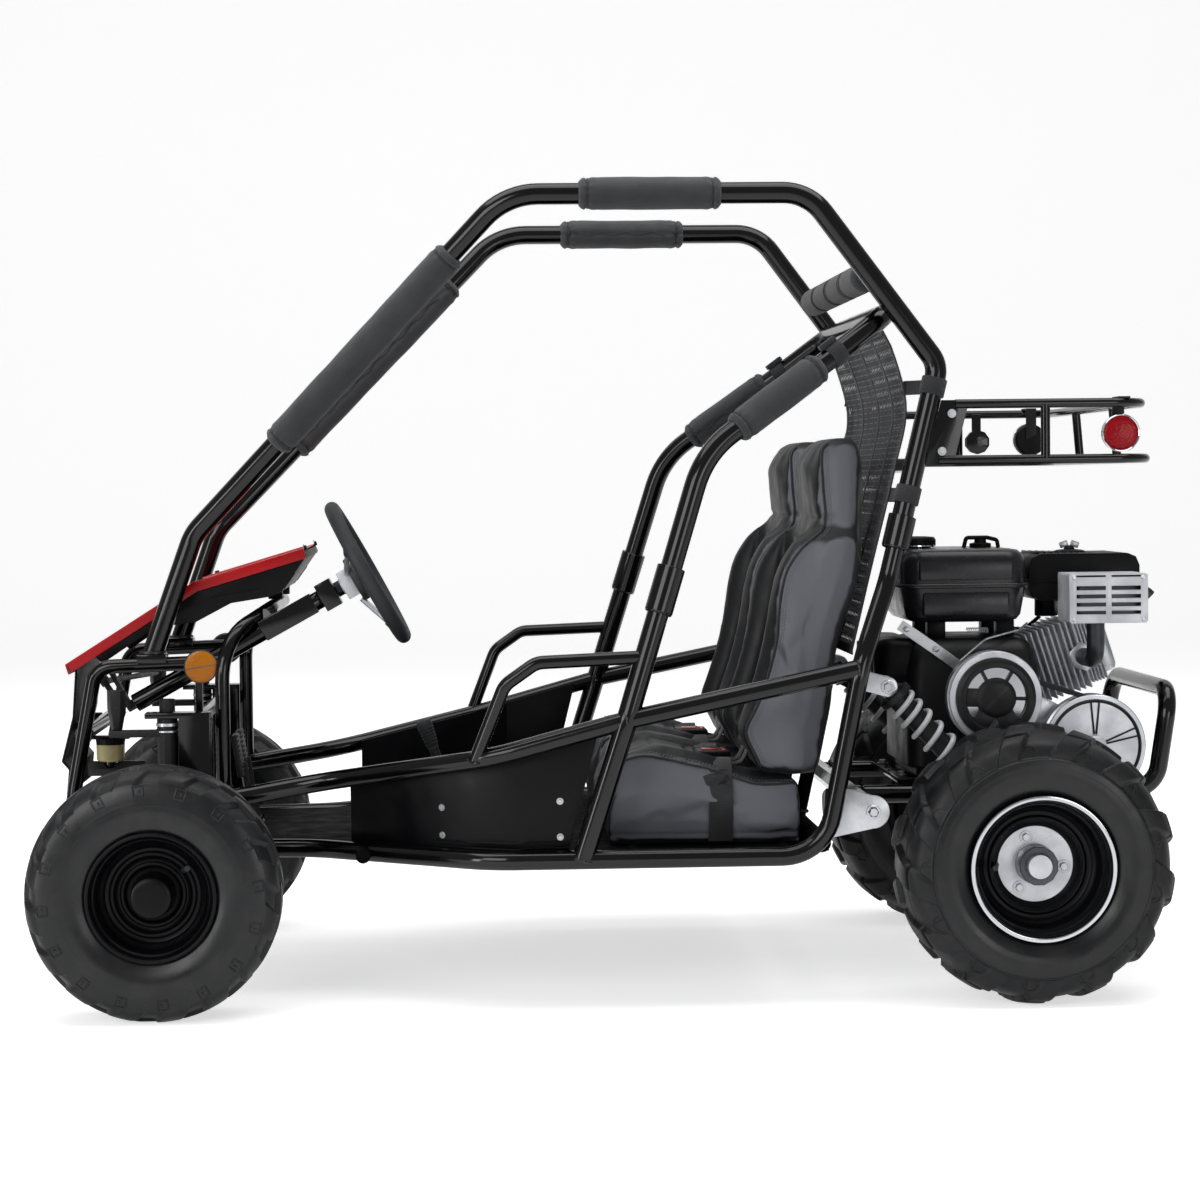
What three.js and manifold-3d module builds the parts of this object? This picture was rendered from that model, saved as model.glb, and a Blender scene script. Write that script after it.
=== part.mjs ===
// Two-seat off road go kart with a roll cage, a swinging rear frame on two spring shocks, and a side belt
// drive.
// Lengths are millimetres. X runs to the rear from the front axle, Y to the driver's right, Z up from the
// ground.
import * as THREE from 'three';
import { mergeVertices } from 'three/addons/utils/BufferGeometryUtils.js';
import Module from 'manifold-3d';

const wasm = await Module();
wasm.setup();

// Driving sizes
const wheelbase = 1290;
const frameHalfWidth = 475; // hip rail beside the seats, from the middle
const cageHeight = 1198; // centre line of the roof tubes
const trackHalf = 520; // outer face of the tyres, from the middle
const fit = 0.3; // gap between pieces that touch
const overrun = 3; // how far a joined piece runs into its neighbour, or a cut runs past it
const cageTube = 16; // tube radii
const frameTube = 14;
const hoopTube = 11;
const doorTube = 10;
const rackTube = 7;
const tubeSides = 6;
const turnedSides = 10;
const fineSides = 12;
const tyreFlat = 2; // how far the loaded tread is pressed flat on the ground

const frontWheel = { radius: 185.7, width: 145, rimRadius: 86, lugs: 8, lugHeight: 8, webOffset: 12 };
const rearWheel = { radius: 205, width: 203, rimRadius: 99, lugs: 8, lugHeight: 10, webOffset: 18 };
const frontAxleZ = frontWheel.radius - tyreFlat;
const rearAxleZ = rearWheel.radius - tyreFlat;

// A place given in shares of the wheelbase, the frame's half width and the cage height
const at = ([x, y, z], side = 1) =>
  new THREE.Vector3(x * wheelbase, side * y * frameHalfWidth, z * cageHeight);
const v = (x, y, z) => new THREE.Vector3(x, y, z);
const lerp = THREE.MathUtils.lerp;

// A line of straight runs with a round bend at each inner point
class BentLine extends THREE.Curve {
  constructor(corners, bendRadius, bendSteps) {
    super();
    this.spots = [];
    this.headings = [];
    const last = corners.length - 1;
    const radii = corners.map((_, i) => (Array.isArray(bendRadius) ? bendRadius[i - 1] : bendRadius));
    corners.forEach((corner, i) => {
      if (i === 0 || i === last) {
        const way = i === 0 ? corners[1].clone().sub(corner) : corner.clone().sub(corners[last - 1]);
        this.spots.push(corner.clone());
        this.headings.push(way.normalize());
        return;
      }
      const into = corner.clone().sub(corners[i - 1]).normalize();
      const out = corners[i + 1].clone().sub(corner).normalize();
      const turn = into.angleTo(out);
      const reach = radii[i] * Math.tan(turn / 2);
      const inward = out.clone().sub(into).normalize();
      const centre = corner.clone().addScaledVector(inward, radii[i] / Math.cos(turn / 2));
      const axis = into.clone().cross(out).normalize();
      const start = corner.clone().addScaledVector(into, -reach);
      for (let k = 0; k <= bendSteps; k++) {
        const angle = (turn * k) / bendSteps;
        this.spots.push(start.clone().sub(centre).applyAxisAngle(axis, angle).add(centre));
        this.headings.push(into.clone().applyAxisAngle(axis, angle));
      }
    });
    this.steps = this.spots.length - 1;
  }
  getPoint(u) {
    return this.spots[Math.round(u * this.steps)].clone();
  }
  getPointAt(u) {
    return this.getPoint(u);
  }
  getTangentAt(u) {
    return this.headings[Math.round(u * this.steps)].clone();
  }
}

// A solid from a closed geometry, turned right side out
function solid(geometry) {
  const bare = geometry.index ? geometry.toNonIndexed() : geometry.clone();
  for (const name of Object.keys(bare.attributes)) if (name !== 'position') bare.deleteAttribute(name);
  const merged = mergeVertices(bare, fit / 100);
  const index = Array.from(merged.index.array);
  const p = merged.attributes.position.array;
  const faces = [];
  let volume = 0;
  for (let i = 0; i < index.length; i += 3) {
    const [a, b, c] = index.slice(i, i + 3);
    if (a === b || b === c || c === a) continue;
    faces.push([a, b, c]);
    volume += p[a * 3] * (p[b * 3 + 1] * p[c * 3 + 2] - p[b * 3 + 2] * p[c * 3 + 1]);
    volume += p[a * 3 + 1] * (p[b * 3 + 2] * p[c * 3] - p[b * 3] * p[c * 3 + 2]);
    volume += p[a * 3 + 2] * (p[b * 3] * p[c * 3 + 1] - p[b * 3 + 1] * p[c * 3]);
  }
  const triVerts = new Uint32Array(faces.flatMap(([a, b, c]) => (volume > 0 ? [a, b, c] : [a, c, b])));
  return new wasm.Manifold(new wasm.Mesh({ numProp: 3, vertProperties: new Float32Array(p), triVerts }));
}
const join = (...pieces) => pieces.flat().reduce((whole, piece) => whole.add(piece));
const cut = (whole, ...pieces) => pieces.flat().reduce((rest, piece) => rest.subtract(piece), whole);

const roundShape = (radius, sides) =>
  new THREE.Shape(
    Array.from({ length: sides }, (_, i) => {
      const angle = ((i + 0.5) * 2 * Math.PI) / sides;
      return new THREE.Vector2(radius * Math.cos(angle), radius * Math.sin(angle));
    })
  );

// A round tube or bar along corners, bent at each inner one
function tube(corners, radius, bendRadius = 0, sides = tubeSides, bendSteps = 3) {
  const line = new BentLine(corners, bendRadius, bendSteps);
  return solid(
    new THREE.ExtrudeGeometry(roundShape(radius, sides),
      { steps: line.steps, extrudePath: line, bevelEnabled: false })
  );
}

// A flat plate: its outline is in X and Z, and it fills from one Y to another
function plate(outline, fromY, toY, holes = []) {
  const shape = outline instanceof THREE.Shape ? outline : new THREE.Shape(outline.map(([x,
    z]) => new THREE.Vector2(x, z)));
  for (const { x, z, radius, sides = tubeSides } of holes) {
    const hole = roundShape(radius, sides).getPoints().map((p) => p.clone().add(new THREE.Vector2(x, z)));
    shape.holes.push(new THREE.Path(hole));
  }
  const depth = Math.abs(toY - fromY);
  const body = new THREE.ExtrudeGeometry(shape, { depth, bevelEnabled: false, curveSegments: 4 });
  return solid(body.rotateX(Math.PI / 2).translate(0, Math.max(fromY, toY), 0));
}

// A box between two corners
function block([x0, y0, z0], [x1, y1, z1]) {
  const box = new THREE.BoxGeometry(Math.abs(x1 - x0), Math.abs(y1 - y0), Math.abs(z1 - z0));
  return solid(box.translate((x0 + x1) / 2, (y0 + y1) / 2, (z0 + z1) / 2));
}

// A revolve about Y: the profile holds [radius, place along Y]
const revolve = (profile, segments) =>
  solid(new THREE.LatheGeometry(profile.map(([r, y]) => new THREE.Vector2(r, y)), segments));
const disc = (radius, fromY, toY, segments = turnedSides) =>
  revolve([[0, fromY], [radius, fromY], [radius, toY], [0, toY]], segments);

// A closed body through rings of points, all with the same count, with end faces unless the rings close on
// themselves
function loft(rings, closed = false) {
  const count = rings[0].length;
  const corners = [];
  const face = (a, b, c) => corners.push(...a.toArray(), ...b.toArray(), ...c.toArray());
  for (let i = 0; i < rings.length - (closed ? 0 : 1); i++) {
    const ahead = rings[(i + 1) % rings.length];
    for (let k = 0; k < count; k++) {
      const [a, b] = [rings[i][k], rings[i][(k + 1) % count]];
      const [c, d] = [ahead[(k + 1) % count], ahead[k]];
      face(a, b, c);
      face(a, c, d);
    }
  }
  const ends = closed ? [] : [[rings[0], true], [rings[rings.length - 1], false]];
  for (const [ring, front] of ends) {
    const middle = ring.reduce((sum, p) => sum.add(p), v(0, 0, 0)).divideScalar(count);
    for (let k = 0; k < count; k++) {
      const [a, b] = [ring[k], ring[(k + 1) % count]];
      if (front) face(b, a, middle);
      else face(a, b, middle);
    }
  }
  const geometry = new THREE.BufferGeometry();
  geometry.setAttribute('position', new THREE.Float32BufferAttribute(corners, 3));
  return solid(geometry);
}

// A turned body on a straight axis: the profile holds [distance along the axis, radius]
function turned(start, way, profile, sides = turnedSides) {
  const across = way.clone().cross(Math.abs(way.z) < Math.abs(way.x) + Math.abs(way.y) ? v(0, 0, 1) : v(1,
    0, 0)).normalize();
  const up = way.clone().cross(across);
  const ring = ([distance, radius]) =>
    Array.from({ length: sides }, (_, i) => {
      const angle = ((i + 0.5) * 2 * Math.PI) / sides;
      const spot = start.clone().addScaledVector(way, distance);
      return spot.addScaledVector(across, radius * Math.cos(angle)).addScaledVector(up,
        radius * Math.sin(angle));
    });
  return loft(profile.map(ring));
}

// A line in X and Z moved to the right of its own direction
function offsetLine(line, gap) {
  return line.map(([x, z], i) => {
    const runs = [[i - 1, i], [i, i + 1]].filter(([a, b]) => a >= 0 && b < line.length);
    const ways = runs.map(([a, b]) => new THREE.Vector2(line[b][0] - line[a][0],
      line[b][1] - line[a][1]).normalize());
    const mean = ways.reduce((sum, way) => sum.add(way), new THREE.Vector2()).normalize();
    const stretch = gap / mean.dot(ways[0]);
    return [x + mean.y * stretch, z - mean.x * stretch];
  });
}

// A bent sheet between two offsets of a line in X and Z, filling from one Y to another
const sheet = (line, near, far, fromY, toY) =>
  plate([...offsetLine(line, near), ...offsetLine(line, far).reverse()], fromY, toY);

// A flat band along points, with its width along one direction
function band(points, widthWay, halfWidth, thickness) {
  const rings = points.map((point, i) => {
    const way = points[Math.min(i + 1, points.length - 1)].clone().sub(points[Math.max(i - 1,
      0)]).normalize();
    const out = way.clone().cross(widthWay).normalize().multiplyScalar(thickness);
    const [left, right] = [-halfWidth, halfWidth].map((d) => point.clone().addScaledVector(widthWay, d));
    return [left, right, right.clone().add(out), left.clone().add(out)];
  });
  return loft(rings);
}

// The outline of a loop pulled tight round two circles in X and Z
function loopShape(a, b, arcSteps = 8) {
  const reach = Math.hypot(b.x - a.x, b.z - a.z);
  const base = Math.atan2(b.z - a.z, b.x - a.x);
  const spread = Math.acos((a.radius - b.radius) / reach);
  const arc = (circle, from, to) =>
    Array.from({ length: arcSteps + 1 }, (_, i) => {
      const angle = lerp(from, to, i / arcSteps);
      return [circle.x + circle.radius * Math.cos(angle), circle.z + circle.radius * Math.sin(angle)];
    });
  return [...arc(a, base + spread, base + 2 * Math.PI - spread), ...arc(b, base - spread, base + spread)];
}

// Finishes
const finishes = {
  glossBlack: { color: 0x101114, roughness: 0.25, metalness: 0.3 },
  satinBlack: { color: 0x1c1d20, roughness: 0.5, metalness: 0.2 },
  blackSheet: { color: 0x141519, roughness: 0.35, metalness: 0.2 },
  redPlastic: { color: 0xb3101c, roughness: 0.3, metalness: 0 },
  redLens: { color: 0xb0061c, roughness: 0.15, metalness: 0 },
  foamCover: { color: 0x2c2e33, roughness: 0.9, metalness: 0 },
  seatVinyl: { color: 0x303238, roughness: 0.7, metalness: 0 },
  webbing: { color: 0x15161a, roughness: 0.85, metalness: 0 },
  rubber: { color: 0x1d1e22, roughness: 0.85, metalness: 0 },
  zinc: { color: 0xc4c6ca, roughness: 0.3, metalness: 0.9 },
  castAlloy: { color: 0xa9abb0, roughness: 0.45, metalness: 0.8 },
  whiteSpring: { color: 0xe2e3e6, roughness: 0.35, metalness: 0.1 },
  reservoir: { color: 0xcdbb6a, roughness: 0.35, metalness: 0 },
};

const kart = new THREE.Group();

// Puts a named mesh in a group
function node(group, name, body, finish) {
  const { vertProperties, triVerts, numProp } = body.getMesh();
  const position = [];
  for (const t of triVerts) position.push(...vertProperties.slice(t * numProp, t * numProp + 3));
  const geometry = new THREE.BufferGeometry();
  geometry.setAttribute('position', new THREE.Float32BufferAttribute(position, 3));
  const mesh = new THREE.Mesh(mergeVertices(geometry, fit / 100),
    new THREE.MeshStandardMaterial(finishes[finish]));
  mesh.geometry.computeVertexNormals();
  mesh.name = name;
  group.add(mesh);
  return mesh;
}
const sides = [['left', -1], ['right', 1]];

// Centre lines of the frame, in shares of the wheelbase, half width and cage height
const railShares = [
  [0.0484, 0.505, 0.1853], [0.174, 0.548, 0.1853], [0.379, 0.97, 0.1853],
  [0.757, 0.973, 0.1853], [0.802, 0.973, 0.426], [0.8366, 0.8579, 0.5175], [0.8515, 0.8425, 0.5793],
];
const hipShares = [
  [0.0598, 0.64, 0.25], [0.186, 0.605, 0.272], [0.379, 0.973, 0.311], [0.535, 1, 0.356],
    [0.797, 0.973, 0.413],
];
const postShares = [[0.482, 0.973, 0.1853], [0.533, 1, 0.354], [0.5765, 0.96, 0.505]];
const doorShares = [[0.362, 0.955, 0.307], [0.396, 0.998, 0.4], [0.432, 1, 0.427], [0.559, 0.985, 0.432]];
const cageShares = [
  [-0.0185, 0.505, 0.42], [0.0357, 0.49, 0.584], [0.4055, 0.775, 1], [0.7527, 0.781, 0.9995],
  [0.901, 0.792, 0.785], [0.85165, 0.84242, 0.57995],
];
const hoopShares = [[0.5768, 0.9597, 0.5058], [0.6263, 0.9141, 0.678], [0.775, 0.787, 0.793],
  [0.845, 0.7155, 0.85]];
const noseShares = [
  [0.0465, 0.505, 0.1853], [-0.118, 0.505, 0.1853], [-0.107, 0.505, 0.267], [-0.081, 0.505, 0.4175],
  [0.072, 0.505, 0.4225],
];
const bends = { rail: [120, 120, 75, 160, 100], hip: [150, 150, 300], cage: [70, 110, 75, 40],
  hoop: [150, 300, 45], post: 200, door: 35, nose: [20, 60, 30], dash: [90, 40] };
const sleeve = { wall: 3.5, length: 44, inside: 24 };

// The place on a share table's straight runs, from one corner on, where a coordinate has a value
function along(shares, axis, value, side = 1, first = 0) {
  const places = shares.map((s) => at(s, side));
  const next = places.findIndex((p,
    i) => i > first && (p[axis] - value) * (places[i - 1][axis] - value) <= 0);
  const [a, b] = [places[next - 1], places[next]];
  return a.clone().lerp(b, (value - a[axis]) / (b[axis] - a[axis]));
}

const heading = (from, to) => to.clone().sub(from).normalize();
const bored = (radius, count = tubeSides) => radius / Math.cos(Math.PI / count);
const flat = (radius) => radius * Math.cos(Math.PI / tubeSides);

// The two bent tubes that stand in the frame's sleeves, at a radius
const cageRail = (side, radius) => tube(cageShares.map((s) => at(s, side)), radius, bends.cage, tubeSides,
  1);
function hoopTubeLine(radius) {
  const line = [...hoopShares.map((s) => at(s, -1)), ...hoopShares.map((s) => at(s, 1)).reverse()];
  return tube(line, radius, [...bends.hoop, ...bends.hoop.slice().reverse()], tubeSides, 1);
}

// A round sleeve about the end of a tube, cut out for the tube that stands in it
function sleeveAt(centre, way, reach, back, guest) {
  const from = centre.clone().addScaledVector(way, -back);
  const to = centre.clone().addScaledVector(way, reach);
  const bottom = tube([centre, centre.clone().addScaledVector(way, overrun)], bored(cageTube + fit));
  return cut(tube([from, to], bored(cageTube + fit + sleeve.wall)), guest, bottom);
}

const pivot = { xShare: 0.814, zShare: 0.237, tube: 16, pin: 8, pinReach: 34 };
const pivotX = pivot.xShare * wheelbase;
const pivotZ = pivot.zShare * cageHeight;
const pivotPlate = { thickness: 6, rise: 38, nose: 24, pinHead: 7 };
const pivotPlateOuter = along(railShares, 'z', pivotZ).y - frameTube + overrun;
const pivotPlateInner = pivotPlateOuter - pivotPlate.thickness;

// One side of the welded main frame: floor rail and rear upright, hip rail, seat post, door bar and pivot
// plate
function sideFrame(side) {
  const rail = railShares.map((s) => at(s, side));
  const hip = hipShares.map((s) => at(s, side));
  const post = postShares.map((s) => at(s, side));
  const door = doorShares.map((s) => at(s, side));
  const parts = [
    tube(rail, frameTube, bends.rail, tubeSides, 1),
    tube(hip, frameTube, bends.hip, tubeSides, 1),
    tube(post, cageTube, bends.post, tubeSides, 1),
    tube(door, doorTube, bends.door, tubeSides, 1),
  ];
  const railTop = rail[rail.length - 1];
  parts.push(sleeveAt(railTop, heading(rail[rail.length - 2], railTop), sleeve.inside, sleeve.inside,
    cageRail(side, cageTube + fit)));
  const postTop = post[post.length - 1];
  parts.push(sleeveAt(postTop, heading(post[post.length - 2], postTop), sleeve.length, sleeve.inside,
    hoopTubeLine(cageTube + fit)));
  const upright = along(railShares, 'z', pivotZ, side);
  const inner = side * pivotPlateInner;
  const outer = side * pivotPlateOuter;
  const nose = new THREE.Shape();
  nose.moveTo(upright.x - frameTube / 2, pivotZ - pivotPlate.rise);
  nose.lineTo(pivotX, pivotZ - pivotPlate.nose);
  nose.absarc(pivotX, pivotZ, pivotPlate.nose, -Math.PI / 2, Math.PI / 2, false);
  nose.lineTo(upright.x + frameTube / 2, pivotZ + pivotPlate.rise);
  const pin = [v(pivotX, inner - side * pivot.pinReach, pivotZ),
    v(pivotX, outer + side * pivotPlate.pinHead, pivotZ)];
  parts.push(plate(nose, inner, outer), tube(pin, pivot.pin));
  return join(parts);
}
for (const [name, side] of sides) node(kart, `side_frame_${name}`, sideFrame(side), 'glossBlack');

// Kingpin towers stand behind the kingpins: each knuckle turns between a tower's two shelves
const kingpin = { x: 10, y: 320, tube: 15.5, pin: 8, play: 0.5, cap: 12, capHeight: 20, nutHeight: 12 };
const tower = { front: 28, rear: 74, halfDepth: 20, bottom: 146, top: 436, shelf: 8, shelfFront: -22 };
const crossBar = { lowX: 48, topZ: 416, frontX: -124, frontZ: 398 };
const dash = { footX: 88, footY: 262, footZ: 318, shoulderZ: 540, crossX: 158, crossZ: 584, innerY: 170 };
const column = {
  footX: -62, footZ: 435, y: -200, angle: 28.7, tube: 14, shaft: 8, play: 0.5, housingFrom: 14,
    wheelAt: 422,
  blockFrom: 238, blockTo: 328, blockHalf: 16, boxFrom: 340, boxTo: 366, boxHalf: 22, hanger: 5,
};
const reflector = { x: 56, z: 500, radius: 26, depth: 10 };
const cageFoot = { lift: 2, half: 22 };
const noseY = noseShares[0][1] * frameHalfWidth;
const noseTopZ = noseShares[4][2] * cageHeight;
const railZ = railShares[0][2] * cageHeight;
const cageFootZ = noseTopZ + hoopTube + cageFoot.lift;

// A place along the steering column, and up and across from it
const columnWay = v(1, 0, 0).applyAxisAngle(v(0, -1, 0), THREE.MathUtils.degToRad(column.angle));
const columnUp = v(-columnWay.z, 0, columnWay.x);
const onColumn = (reach, up = 0, across = 0) =>
  v(column.footX, column.y + across, column.footZ).addScaledVector(columnWay,
    reach).addScaledVector(columnUp, up);
const columnReach = (x) => (x - column.footX) / columnWay.x;
const columnBox = (from, to, half) =>
  loft([from, to].map((s) => [[-1, -1], [1, -1], [1, 1],
    [-1, 1]].map(([a, b]) => onColumn(s, a * half, b * half))));

// Welded front frame: nose hoops, kingpin towers, cross bars, dash hoop and steering column tube
function frontFrame() {
  const parts = [];
  for (const [, side] of sides) {
    const y = side * kingpin.y;
    parts.push(tube(noseShares.map((s) => at(s, side)), hoopTube, bends.nose, tubeSides, 1));
    const near = y - tower.halfDepth;
    const far = y + tower.halfDepth;
    parts.push(block([tower.front, near, tower.bottom], [tower.rear, far, tower.top]));
    for (const top of [tower.top, tower.bottom + tower.shelf]) {
      const shelf = block([tower.shelfFront, near, top - tower.shelf], [tower.rear, far, top]);
      const hole = [v(kingpin.x, y, top - tower.shelf - overrun), v(kingpin.x, y, top + overrun)];
      parts.push(cut(shelf, tube(hole, bored(kingpin.pin + kingpin.play))));
    }
    const lens = [v(reflector.x, side * noseY, reflector.z)];
    lens.push(lens[0].clone().add(v(0, side * (hoopTube + reflector.depth), 0)));
    parts.push(tube(lens, reflector.radius, 0, turnedSides));
    const footX = along(cageShares, 'z', cageFootZ).x;
    const inY = side * noseY - cageFoot.half;
    parts.push(block([footX - cageFoot.half, inY, noseTopZ],
      [footX + cageFoot.half, inY + 2 * cageFoot.half, cageFootZ]));
  }
  const bar = (x, z, reach) => tube([v(x, -reach, z), v(x, reach, z)], hoopTube);
  parts.push(bar(crossBar.lowX, railZ, kingpin.y), bar(crossBar.lowX, crossBar.topZ, kingpin.y));
  parts.push(bar(crossBar.frontX, crossBar.frontZ, noseY));
  const halfDash = (side) => [
    v(dash.footX, side * dash.footY, dash.footZ), v(dash.footX, side * dash.footY, dash.shoulderZ),
    v(dash.crossX, side * dash.innerY, dash.crossZ),
  ];
  const [footBend, crossBend] = bends.dash;
  const dashLine = [...halfDash(-1), ...halfDash(1).reverse()];
  parts.push(tube(dashLine, hoopTube, [footBend, crossBend, crossBend, footBend], tubeSides, 1));
  const housing = tube([onColumn(column.housingFrom), onColumn(column.boxTo)], column.tube);
  const post = block([crossBar.lowX - hoopTube / 2, column.y - column.hanger, crossBar.topZ],
    [crossBar.lowX + hoopTube / 2, column.y + column.hanger, onColumn(columnReach(crossBar.lowX)).z]);
  const hanger = block([dash.crossX - hoopTube, column.y - column.hanger,
    onColumn(columnReach(dash.crossX)).z],
    [dash.crossX + hoopTube, column.y + column.hanger, dash.crossZ]);
  const bearing = columnBox(column.blockFrom, column.blockTo, column.blockHalf);
  const box = columnBox(column.boxFrom, column.boxTo, column.boxHalf);
  const bore = tube([onColumn(0), onColumn(column.wheelAt)], bored(column.shaft + column.play));
  parts.push(cut(join(housing, post, hanger, bearing, box), bore));
  return join(parts);
}
node(kart, 'front_frame', frontFrame(), 'glossBlack');

// Welded floor: sheet, cross tubes, and the rear bulkhead with the shock brackets
const floor = { tube: 11, drop: 3, sheet: 2.5, front: 68, rear: 985, crossX: [300, 700, 925],
  bendFrom: 452, bendTo: 530, ease: 1, topEase: 4 };
const [, railFrom, railTo] = railShares;
const railTurn = Math.atan(((railTo[1] - railFrom[1]) * frameHalfWidth) / ((railTo[0] - railFrom[0])
  * wheelbase));
const bulkhead = { lowX: 975, lowZ: 238, topX: 1027, topZ: 475, strutY: 130 };
const shock = { topX: 1094, topZ: 457, lowX: 1264, lowZ: 274, y: 285, bolt: 6, eye: 13, eyeHalf: 13 };
const shockEar = { thickness: 4, nose: 15, headDepth: 6 };
const floorTop = railZ - floor.drop + floor.tube * Math.cos(Math.PI / tubeSides);
function floorFrame() {
  const edge = (x) => along(railShares, 'x',
    x).y - (frameTube + fit) / Math.cos(x > floor.bendTo ? 0 : railTurn) - floor.ease;
  const corner = [floor.front, railShares[1][0] * wheelbase, floor.bendFrom, floor.bendTo + floor.ease,
    floor.rear];
  const ring = (z) => [...corner.map((x) => v(x, -edge(x), z)),
    ...corner.map((x) => v(x, edge(x), z)).reverse()];
  const parts = [loft([ring(floorTop - floor.sheet / 2), ring(floorTop + floor.sheet / 2)])];
  const cross = (x, z, reach, radius) => parts.push(tube([v(x, -reach, z), v(x, reach, z)], radius));
  for (const x of floor.crossX) cross(x, railZ - floor.drop, edge(x - floor.tube), floor.tube);
  cross(bulkhead.lowX, bulkhead.lowZ, pivotPlateInner - fit, frameTube);
  const topReach = along(railShares, 'z', bulkhead.topZ).y - frameTube - floor.topEase;
  cross(bulkhead.topX, bulkhead.topZ, topReach, frameTube);
  for (const [, side] of sides) {
    const strut = [v(bulkhead.lowX, side * bulkhead.strutY, bulkhead.lowZ),
      v(bulkhead.topX, side * bulkhead.strutY, bulkhead.topZ)];
    parts.push(tube(strut, floor.tube));
    for (const ear of [-1, 1]) {
      const inner = side * shock.y + ear * (shock.eyeHalf + fit);
      const outer = inner + ear * shockEar.thickness;
      const shape = new THREE.Shape();
      shape.moveTo(bulkhead.topX, bulkhead.topZ - frameTube);
      shape.lineTo(shock.topX, shock.topZ - shockEar.nose);
      shape.absarc(shock.topX, shock.topZ, shockEar.nose, -Math.PI / 2, Math.PI / 2, false);
      shape.lineTo(bulkhead.topX, bulkhead.topZ + frameTube);
      parts.push(plate(shape, inner, outer));
    }
    const reach = shock.eyeHalf + shockEar.thickness + shockEar.headDepth;
    const bolt = [v(shock.topX, side * shock.y - reach, shock.topZ),
      v(shock.topX, side * shock.y + reach, shock.topZ)];
    parts.push(tube(bolt, shock.bolt));
  }
  for (const spot of [...pedals, handLever]) parts.push(...leverMount(spot));
  return join(parts);
}

// Roll cage: two bent tubes, the rear top bar and the low bar behind the net
const cageBar = { topX: 1062, lowZ: 792 };
function rollCage() {
  const parts = sides.map(([, side]) => cageRail(side, cageTube));
  const top = along(cageShares, 'x', cageBar.topX);
  const low = along(cageShares, 'z', cageBar.lowZ, 1, 4);
  parts.push(tube([top.clone().setY(-top.y), top], frameTube),
    tube([low.clone().setY(-low.y), low], hoopTube));
  const below = block([cageShares[0][0] * wheelbase - frameHalfWidth, -frameHalfWidth, 0],
    [cageShares[1][0] * wheelbase + cageTube, frameHalfWidth, cageFootZ + fit]);
  return cut(join(parts), below);
}
node(kart, 'roll_cage', rollCage(), 'glossBlack');

// Seat hoop: one tube from post to post, bent over behind the seats
node(kart, 'seat_hoop', hoopTubeLine(cageTube), 'glossBlack');

// Foam pads: a thick cover round a straight run of tube, between two shares of that run
const pad = { radius: 24, sides: 10 };
const padRuns = [
  ['pillar_pad', cageShares, 1, [0.27, 0.83]],
  ['roof_pad', cageShares, 2, [0.24, 0.71]],
  ['hoop_pad', hoopShares, 1, [0.25, 0.93]],
];
function padOn(start, end) {
  const length = start.distanceTo(end);
  const inner = bored(cageTube + fit, pad.sides);
  const mesh = revolve([[inner, 0], [pad.radius, 0], [pad.radius, length], [inner, length], [inner, 0]],
    pad.sides);
  return mesh;
}
for (const [name, shares, run, [from, to]] of padRuns) {
  for (const [sideName, side] of sides) {
    const [a, b] = [at(shares[run], side), at(shares[run + 1], side)];
    const [start, end] = [a.clone().lerp(b, from), a.clone().lerp(b, to)];
    const mesh = node(kart, `${name}_${sideName}`, padOn(start, end), 'foamCover');
    mesh.position.copy(start);
    mesh.quaternion.setFromUnitVectors(v(0, 1, 0), heading(start, end));
  }
}

// Side panel: a folded sheet inside the floor rail and the hip rail
const panel = { thickness: 2.5, topLift: 4, front: 280, foldFrom: 452, foldTo: 530, ease: 1.5,
  rearLow: 602, rearHigh: 650 };
function sidePanel(side) {
  const bottomZ = floorTop + floor.sheet / 2 + fit;
  const inset = frameTube + fit + panel.ease;
  const ring = ([lowX, highX], turn) => {
    const stretch = (inset + panel.thickness) / Math.cos(turn) - inset;
    const low = along(railShares, 'x', lowX).y - inset / Math.cos(turn);
    const hip = along(hipShares, 'x', highX);
    const high = hip.y - inset / Math.cos(turn);
    const topZ = hip.z + panel.topLift;
    return [v(lowX, side * low, bottomZ), v(highX, side * high, topZ),
      v(highX, side * (high - stretch), topZ), v(lowX, side * (low - stretch), bottomZ)];
  };
  const stations = [[panel.front, railTurn], [panel.foldFrom, railTurn], [panel.foldTo, 0]];
  return loft([...stations.map(([x, angle]) => ring([x, x], angle)),
    ring([panel.rearLow, panel.rearHigh], 0)]);
}
for (const [name, side] of sides) node(kart, `side_panel_${name}`, sidePanel(side), 'blackSheet');

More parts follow.
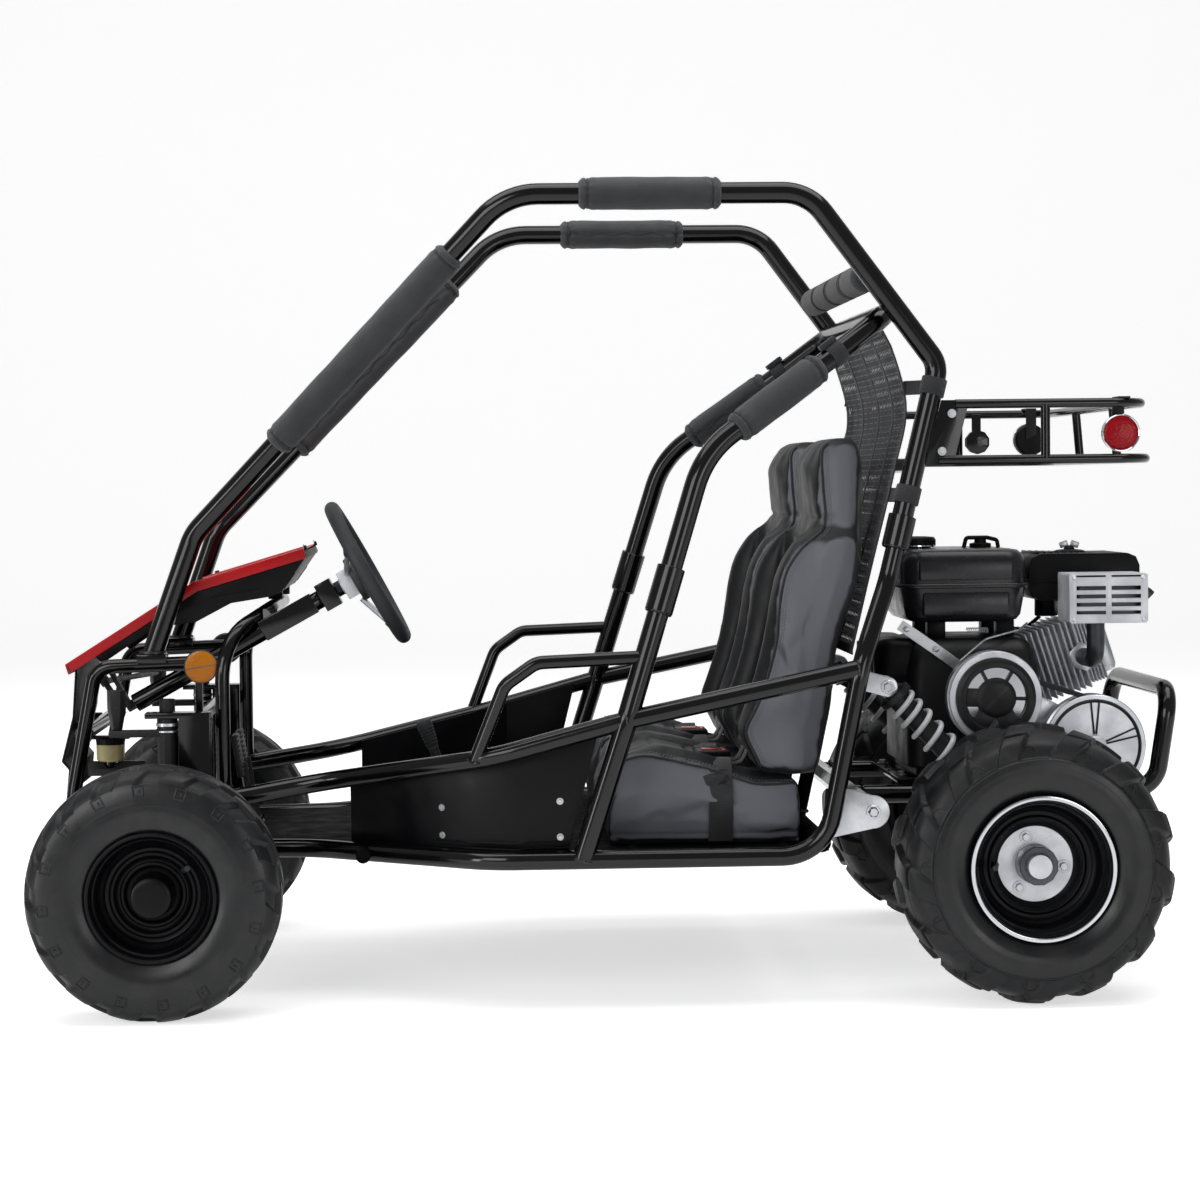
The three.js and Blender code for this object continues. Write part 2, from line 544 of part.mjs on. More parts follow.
// Front cowl: a shell open below, with a nose panel, side walls, a rear panel and four lugs
const cowl = { wall: 4, halfWidth: 200, noseHalf: 150 };
const cowlLine = [
  [-163, 298], [-159, 336], [-170, 349], [-152, 418], [-147, 488], [-151, 501], [43, 623], [211, 672],
  [215, 664], [176, 610],
];
const cowlSide = [
  [-118, 522], [43, 623], [211, 672], [215, 664], [176, 610], [157, 602], [98, 593], [45, 565], [-18, 557],
    [-99, 503],
];
const cowlLug = { y: 100, half: 10, rearX: 150, rearDepth: 22, rearTop: 652, frontX: -153, frontZ: 390,
  frontTop: 406 };
function frontCowl() {
  const parts = [
    sheet(cowlLine.slice(0, 6), 0, cowl.wall, -cowl.noseHalf, cowl.noseHalf),
    sheet(cowlLine.slice(5), 0, cowl.wall, -cowl.halfWidth, cowl.halfWidth),
  ];
  for (const [, side] of sides) {
    parts.push(plate(cowlSide, side * (cowl.halfWidth - cowl.wall), side * cowl.halfWidth));
    const [near, far] = [side * cowlLug.y - cowlLug.half, side * cowlLug.y + cowlLug.half];
    const restZ = dash.crossZ + hoopTube + fit;
    const restX = crossBar.frontX - hoopTube - fit;
    parts.push(block([cowlLug.rearX, near, restZ], [cowlLug.rearX + cowlLug.rearDepth, far,
      cowlLug.rearTop]));
    parts.push(block([cowlLug.frontX, near, cowlLug.frontZ], [restX, far, cowlLug.frontTop]));
  }
  return join(parts);
}
node(kart, 'front_cowl', frontCowl(), 'blackSheet');

// Hood cover: a red sheet over the cowl's top, lipped at the front and along both sides
const hood = { wall: 3.5, lip: 12 };
function hoodCover() {
  const top = cowlLine.slice(4, 8);
  const reach = cowl.halfWidth + fit + hood.wall;
  const parts = [sheet(top, -(fit + hood.wall), -fit, -reach, reach)];
  for (const [, side] of sides) {
    parts.push(sheet(top.slice(1), -(fit + hood.wall), hood.lip, side * (cowl.halfWidth + fit),
      side * reach));
  }
  return join(parts);
}
node(kart, 'hood_cover', hoodCover(), 'redPlastic');

// Rear rack: two plates behind the cage legs, two U tubes, uprights between them and the buzzer
const rack = {
  plate: 5, plateDepth: 42, topZ: 888, lowZ: 790, y: 385, rearX: 1476, lowRearX: 1483, tubeTopZ: 882,
    tubeLowZ: 799,
  corner: 60, postX: 1321, postY: 140,
};
const buzzer = { x: 1348, z: 834, radius: 21, depth: 18, strap: 3, strapHalf: 8, inset: 22 };
const tail = { x: 1440, z: 837, radius: 28, near: 343, far: 366, strap: 3, strapHalf: 9, rootShare: 0.8 };
function rearRack() {
  const parts = [];
  const legAt = (z) => along(cageShares, 'z', z, 1, 4).x + cageTube + 2 * fit;
  const [topX, lowX] = [legAt(rack.topZ), legAt(rack.lowZ)];
  for (const [, side] of sides) {
    const [near, far] = [side * rack.y - rack.plate / 2, side * rack.y + rack.plate / 2];
    const outline = [[topX, rack.topZ], [topX + rack.plateDepth, rack.topZ],
      [lowX + rack.plateDepth, rack.lowZ], [lowX, rack.lowZ]];
    parts.push(plate(outline, near, far));
    parts.push(tube([v(rack.postX, side * rack.y, rack.tubeTopZ),
      v(rack.postX, side * rack.y, rack.tubeLowZ)], rackTube));
    const rearPost = [v(rack.rearX, side * rack.postY, rack.tubeTopZ),
      v(rack.lowRearX, side * rack.postY, rack.tubeLowZ)];
    parts.push(tube(rearPost, rackTube));
  }
  for (const [x, endX, z] of [[topX, rack.rearX, rack.tubeTopZ], [lowX, rack.lowRearX, rack.tubeLowZ]]) {
    const start = x + rack.plateDepth / 2;
    const half = (side) => [v(start, side * rack.y, z), v(endX, side * rack.y, z)];
    parts.push(tube([...half(-1), ...half(1).reverse()], rackTube, rack.corner, tubeSides, 1));
  }
  const inY = rack.y - buzzer.inset;
  parts.push(turned(v(buzzer.x, inY, buzzer.z), v(0, -1, 0),
    [[0, buzzer.radius], [buzzer.depth, buzzer.radius]]));
  parts.push(block([buzzer.x - buzzer.strapHalf, inY - buzzer.strap, buzzer.z],
    [buzzer.x + buzzer.strapHalf, inY, rack.tubeTopZ]));
  parts.push(block([buzzer.x - buzzer.strapHalf, inY - buzzer.strap, rack.tubeTopZ - buzzer.strap],
    [buzzer.x + buzzer.strapHalf, rack.y, rack.tubeTopZ]));
  return join(parts);
}
node(kart, 'rear_rack', rearRack(), 'satinBlack');

// Tail reflector: a round lens in a cup, on a strap that hooks over the rack's top tube
function tailReflector(side) {
  const lens = turned(v(tail.x, side * tail.near, tail.z), v(0, side, 0), [
    [0, tail.radius * tail.rootShare], [(tail.far - tail.near) / 2, tail.radius], [tail.far - tail.near, tail.radius],
  ]);
  const strap = block([tail.x - tail.strapHalf, side * tail.near, tail.z],
    [tail.x + tail.strapHalf, side * (tail.near - tail.strap),
      rack.tubeTopZ + flat(rackTube) + fit + tail.strap]);
  const hook = block([tail.x - tail.strapHalf, side * tail.near, rack.tubeTopZ + flat(rackTube) + fit],
    [tail.x + tail.strapHalf, side * rack.y, rack.tubeTopZ + flat(rackTube) + fit + tail.strap]);
  const web = block([tail.x - tail.strapHalf, side * (tail.near - tail.strap), tail.z],
    [tail.x + tail.strapHalf, side * (tail.near + tail.strap), tail.z + tail.strapHalf]);
  return join(lens, strap, hook, web);
}
for (const [name, side] of sides) node(kart, `tail_reflector_${name}`, tailReflector(side), 'redLens');

// Back net: a stretched sheet under the seat hoop's top, looped round the cage legs
const net = { thickness: 3, halfWidth: 335, loopHalf: 14, loopZ: [908, 748], loopWall: 2, tie: 14,
  cornerY: 296, cornerZ: 970 };
const netLine = [[1088, 1001], [1120, 886], [1102, 785], [1066, 640], [1035, 510]];
function backNet() {
  const [[topX, topZ]] = netLine;
  const corners = sides.map(([, side]) => block([topX - net.halfWidth, side * net.cornerY, net.cornerZ],
    [topX + net.halfWidth, side * (net.halfWidth + overrun), topZ + overrun]));
  const parts = [cut(sheet(netLine, 0, net.thickness, -net.halfWidth, net.halfWidth), corners)];
  for (const z of net.loopZ) {
    for (const [, side] of sides) {
      const leg = along(cageShares, 'z', z, side, 4);
      const way = heading(at(cageShares[4], side), at(cageShares[5], side));
      const start = leg.clone().addScaledVector(way, -net.loopHalf);
      const end = leg.clone().addScaledVector(way, net.loopHalf);
      const next = netLine.findIndex(([, lineZ]) => lineZ < z);
      const [[x0, z0], [x1, z1]] = [netLine[next - 1], netLine[next]];
      const edge = v(lerp(x0, x1, (z - z0) / (z1 - z0)) - net.thickness / 2,
        side * (net.halfWidth - net.tie), z);
      const tie = tube([edge, leg], net.tie / 2, 0, 4);
      parts.push(cut(join(tube([start, end], bored(cageTube + fit + net.loopWall)), tie),
        cageRail(side, cageTube + fit)));
    }
  }
  return join(parts);
}
node(kart, 'back_net', backNet(), 'webbing');

// Brake master cylinder under the front cross bar, with its reservoir
const master = { x: -94, y: -150, plateTop: 4, reach: 30, half: 15, jarRadius: 22, jarTop: 376,
  jarLow: 350, bodyZ: 338, bodyRadius: 13, bodyFrom: -128, bodyTo: -40 };
function brakeMaster() {
  const restZ = crossBar.frontZ - flat(hoopTube) - fit;
  const bracket = block([crossBar.frontX - hoopTube, master.y - master.half, restZ - master.plateTop],
    [master.x + master.reach, master.y + master.half, restZ]);
  const jar = turned(v(master.x, master.y, master.bodyZ), v(0, 0, 1), [
    [0, master.bodyRadius], [master.jarLow - master.bodyZ, master.bodyRadius],
    [master.jarLow - master.bodyZ, master.jarRadius], [restZ - master.bodyZ - master.plateTop / 2,
      master.jarRadius],
  ]);
  const cylinder = tube([v(master.bodyFrom, master.y, master.bodyZ),
    v(master.bodyTo, master.y, master.bodyZ)], master.bodyRadius);
  return join(bracket, jar, cylinder);
}
node(kart, 'brake_master', brakeMaster(), 'reservoir');

// Seats: each back and cushion is a stack of rings with a padded crown, drawn-in sides and sewn channels
const seat = { y: 205, half: 180, channel: 5, channelShare: 0.6, drawIn: 0.94 };
const backRows = [
  // height, rear X, bolster front X, centre front X, width share
  [330.3, 972, 895, 895, 0.95], [352, 979, 876, 878, 1], [396, 989, 859, 915, 1], [438, 998, 878, 936, 1],
  [482, 1003, 897, 945, 1], [540, 1014, 914, 962, 1], [600, 1034, 917, 975, 1], [643, 1045, 923, 985, 0.98],
  [684, 1050, 962, 980, 0.92], [709, 1052, 992, 988, 0.76], [760, 1054, 990, 985, 0.73],
    [812, 1054, 986, 981, 0.66],
  [841, 1045, 1016, 1016, 0.55],
];
const cushionRows = [
  // place along X, bolster top Z, centre top Z, width share
  [662, 322, 322, 0.93], [678, 364, 362, 0.98], [712, 374, 363, 1], [746, 372, 360, 1], [814, 356, 342, 1],
  [882, 329.6, 326, 1], [928, 330, 330, 0.98], [957, 329.5, 329.5, 0.96],
];
const seatChannels = { back: [460, 560, 735], cushion: [780] };
const seatBottomZ = floorTop + floor.sheet / 2 + fit;

// Rows with a channel row put in wherever the seat is sewn
function withChannels(rows, places) {
  const sewn = rows.map((row) => ({ row, depth: 0 }));
  for (const place of places) {
    const next = rows.findIndex(([spot]) => spot > place);
    const share = (place - rows[next - 1][0]) / (rows[next][0] - rows[next - 1][0]);
    const row = rows[next].map((value, i) => lerp(rows[next - 1][i], value, share));
    sewn.push({ row, depth: seat.channel });
    for (const step of [-seat.channel, seat.channel]) sewn.push({ row: [place + step, ...row.slice(1)],
      depth: 0 });
  }
  return sewn.sort((a, b) => a.row[0] - b.row[0]);
}
// Across the seat: shares of the half width, and how far each point is from the bolster level to the centre
// level
const frontShares = [[-1, 0.35], [-0.9, 0], [-0.7, 0], [-0.5, 1], [0, 1], [0.5, 1], [0.7, 0], [0.9, 0],
  [1, 0.35]];
function seatBack(side) {
  const rings = withChannels(backRows, seatChannels.back).map(({ row, depth }) => {
    const [z, rear, bolster, centre, width] = row;
    const y = (share) => side * seat.y + share * width * seat.half;
    const front = frontShares.map(([share, level]) => {
      const edge = Math.abs(share) === 1 ? level * (rear - bolster) : 0;
      return v(lerp(bolster, centre, edge ? 0 : level) + edge + depth * (Math.abs(share) < seat.channelShare ? 1 : 0),
        y(share), z);
    });
    const back = [v(rear - seat.channel, y(seat.drawIn), z), v(rear, y(0), z),
      v(rear - seat.channel, y(-seat.drawIn), z)];
    return [...front, ...back];
  });
  return loft(rings);
}
function seatCushion(side) {
  const rings = withChannels(cushionRows, seatChannels.cushion).map(({ row, depth }) => {
    const [x, bolster, centre, width] = row;
    const y = (share) => side * seat.y + share * width * seat.half;
    const top = frontShares.map(([share, level]) => {
      const edge = Math.abs(share) === 1 ? level * (bolster - seatBottomZ) : 0;
      return v(x, y(share), lerp(bolster, centre,
        edge ? 0 : level) - edge - depth * (Math.abs(share) < seat.channelShare ? 1 : 0));
    });
    return [...top, v(x, y(seat.drawIn), seatBottomZ), v(x, y(0), seatBottomZ),
      v(x, y(-seat.drawIn), seatBottomZ)];
  });
  return loft(rings);
}

// Harness: two shoulder straps, two lap straps down to the floor and the buckle, as one piece
const harness = { half: 20, thickness: 3, shoulderY: 48, buckleX: 833, buckleZ: 354.5,
  buckleHalf: [26, 34, 8], lapHalf: 18, lapY: [24, 110, 150, 189, 190], lapZ: [356, 368, 372, 352],
  lapX: 832 };
const shoulderLine = [[964, 682], [970, 645], [948, 540], [903, 400], [866, 372], [848, 358]];
function harnessFor(side) {
  const middle = side * seat.y;
  const [bx, by, bz] = harness.buckleHalf;
  const parts = [block([harness.buckleX - bx, middle - by, harness.buckleZ - bz],
    [harness.buckleX + bx, middle + by, harness.buckleZ + bz])];
  for (const way of [-1, 1]) {
    const shoulder = shoulderLine.map(([x, z]) => v(x, middle + way * harness.shoulderY, z));
    shoulder[shoulder.length - 1].y = middle + (way * harness.shoulderY) / 2;
    parts.push(band(shoulder, v(0, 1, 0), harness.half, -harness.thickness));
    const [y0, y1, y2, y3, y4] = harness.lapY.map((y) => middle + way * y);
    const [z0, z1, z2, z3] = harness.lapZ;
    const lap = [[y0, z0], [y1, z1], [y2, z2], [y3, z3],
      [y4, seatBottomZ]].map(([y, z]) => v(harness.lapX, y, z));
    parts.push(band(lap, v(1, 0, 0), harness.lapHalf, way * harness.thickness));
  }
  return join(parts);
}
for (const [name, side] of sides) {
  node(kart, `seat_cushion_${name}`, seatCushion(side), 'seatVinyl');
  node(kart, `seat_back_${name}`, seatBack(side), 'seatVinyl');
  node(kart, `harness_${name}`, harnessFor(side), 'webbing');
}

// Wheels: profiles are [radius, place along Y] with Y outward, and each wheel's group puts it in place
const tyreShares = { bead: 0.82, seat: 0.6, liner: 0.8, bulge: 0.35 };
const tyreOuter = [[0, tyreShares.bead, 0], [tyreShares.bulge, 1, 0], [0.86, 0.88, 0.7], [1, 0.45, 1]];
function tyre({ radius, width, rimRadius, lugs, lugHeight }) {
  const half = width / 2;
  const height = radius - rimRadius;
  const cavity = [[tyreShares.liner, tyreShares.seat, 0], [0, tyreShares.seat, 0]];
  const mirrored = (rows) => rows.map(([r, y, lug]) => [r, -y, lug]).reverse();
  const profile = [...tyreOuter, ...mirrored(tyreOuter), ...mirrored(cavity).reverse(), ...cavity];
  const segments = lugs * 3;
  const step = (2 * Math.PI) / segments;
  const crown = tyreOuter[tyreOuter.length - 1][1];
  const rings = Array.from({ length: segments }, (_, i) =>
    profile.map(([r, y, lug]) => {
      const spot = rimRadius + height * r - (i % 3 ? 0 : lugHeight * lug);
      const angle = (i - 1.5 + (Math.abs(y) - crown) * lug) * step;
      return v(spot * Math.sin(angle), y * half, -spot * Math.cos(angle));
    })
  );
  const flat = block([-radius, -width, -radius - overrun], [radius, width, tyreFlat - radius]);
  return cut(loft(rings, true), flat);
}
const rimSteps = { sides: 12, wall: 3.5, ease: 1.5, lip: 8, web: 4, hub: 27, hubBack: -35, capInset: 6,
  bore: 10.3, boreEnd: 40, hubTube: 29 };
// The rim's outer side follows the tyre's bead; a closed hub takes the spindle, an open one takes the
// axle's hub tube
function rim({ radius, width, rimRadius, webOffset }, closedHub) {
  const half = width / 2;
  const bead = half * tyreShares.bead + fit;
  const slope = (half * (1 - tyreShares.bead)) / ((radius - rimRadius) * tyreShares.bulge);
  const flare = bead + rimSteps.lip * slope + fit;
  const [inner, top, barrel] = [rimRadius - rimSteps.wall - rimSteps.ease, rimRadius + rimSteps.lip,
    rimRadius - rimSteps.ease];
  const face = webOffset + rimSteps.web;
  const lip = [[top, -flare - rimSteps.wall], [top, -flare], [barrel, -bead], [barrel, bead], [top, flare],
    [top, flare + rimSteps.wall]];
  const cap = half - rimSteps.capInset;
  const hub = closedHub
    ? [[rimSteps.hub, face], [rimSteps.hub, cap], [0, cap], [0, rimSteps.boreEnd],
      [rimSteps.bore, rimSteps.boreEnd],
      [rimSteps.bore, rimSteps.hubBack], [rimSteps.hub, rimSteps.hubBack], [rimSteps.hub, webOffset]]
    : [[rimSteps.hubTube, face], [rimSteps.hubTube, webOffset]];
  const barrelEnd = [[inner, webOffset], [inner, -bead - rimSteps.wall]];
  return revolve([...lip, [inner, bead + rimSteps.wall], [inner, face], ...hub, ...barrelEnd, lip[0]],
    rimSteps.sides);
}
function wheelGroup(size, x, z, side) {
  const group = new THREE.Group();
  group.position.set(x, side * (trackHalf - size.width / 2), z);
  group.rotation.z = side > 0 ? 0 : Math.PI;
  kart.add(group);
  return group;
}
for (const [name, side] of sides) {
  const front = wheelGroup(frontWheel, 0, frontAxleZ, side);
  node(front, `front_rim_${name}`, rim(frontWheel, true), 'blackSheet');
  node(front, `front_tyre_${name}`, tyre(frontWheel), 'rubber');
  const rear = wheelGroup(rearWheel, wheelbase, rearAxleZ, side);
  node(rear, `rear_rim_${name}`, rim(rearWheel, false), 'blackSheet');
  node(rear, `rear_tyre_${name}`, tyre(rearWheel), 'rubber');
}

// Knuckle: kingpin tube with a pin at each end, a steering arm forward and the wheel's spindle
const knuckle = { gap: 0.3, spindle: 9.5, spindleEnd: 480, shoulder: 16, armLow: 400, armTop: 410,
  armHalf: 12, armX: -75 };
function knuckleFor(side) {
  const y = side * kingpin.y;
  const low = tower.bottom + tower.shelf + knuckle.gap;
  const high = tower.top - tower.shelf - knuckle.gap;
  const post = turned(v(kingpin.x, y, 0), v(0, 0, 1), [
    [tower.bottom - kingpin.nutHeight, kingpin.cap], [tower.bottom - knuckle.gap, kingpin.cap],
    [tower.bottom - knuckle.gap, kingpin.pin], [low, kingpin.pin], [low, kingpin.tube],
      [high, kingpin.tube],
    [high, kingpin.pin], [tower.top + knuckle.gap, kingpin.pin], [tower.top + knuckle.gap, kingpin.cap],
    [tower.top + kingpin.capHeight, kingpin.cap],
  ]);
  const arm = block([knuckle.armX, y - knuckle.armHalf, knuckle.armLow],
    [kingpin.x, y + knuckle.armHalf, knuckle.armTop]);
  const hubFace = trackHalf - frontWheel.width / 2 + rimSteps.hubBack - fit;
  const spindle = turned(v(0, side * kingpin.y, frontAxleZ), v(0, side, 0), [
    [0, knuckle.shoulder], [hubFace - kingpin.y, knuckle.shoulder], [hubFace - kingpin.y, knuckle.spindle],
    [knuckle.spindleEnd - kingpin.y, knuckle.spindle],
  ]);
  return join(post, arm, spindle);
}

// Tie rod: boot and ball housing over the steering arm, and a rod to the foot of the steering column
const tieRod = { x: -65, bootLow: 410.3, bootTop: 443, housingTop: 470, small: 8, radius: 14, rodZ: 457,
  rod: 5, eye: 7, eyeHalf: 6, open: 7, spread: 8, shift: 5 };
const pitman = { from: 3, to: 9, length: 52, half: 12 };
function tieRodFor(side) {
  const ball = turned(v(tieRod.x, side * kingpin.y, 0), v(0, 0, 1), [
    [tieRod.bootLow, tieRod.small], [tieRod.bootTop, tieRod.radius], [tieRod.housingTop, tieRod.radius],
  ], tubeSides);
  const eyeReach = pitman.from - tieRod.open - tieRod.eyeHalf;
  const eye = onColumn(eyeReach, pitman.length, tieRod.shift + side * tieRod.spread);
  const rod = tube([v(tieRod.x, side * kingpin.y, tieRod.rodZ), eye], tieRod.rod);
  const end = turned(onColumn(eyeReach - tieRod.eyeHalf, pitman.length,
    tieRod.shift + side * tieRod.spread), columnWay,
    [[0, tieRod.eye], [2 * tieRod.eyeHalf, tieRod.eye]], tubeSides);
  return join(ball, rod, end);
}
for (const [name, side] of sides) {
  node(kart, `knuckle_${name}`, knuckleFor(side), 'satinBlack');
  node(kart, `tie_rod_${name}`, tieRodFor(side), 'zinc');
}

// Steering shaft with its pitman plate and collar, and the wheel on its upper end
const wheel = { rim: 111.5, grip: 11.5, sides: 14, hub: 36, hubLow: -46, hubTop: -16, spoke: 6.5,
  spokeIn: 30, spokeDrop: -28, shaftEnd: -24, collar: 12, collarFrom: -55.7 };
function steeringShaft() {
  const shaft = turned(onColumn(0), columnWay, [
    [0, column.shaft], [column.wheelAt + wheel.collarFrom, column.shaft],
      [column.wheelAt + wheel.collarFrom, wheel.collar],
    [column.wheelAt + wheel.hubLow - fit, wheel.collar],
      [column.wheelAt + wheel.hubLow - fit, column.shaft],
    [column.wheelAt + wheel.shaftEnd, column.shaft],
  ], tubeSides);
  const arm = loft([pitman.from, pitman.to].map((s) =>
    [[0, -1], [1, -1], [1, 1], [0, 1]].map(([a, b]) => onColumn(s, a * (pitman.length + pitman.half),
      b * pitman.half))));
  return join(shaft, arm);
}
function steeringWheel() {
  const circle = Array.from({ length: tubeSides + 1 }, (_, i) => {
    const angle = (i * 2 * Math.PI) / tubeSides;
    return [wheel.rim + wheel.grip * Math.cos(angle), wheel.grip * Math.sin(angle)];
  });
  const bore = bored(column.shaft + fit);
  const boreEnd = wheel.shaftEnd + fit;
  const hub = revolve([[bore, wheel.hubLow], [wheel.hub, wheel.hubLow], [wheel.hub, wheel.hubTop],
    [0, wheel.hubTop], [0, boreEnd],
    [bore, boreEnd], [bore, wheel.hubLow]], wheel.sides);
  const parts = [revolve(circle, wheel.sides), hub];
  for (let i = 0; i < 3; i++) {
    const angle = (i * 2 * Math.PI) / 3;
    const [c, d] = [Math.cos(angle), Math.sin(angle)];
    parts.push(tube([v(wheel.spokeIn * c, wheel.spokeDrop, wheel.spokeIn * d),
      v(wheel.rim * c, 0, wheel.rim * d)], wheel.spoke));
  }
  return join(parts);
}
node(kart, 'steering_shaft', steeringShaft(), 'zinc');
const wheelMesh = node(kart, 'steering_wheel', steeringWheel(), 'satinBlack');
wheelMesh.position.copy(onColumn(column.wheelAt));
wheelMesh.quaternion.setFromUnitVectors(v(0, 1, 0), columnWay);

// Pedals and hand lever: each turns on a barrel between two lugs that stand on the floor sheet
const lever = { barrel: 10, barrelHalf: 14, pin: 5, lug: 5, lugHalf: 9, arm: 6, padHalf: 28 };
const pedals = [
  { name: 'brake_pedal', x: 130, y: -215, z: 250, topX: 114, topZ: 350 },
  { name: 'throttle_pedal', x: 130, y: -130, z: 250, topX: 114, topZ: 350 },
];
const padCorners = [[108, 328], [116, 330], [106, 394], [98, 392]];
const handLever = { x: 440, y: 0, z: 250, line: [[440, 250], [406, 342], [388, 391]], stem: 8, bend: 20,
  grip: 13, gripFrom: 0.25, gripTo: 1.08 };
const barrel = ({ x, y, z }) => tube([v(x, y - lever.barrelHalf, z), v(x, y + lever.barrelHalf, z)],
  lever.barrel);
const barrelBore = ({ x, y, z }) =>
  tube([v(x, y - lever.barrelHalf - overrun, z), v(x, y + lever.barrelHalf + overrun, z)],
    bored(lever.pin + fit));
function pedal(spot) {
  const arm = tube([v(spot.x, spot.y, spot.z), v(spot.topX, spot.y, spot.topZ)], lever.arm);
  const pad = plate(padCorners, spot.y - lever.padHalf, spot.y + lever.padHalf);
  return cut(join(barrel(spot), arm, pad), barrelBore(spot));
}
for (const spot of pedals) node(kart, spot.name, pedal(spot), 'satinBlack');
function handLeverBody() {
  const [foot, bend, top] = handLever.line.map(([x, z]) => v(x, handLever.y, z));
  const stem = tube([foot, bend, top], handLever.stem, handLever.bend, tubeSides, 1);
  const grip = tube([bend.clone().lerp(top, handLever.gripFrom), bend.clone().lerp(top, handLever.gripTo)],
    handLever.grip);
  return cut(join(barrel(handLever), stem, grip), barrelBore(handLever));
}
node(kart, 'hand_lever', handLeverBody(), 'satinBlack');

function leverMount({ x, y, z }) {
  const near = lever.barrelHalf + fit;
  const reach = near + lever.lug + overrun;
  const mounts = [-1, 1].map((way) =>
    block([x - lever.lugHalf, y + way * near, floorTop],
      [x + lever.lugHalf, y + way * (near + lever.lug), z + lever.lugHalf]));
  return [...mounts, tube([v(x, y - reach, z), v(x, y + reach, z)], lever.pin)];
}
node(kart, 'floor_frame', floorFrame(), 'satinBlack');

// Swing frame: arms and rear hoop in one tube, pivot tube, cross tubes, engine plate, axle housings and
// shock pins
const swing = {
  y: 200, rearX: 1527, bumperX: 1551, bumperZ: 439, bend: 45, crossX: [1195, 1455], plateFrom: 1130,
    plateTo: 1460,
  plateY: 150, plateLow: 296, plateTop: 304, pinDepth: 40,
};
const housing = { radius: 40, bore: 15.3, near: 188, far: 212, neck: 26, neckHalf: 5 };
const caliper = { fromX: 1225, toX: 1265, lowZ: 240, topZ: 288, fromY: 132, toY: 190, slotFrom: 147,
  slotTo: 153, slotTop: 282 };
const shockPin = { tube: 12, radius: 6, washer: 10, washerDepth: 3, open: 2.5 };
function swingFrame() {
  const half = (side) => [
    v(pivotX, side * swing.y, pivotZ), v(swing.rearX, side * swing.y, pivotZ),
      v(swing.bumperX, side * swing.y, swing.bumperZ),
  ];
  const pivotHalf = pivotPlateInner - fit;
  const pins = sides.map(([, side]) =>
    tube([v(pivotX, side * (pivotHalf - swing.pinDepth), pivotZ),
      v(pivotX, side * (pivotHalf + overrun), pivotZ)], bored(pivot.pin + fit)));
  const parts = [
    tube([...half(-1), ...half(1).reverse()], frameTube, swing.bend, tubeSides, 1),
    cut(tube([v(pivotX, -pivotHalf, pivotZ), v(pivotX, pivotHalf, pivotZ)], pivot.tube), pins),
    block([swing.plateFrom, -swing.plateY, swing.plateLow], [swing.plateTo, swing.plateY, swing.plateTop]),
    cut(block([caliper.fromX, caliper.fromY, caliper.lowZ], [caliper.toX, caliper.toY, caliper.topZ]),
      block([caliper.fromX - overrun, caliper.slotFrom, caliper.lowZ - overrun],
        [caliper.toX + overrun, caliper.slotTo, caliper.slotTop])),
  ];
  for (const x of swing.crossX) parts.push(tube([v(x, -swing.y, pivotZ), v(x, swing.y, pivotZ)],
    frameTube));
  for (const [, side] of sides) {
    const wheelSpot = v(wheelbase, side * housing.near, rearAxleZ);
    const ring = turned(wheelSpot, v(0, side, 0), [[0, housing.radius],
      [housing.far - housing.near, housing.radius]]);
    const middle = (side * (housing.near + housing.far)) / 2;
    const neck = block([wheelbase - housing.neck, middle - housing.neckHalf, rearAxleZ],
      [wheelbase + housing.neck, middle + housing.neckHalf, pivotZ]);
    const bore = tube([v(wheelbase, side * (housing.near - overrun), rearAxleZ),
      v(wheelbase, side * (housing.far + overrun), rearAxleZ)],
      bored(housing.bore, fineSides), 0, fineSides);
    parts.push(cut(join(ring, neck), bore));
    const pinFace = shock.y - shock.eyeHalf - shockPin.open;
    const pinEnd = shock.y + shock.eyeHalf + shockPin.open;
    parts.push(turned(v(shock.lowX, side * swing.y, shock.lowZ), v(0, side, 0), [
      [0, shockPin.tube], [pinFace - swing.y, shockPin.tube], [pinFace - swing.y, shockPin.radius],
      [pinEnd - swing.y, shockPin.radius], [pinEnd - swing.y, shockPin.washer],
      [pinEnd - swing.y + shockPin.washerDepth, shockPin.washer],
    ]));
  }
  return join(parts);
}
node(kart, 'swing_frame', swingFrame(), 'satinBlack');

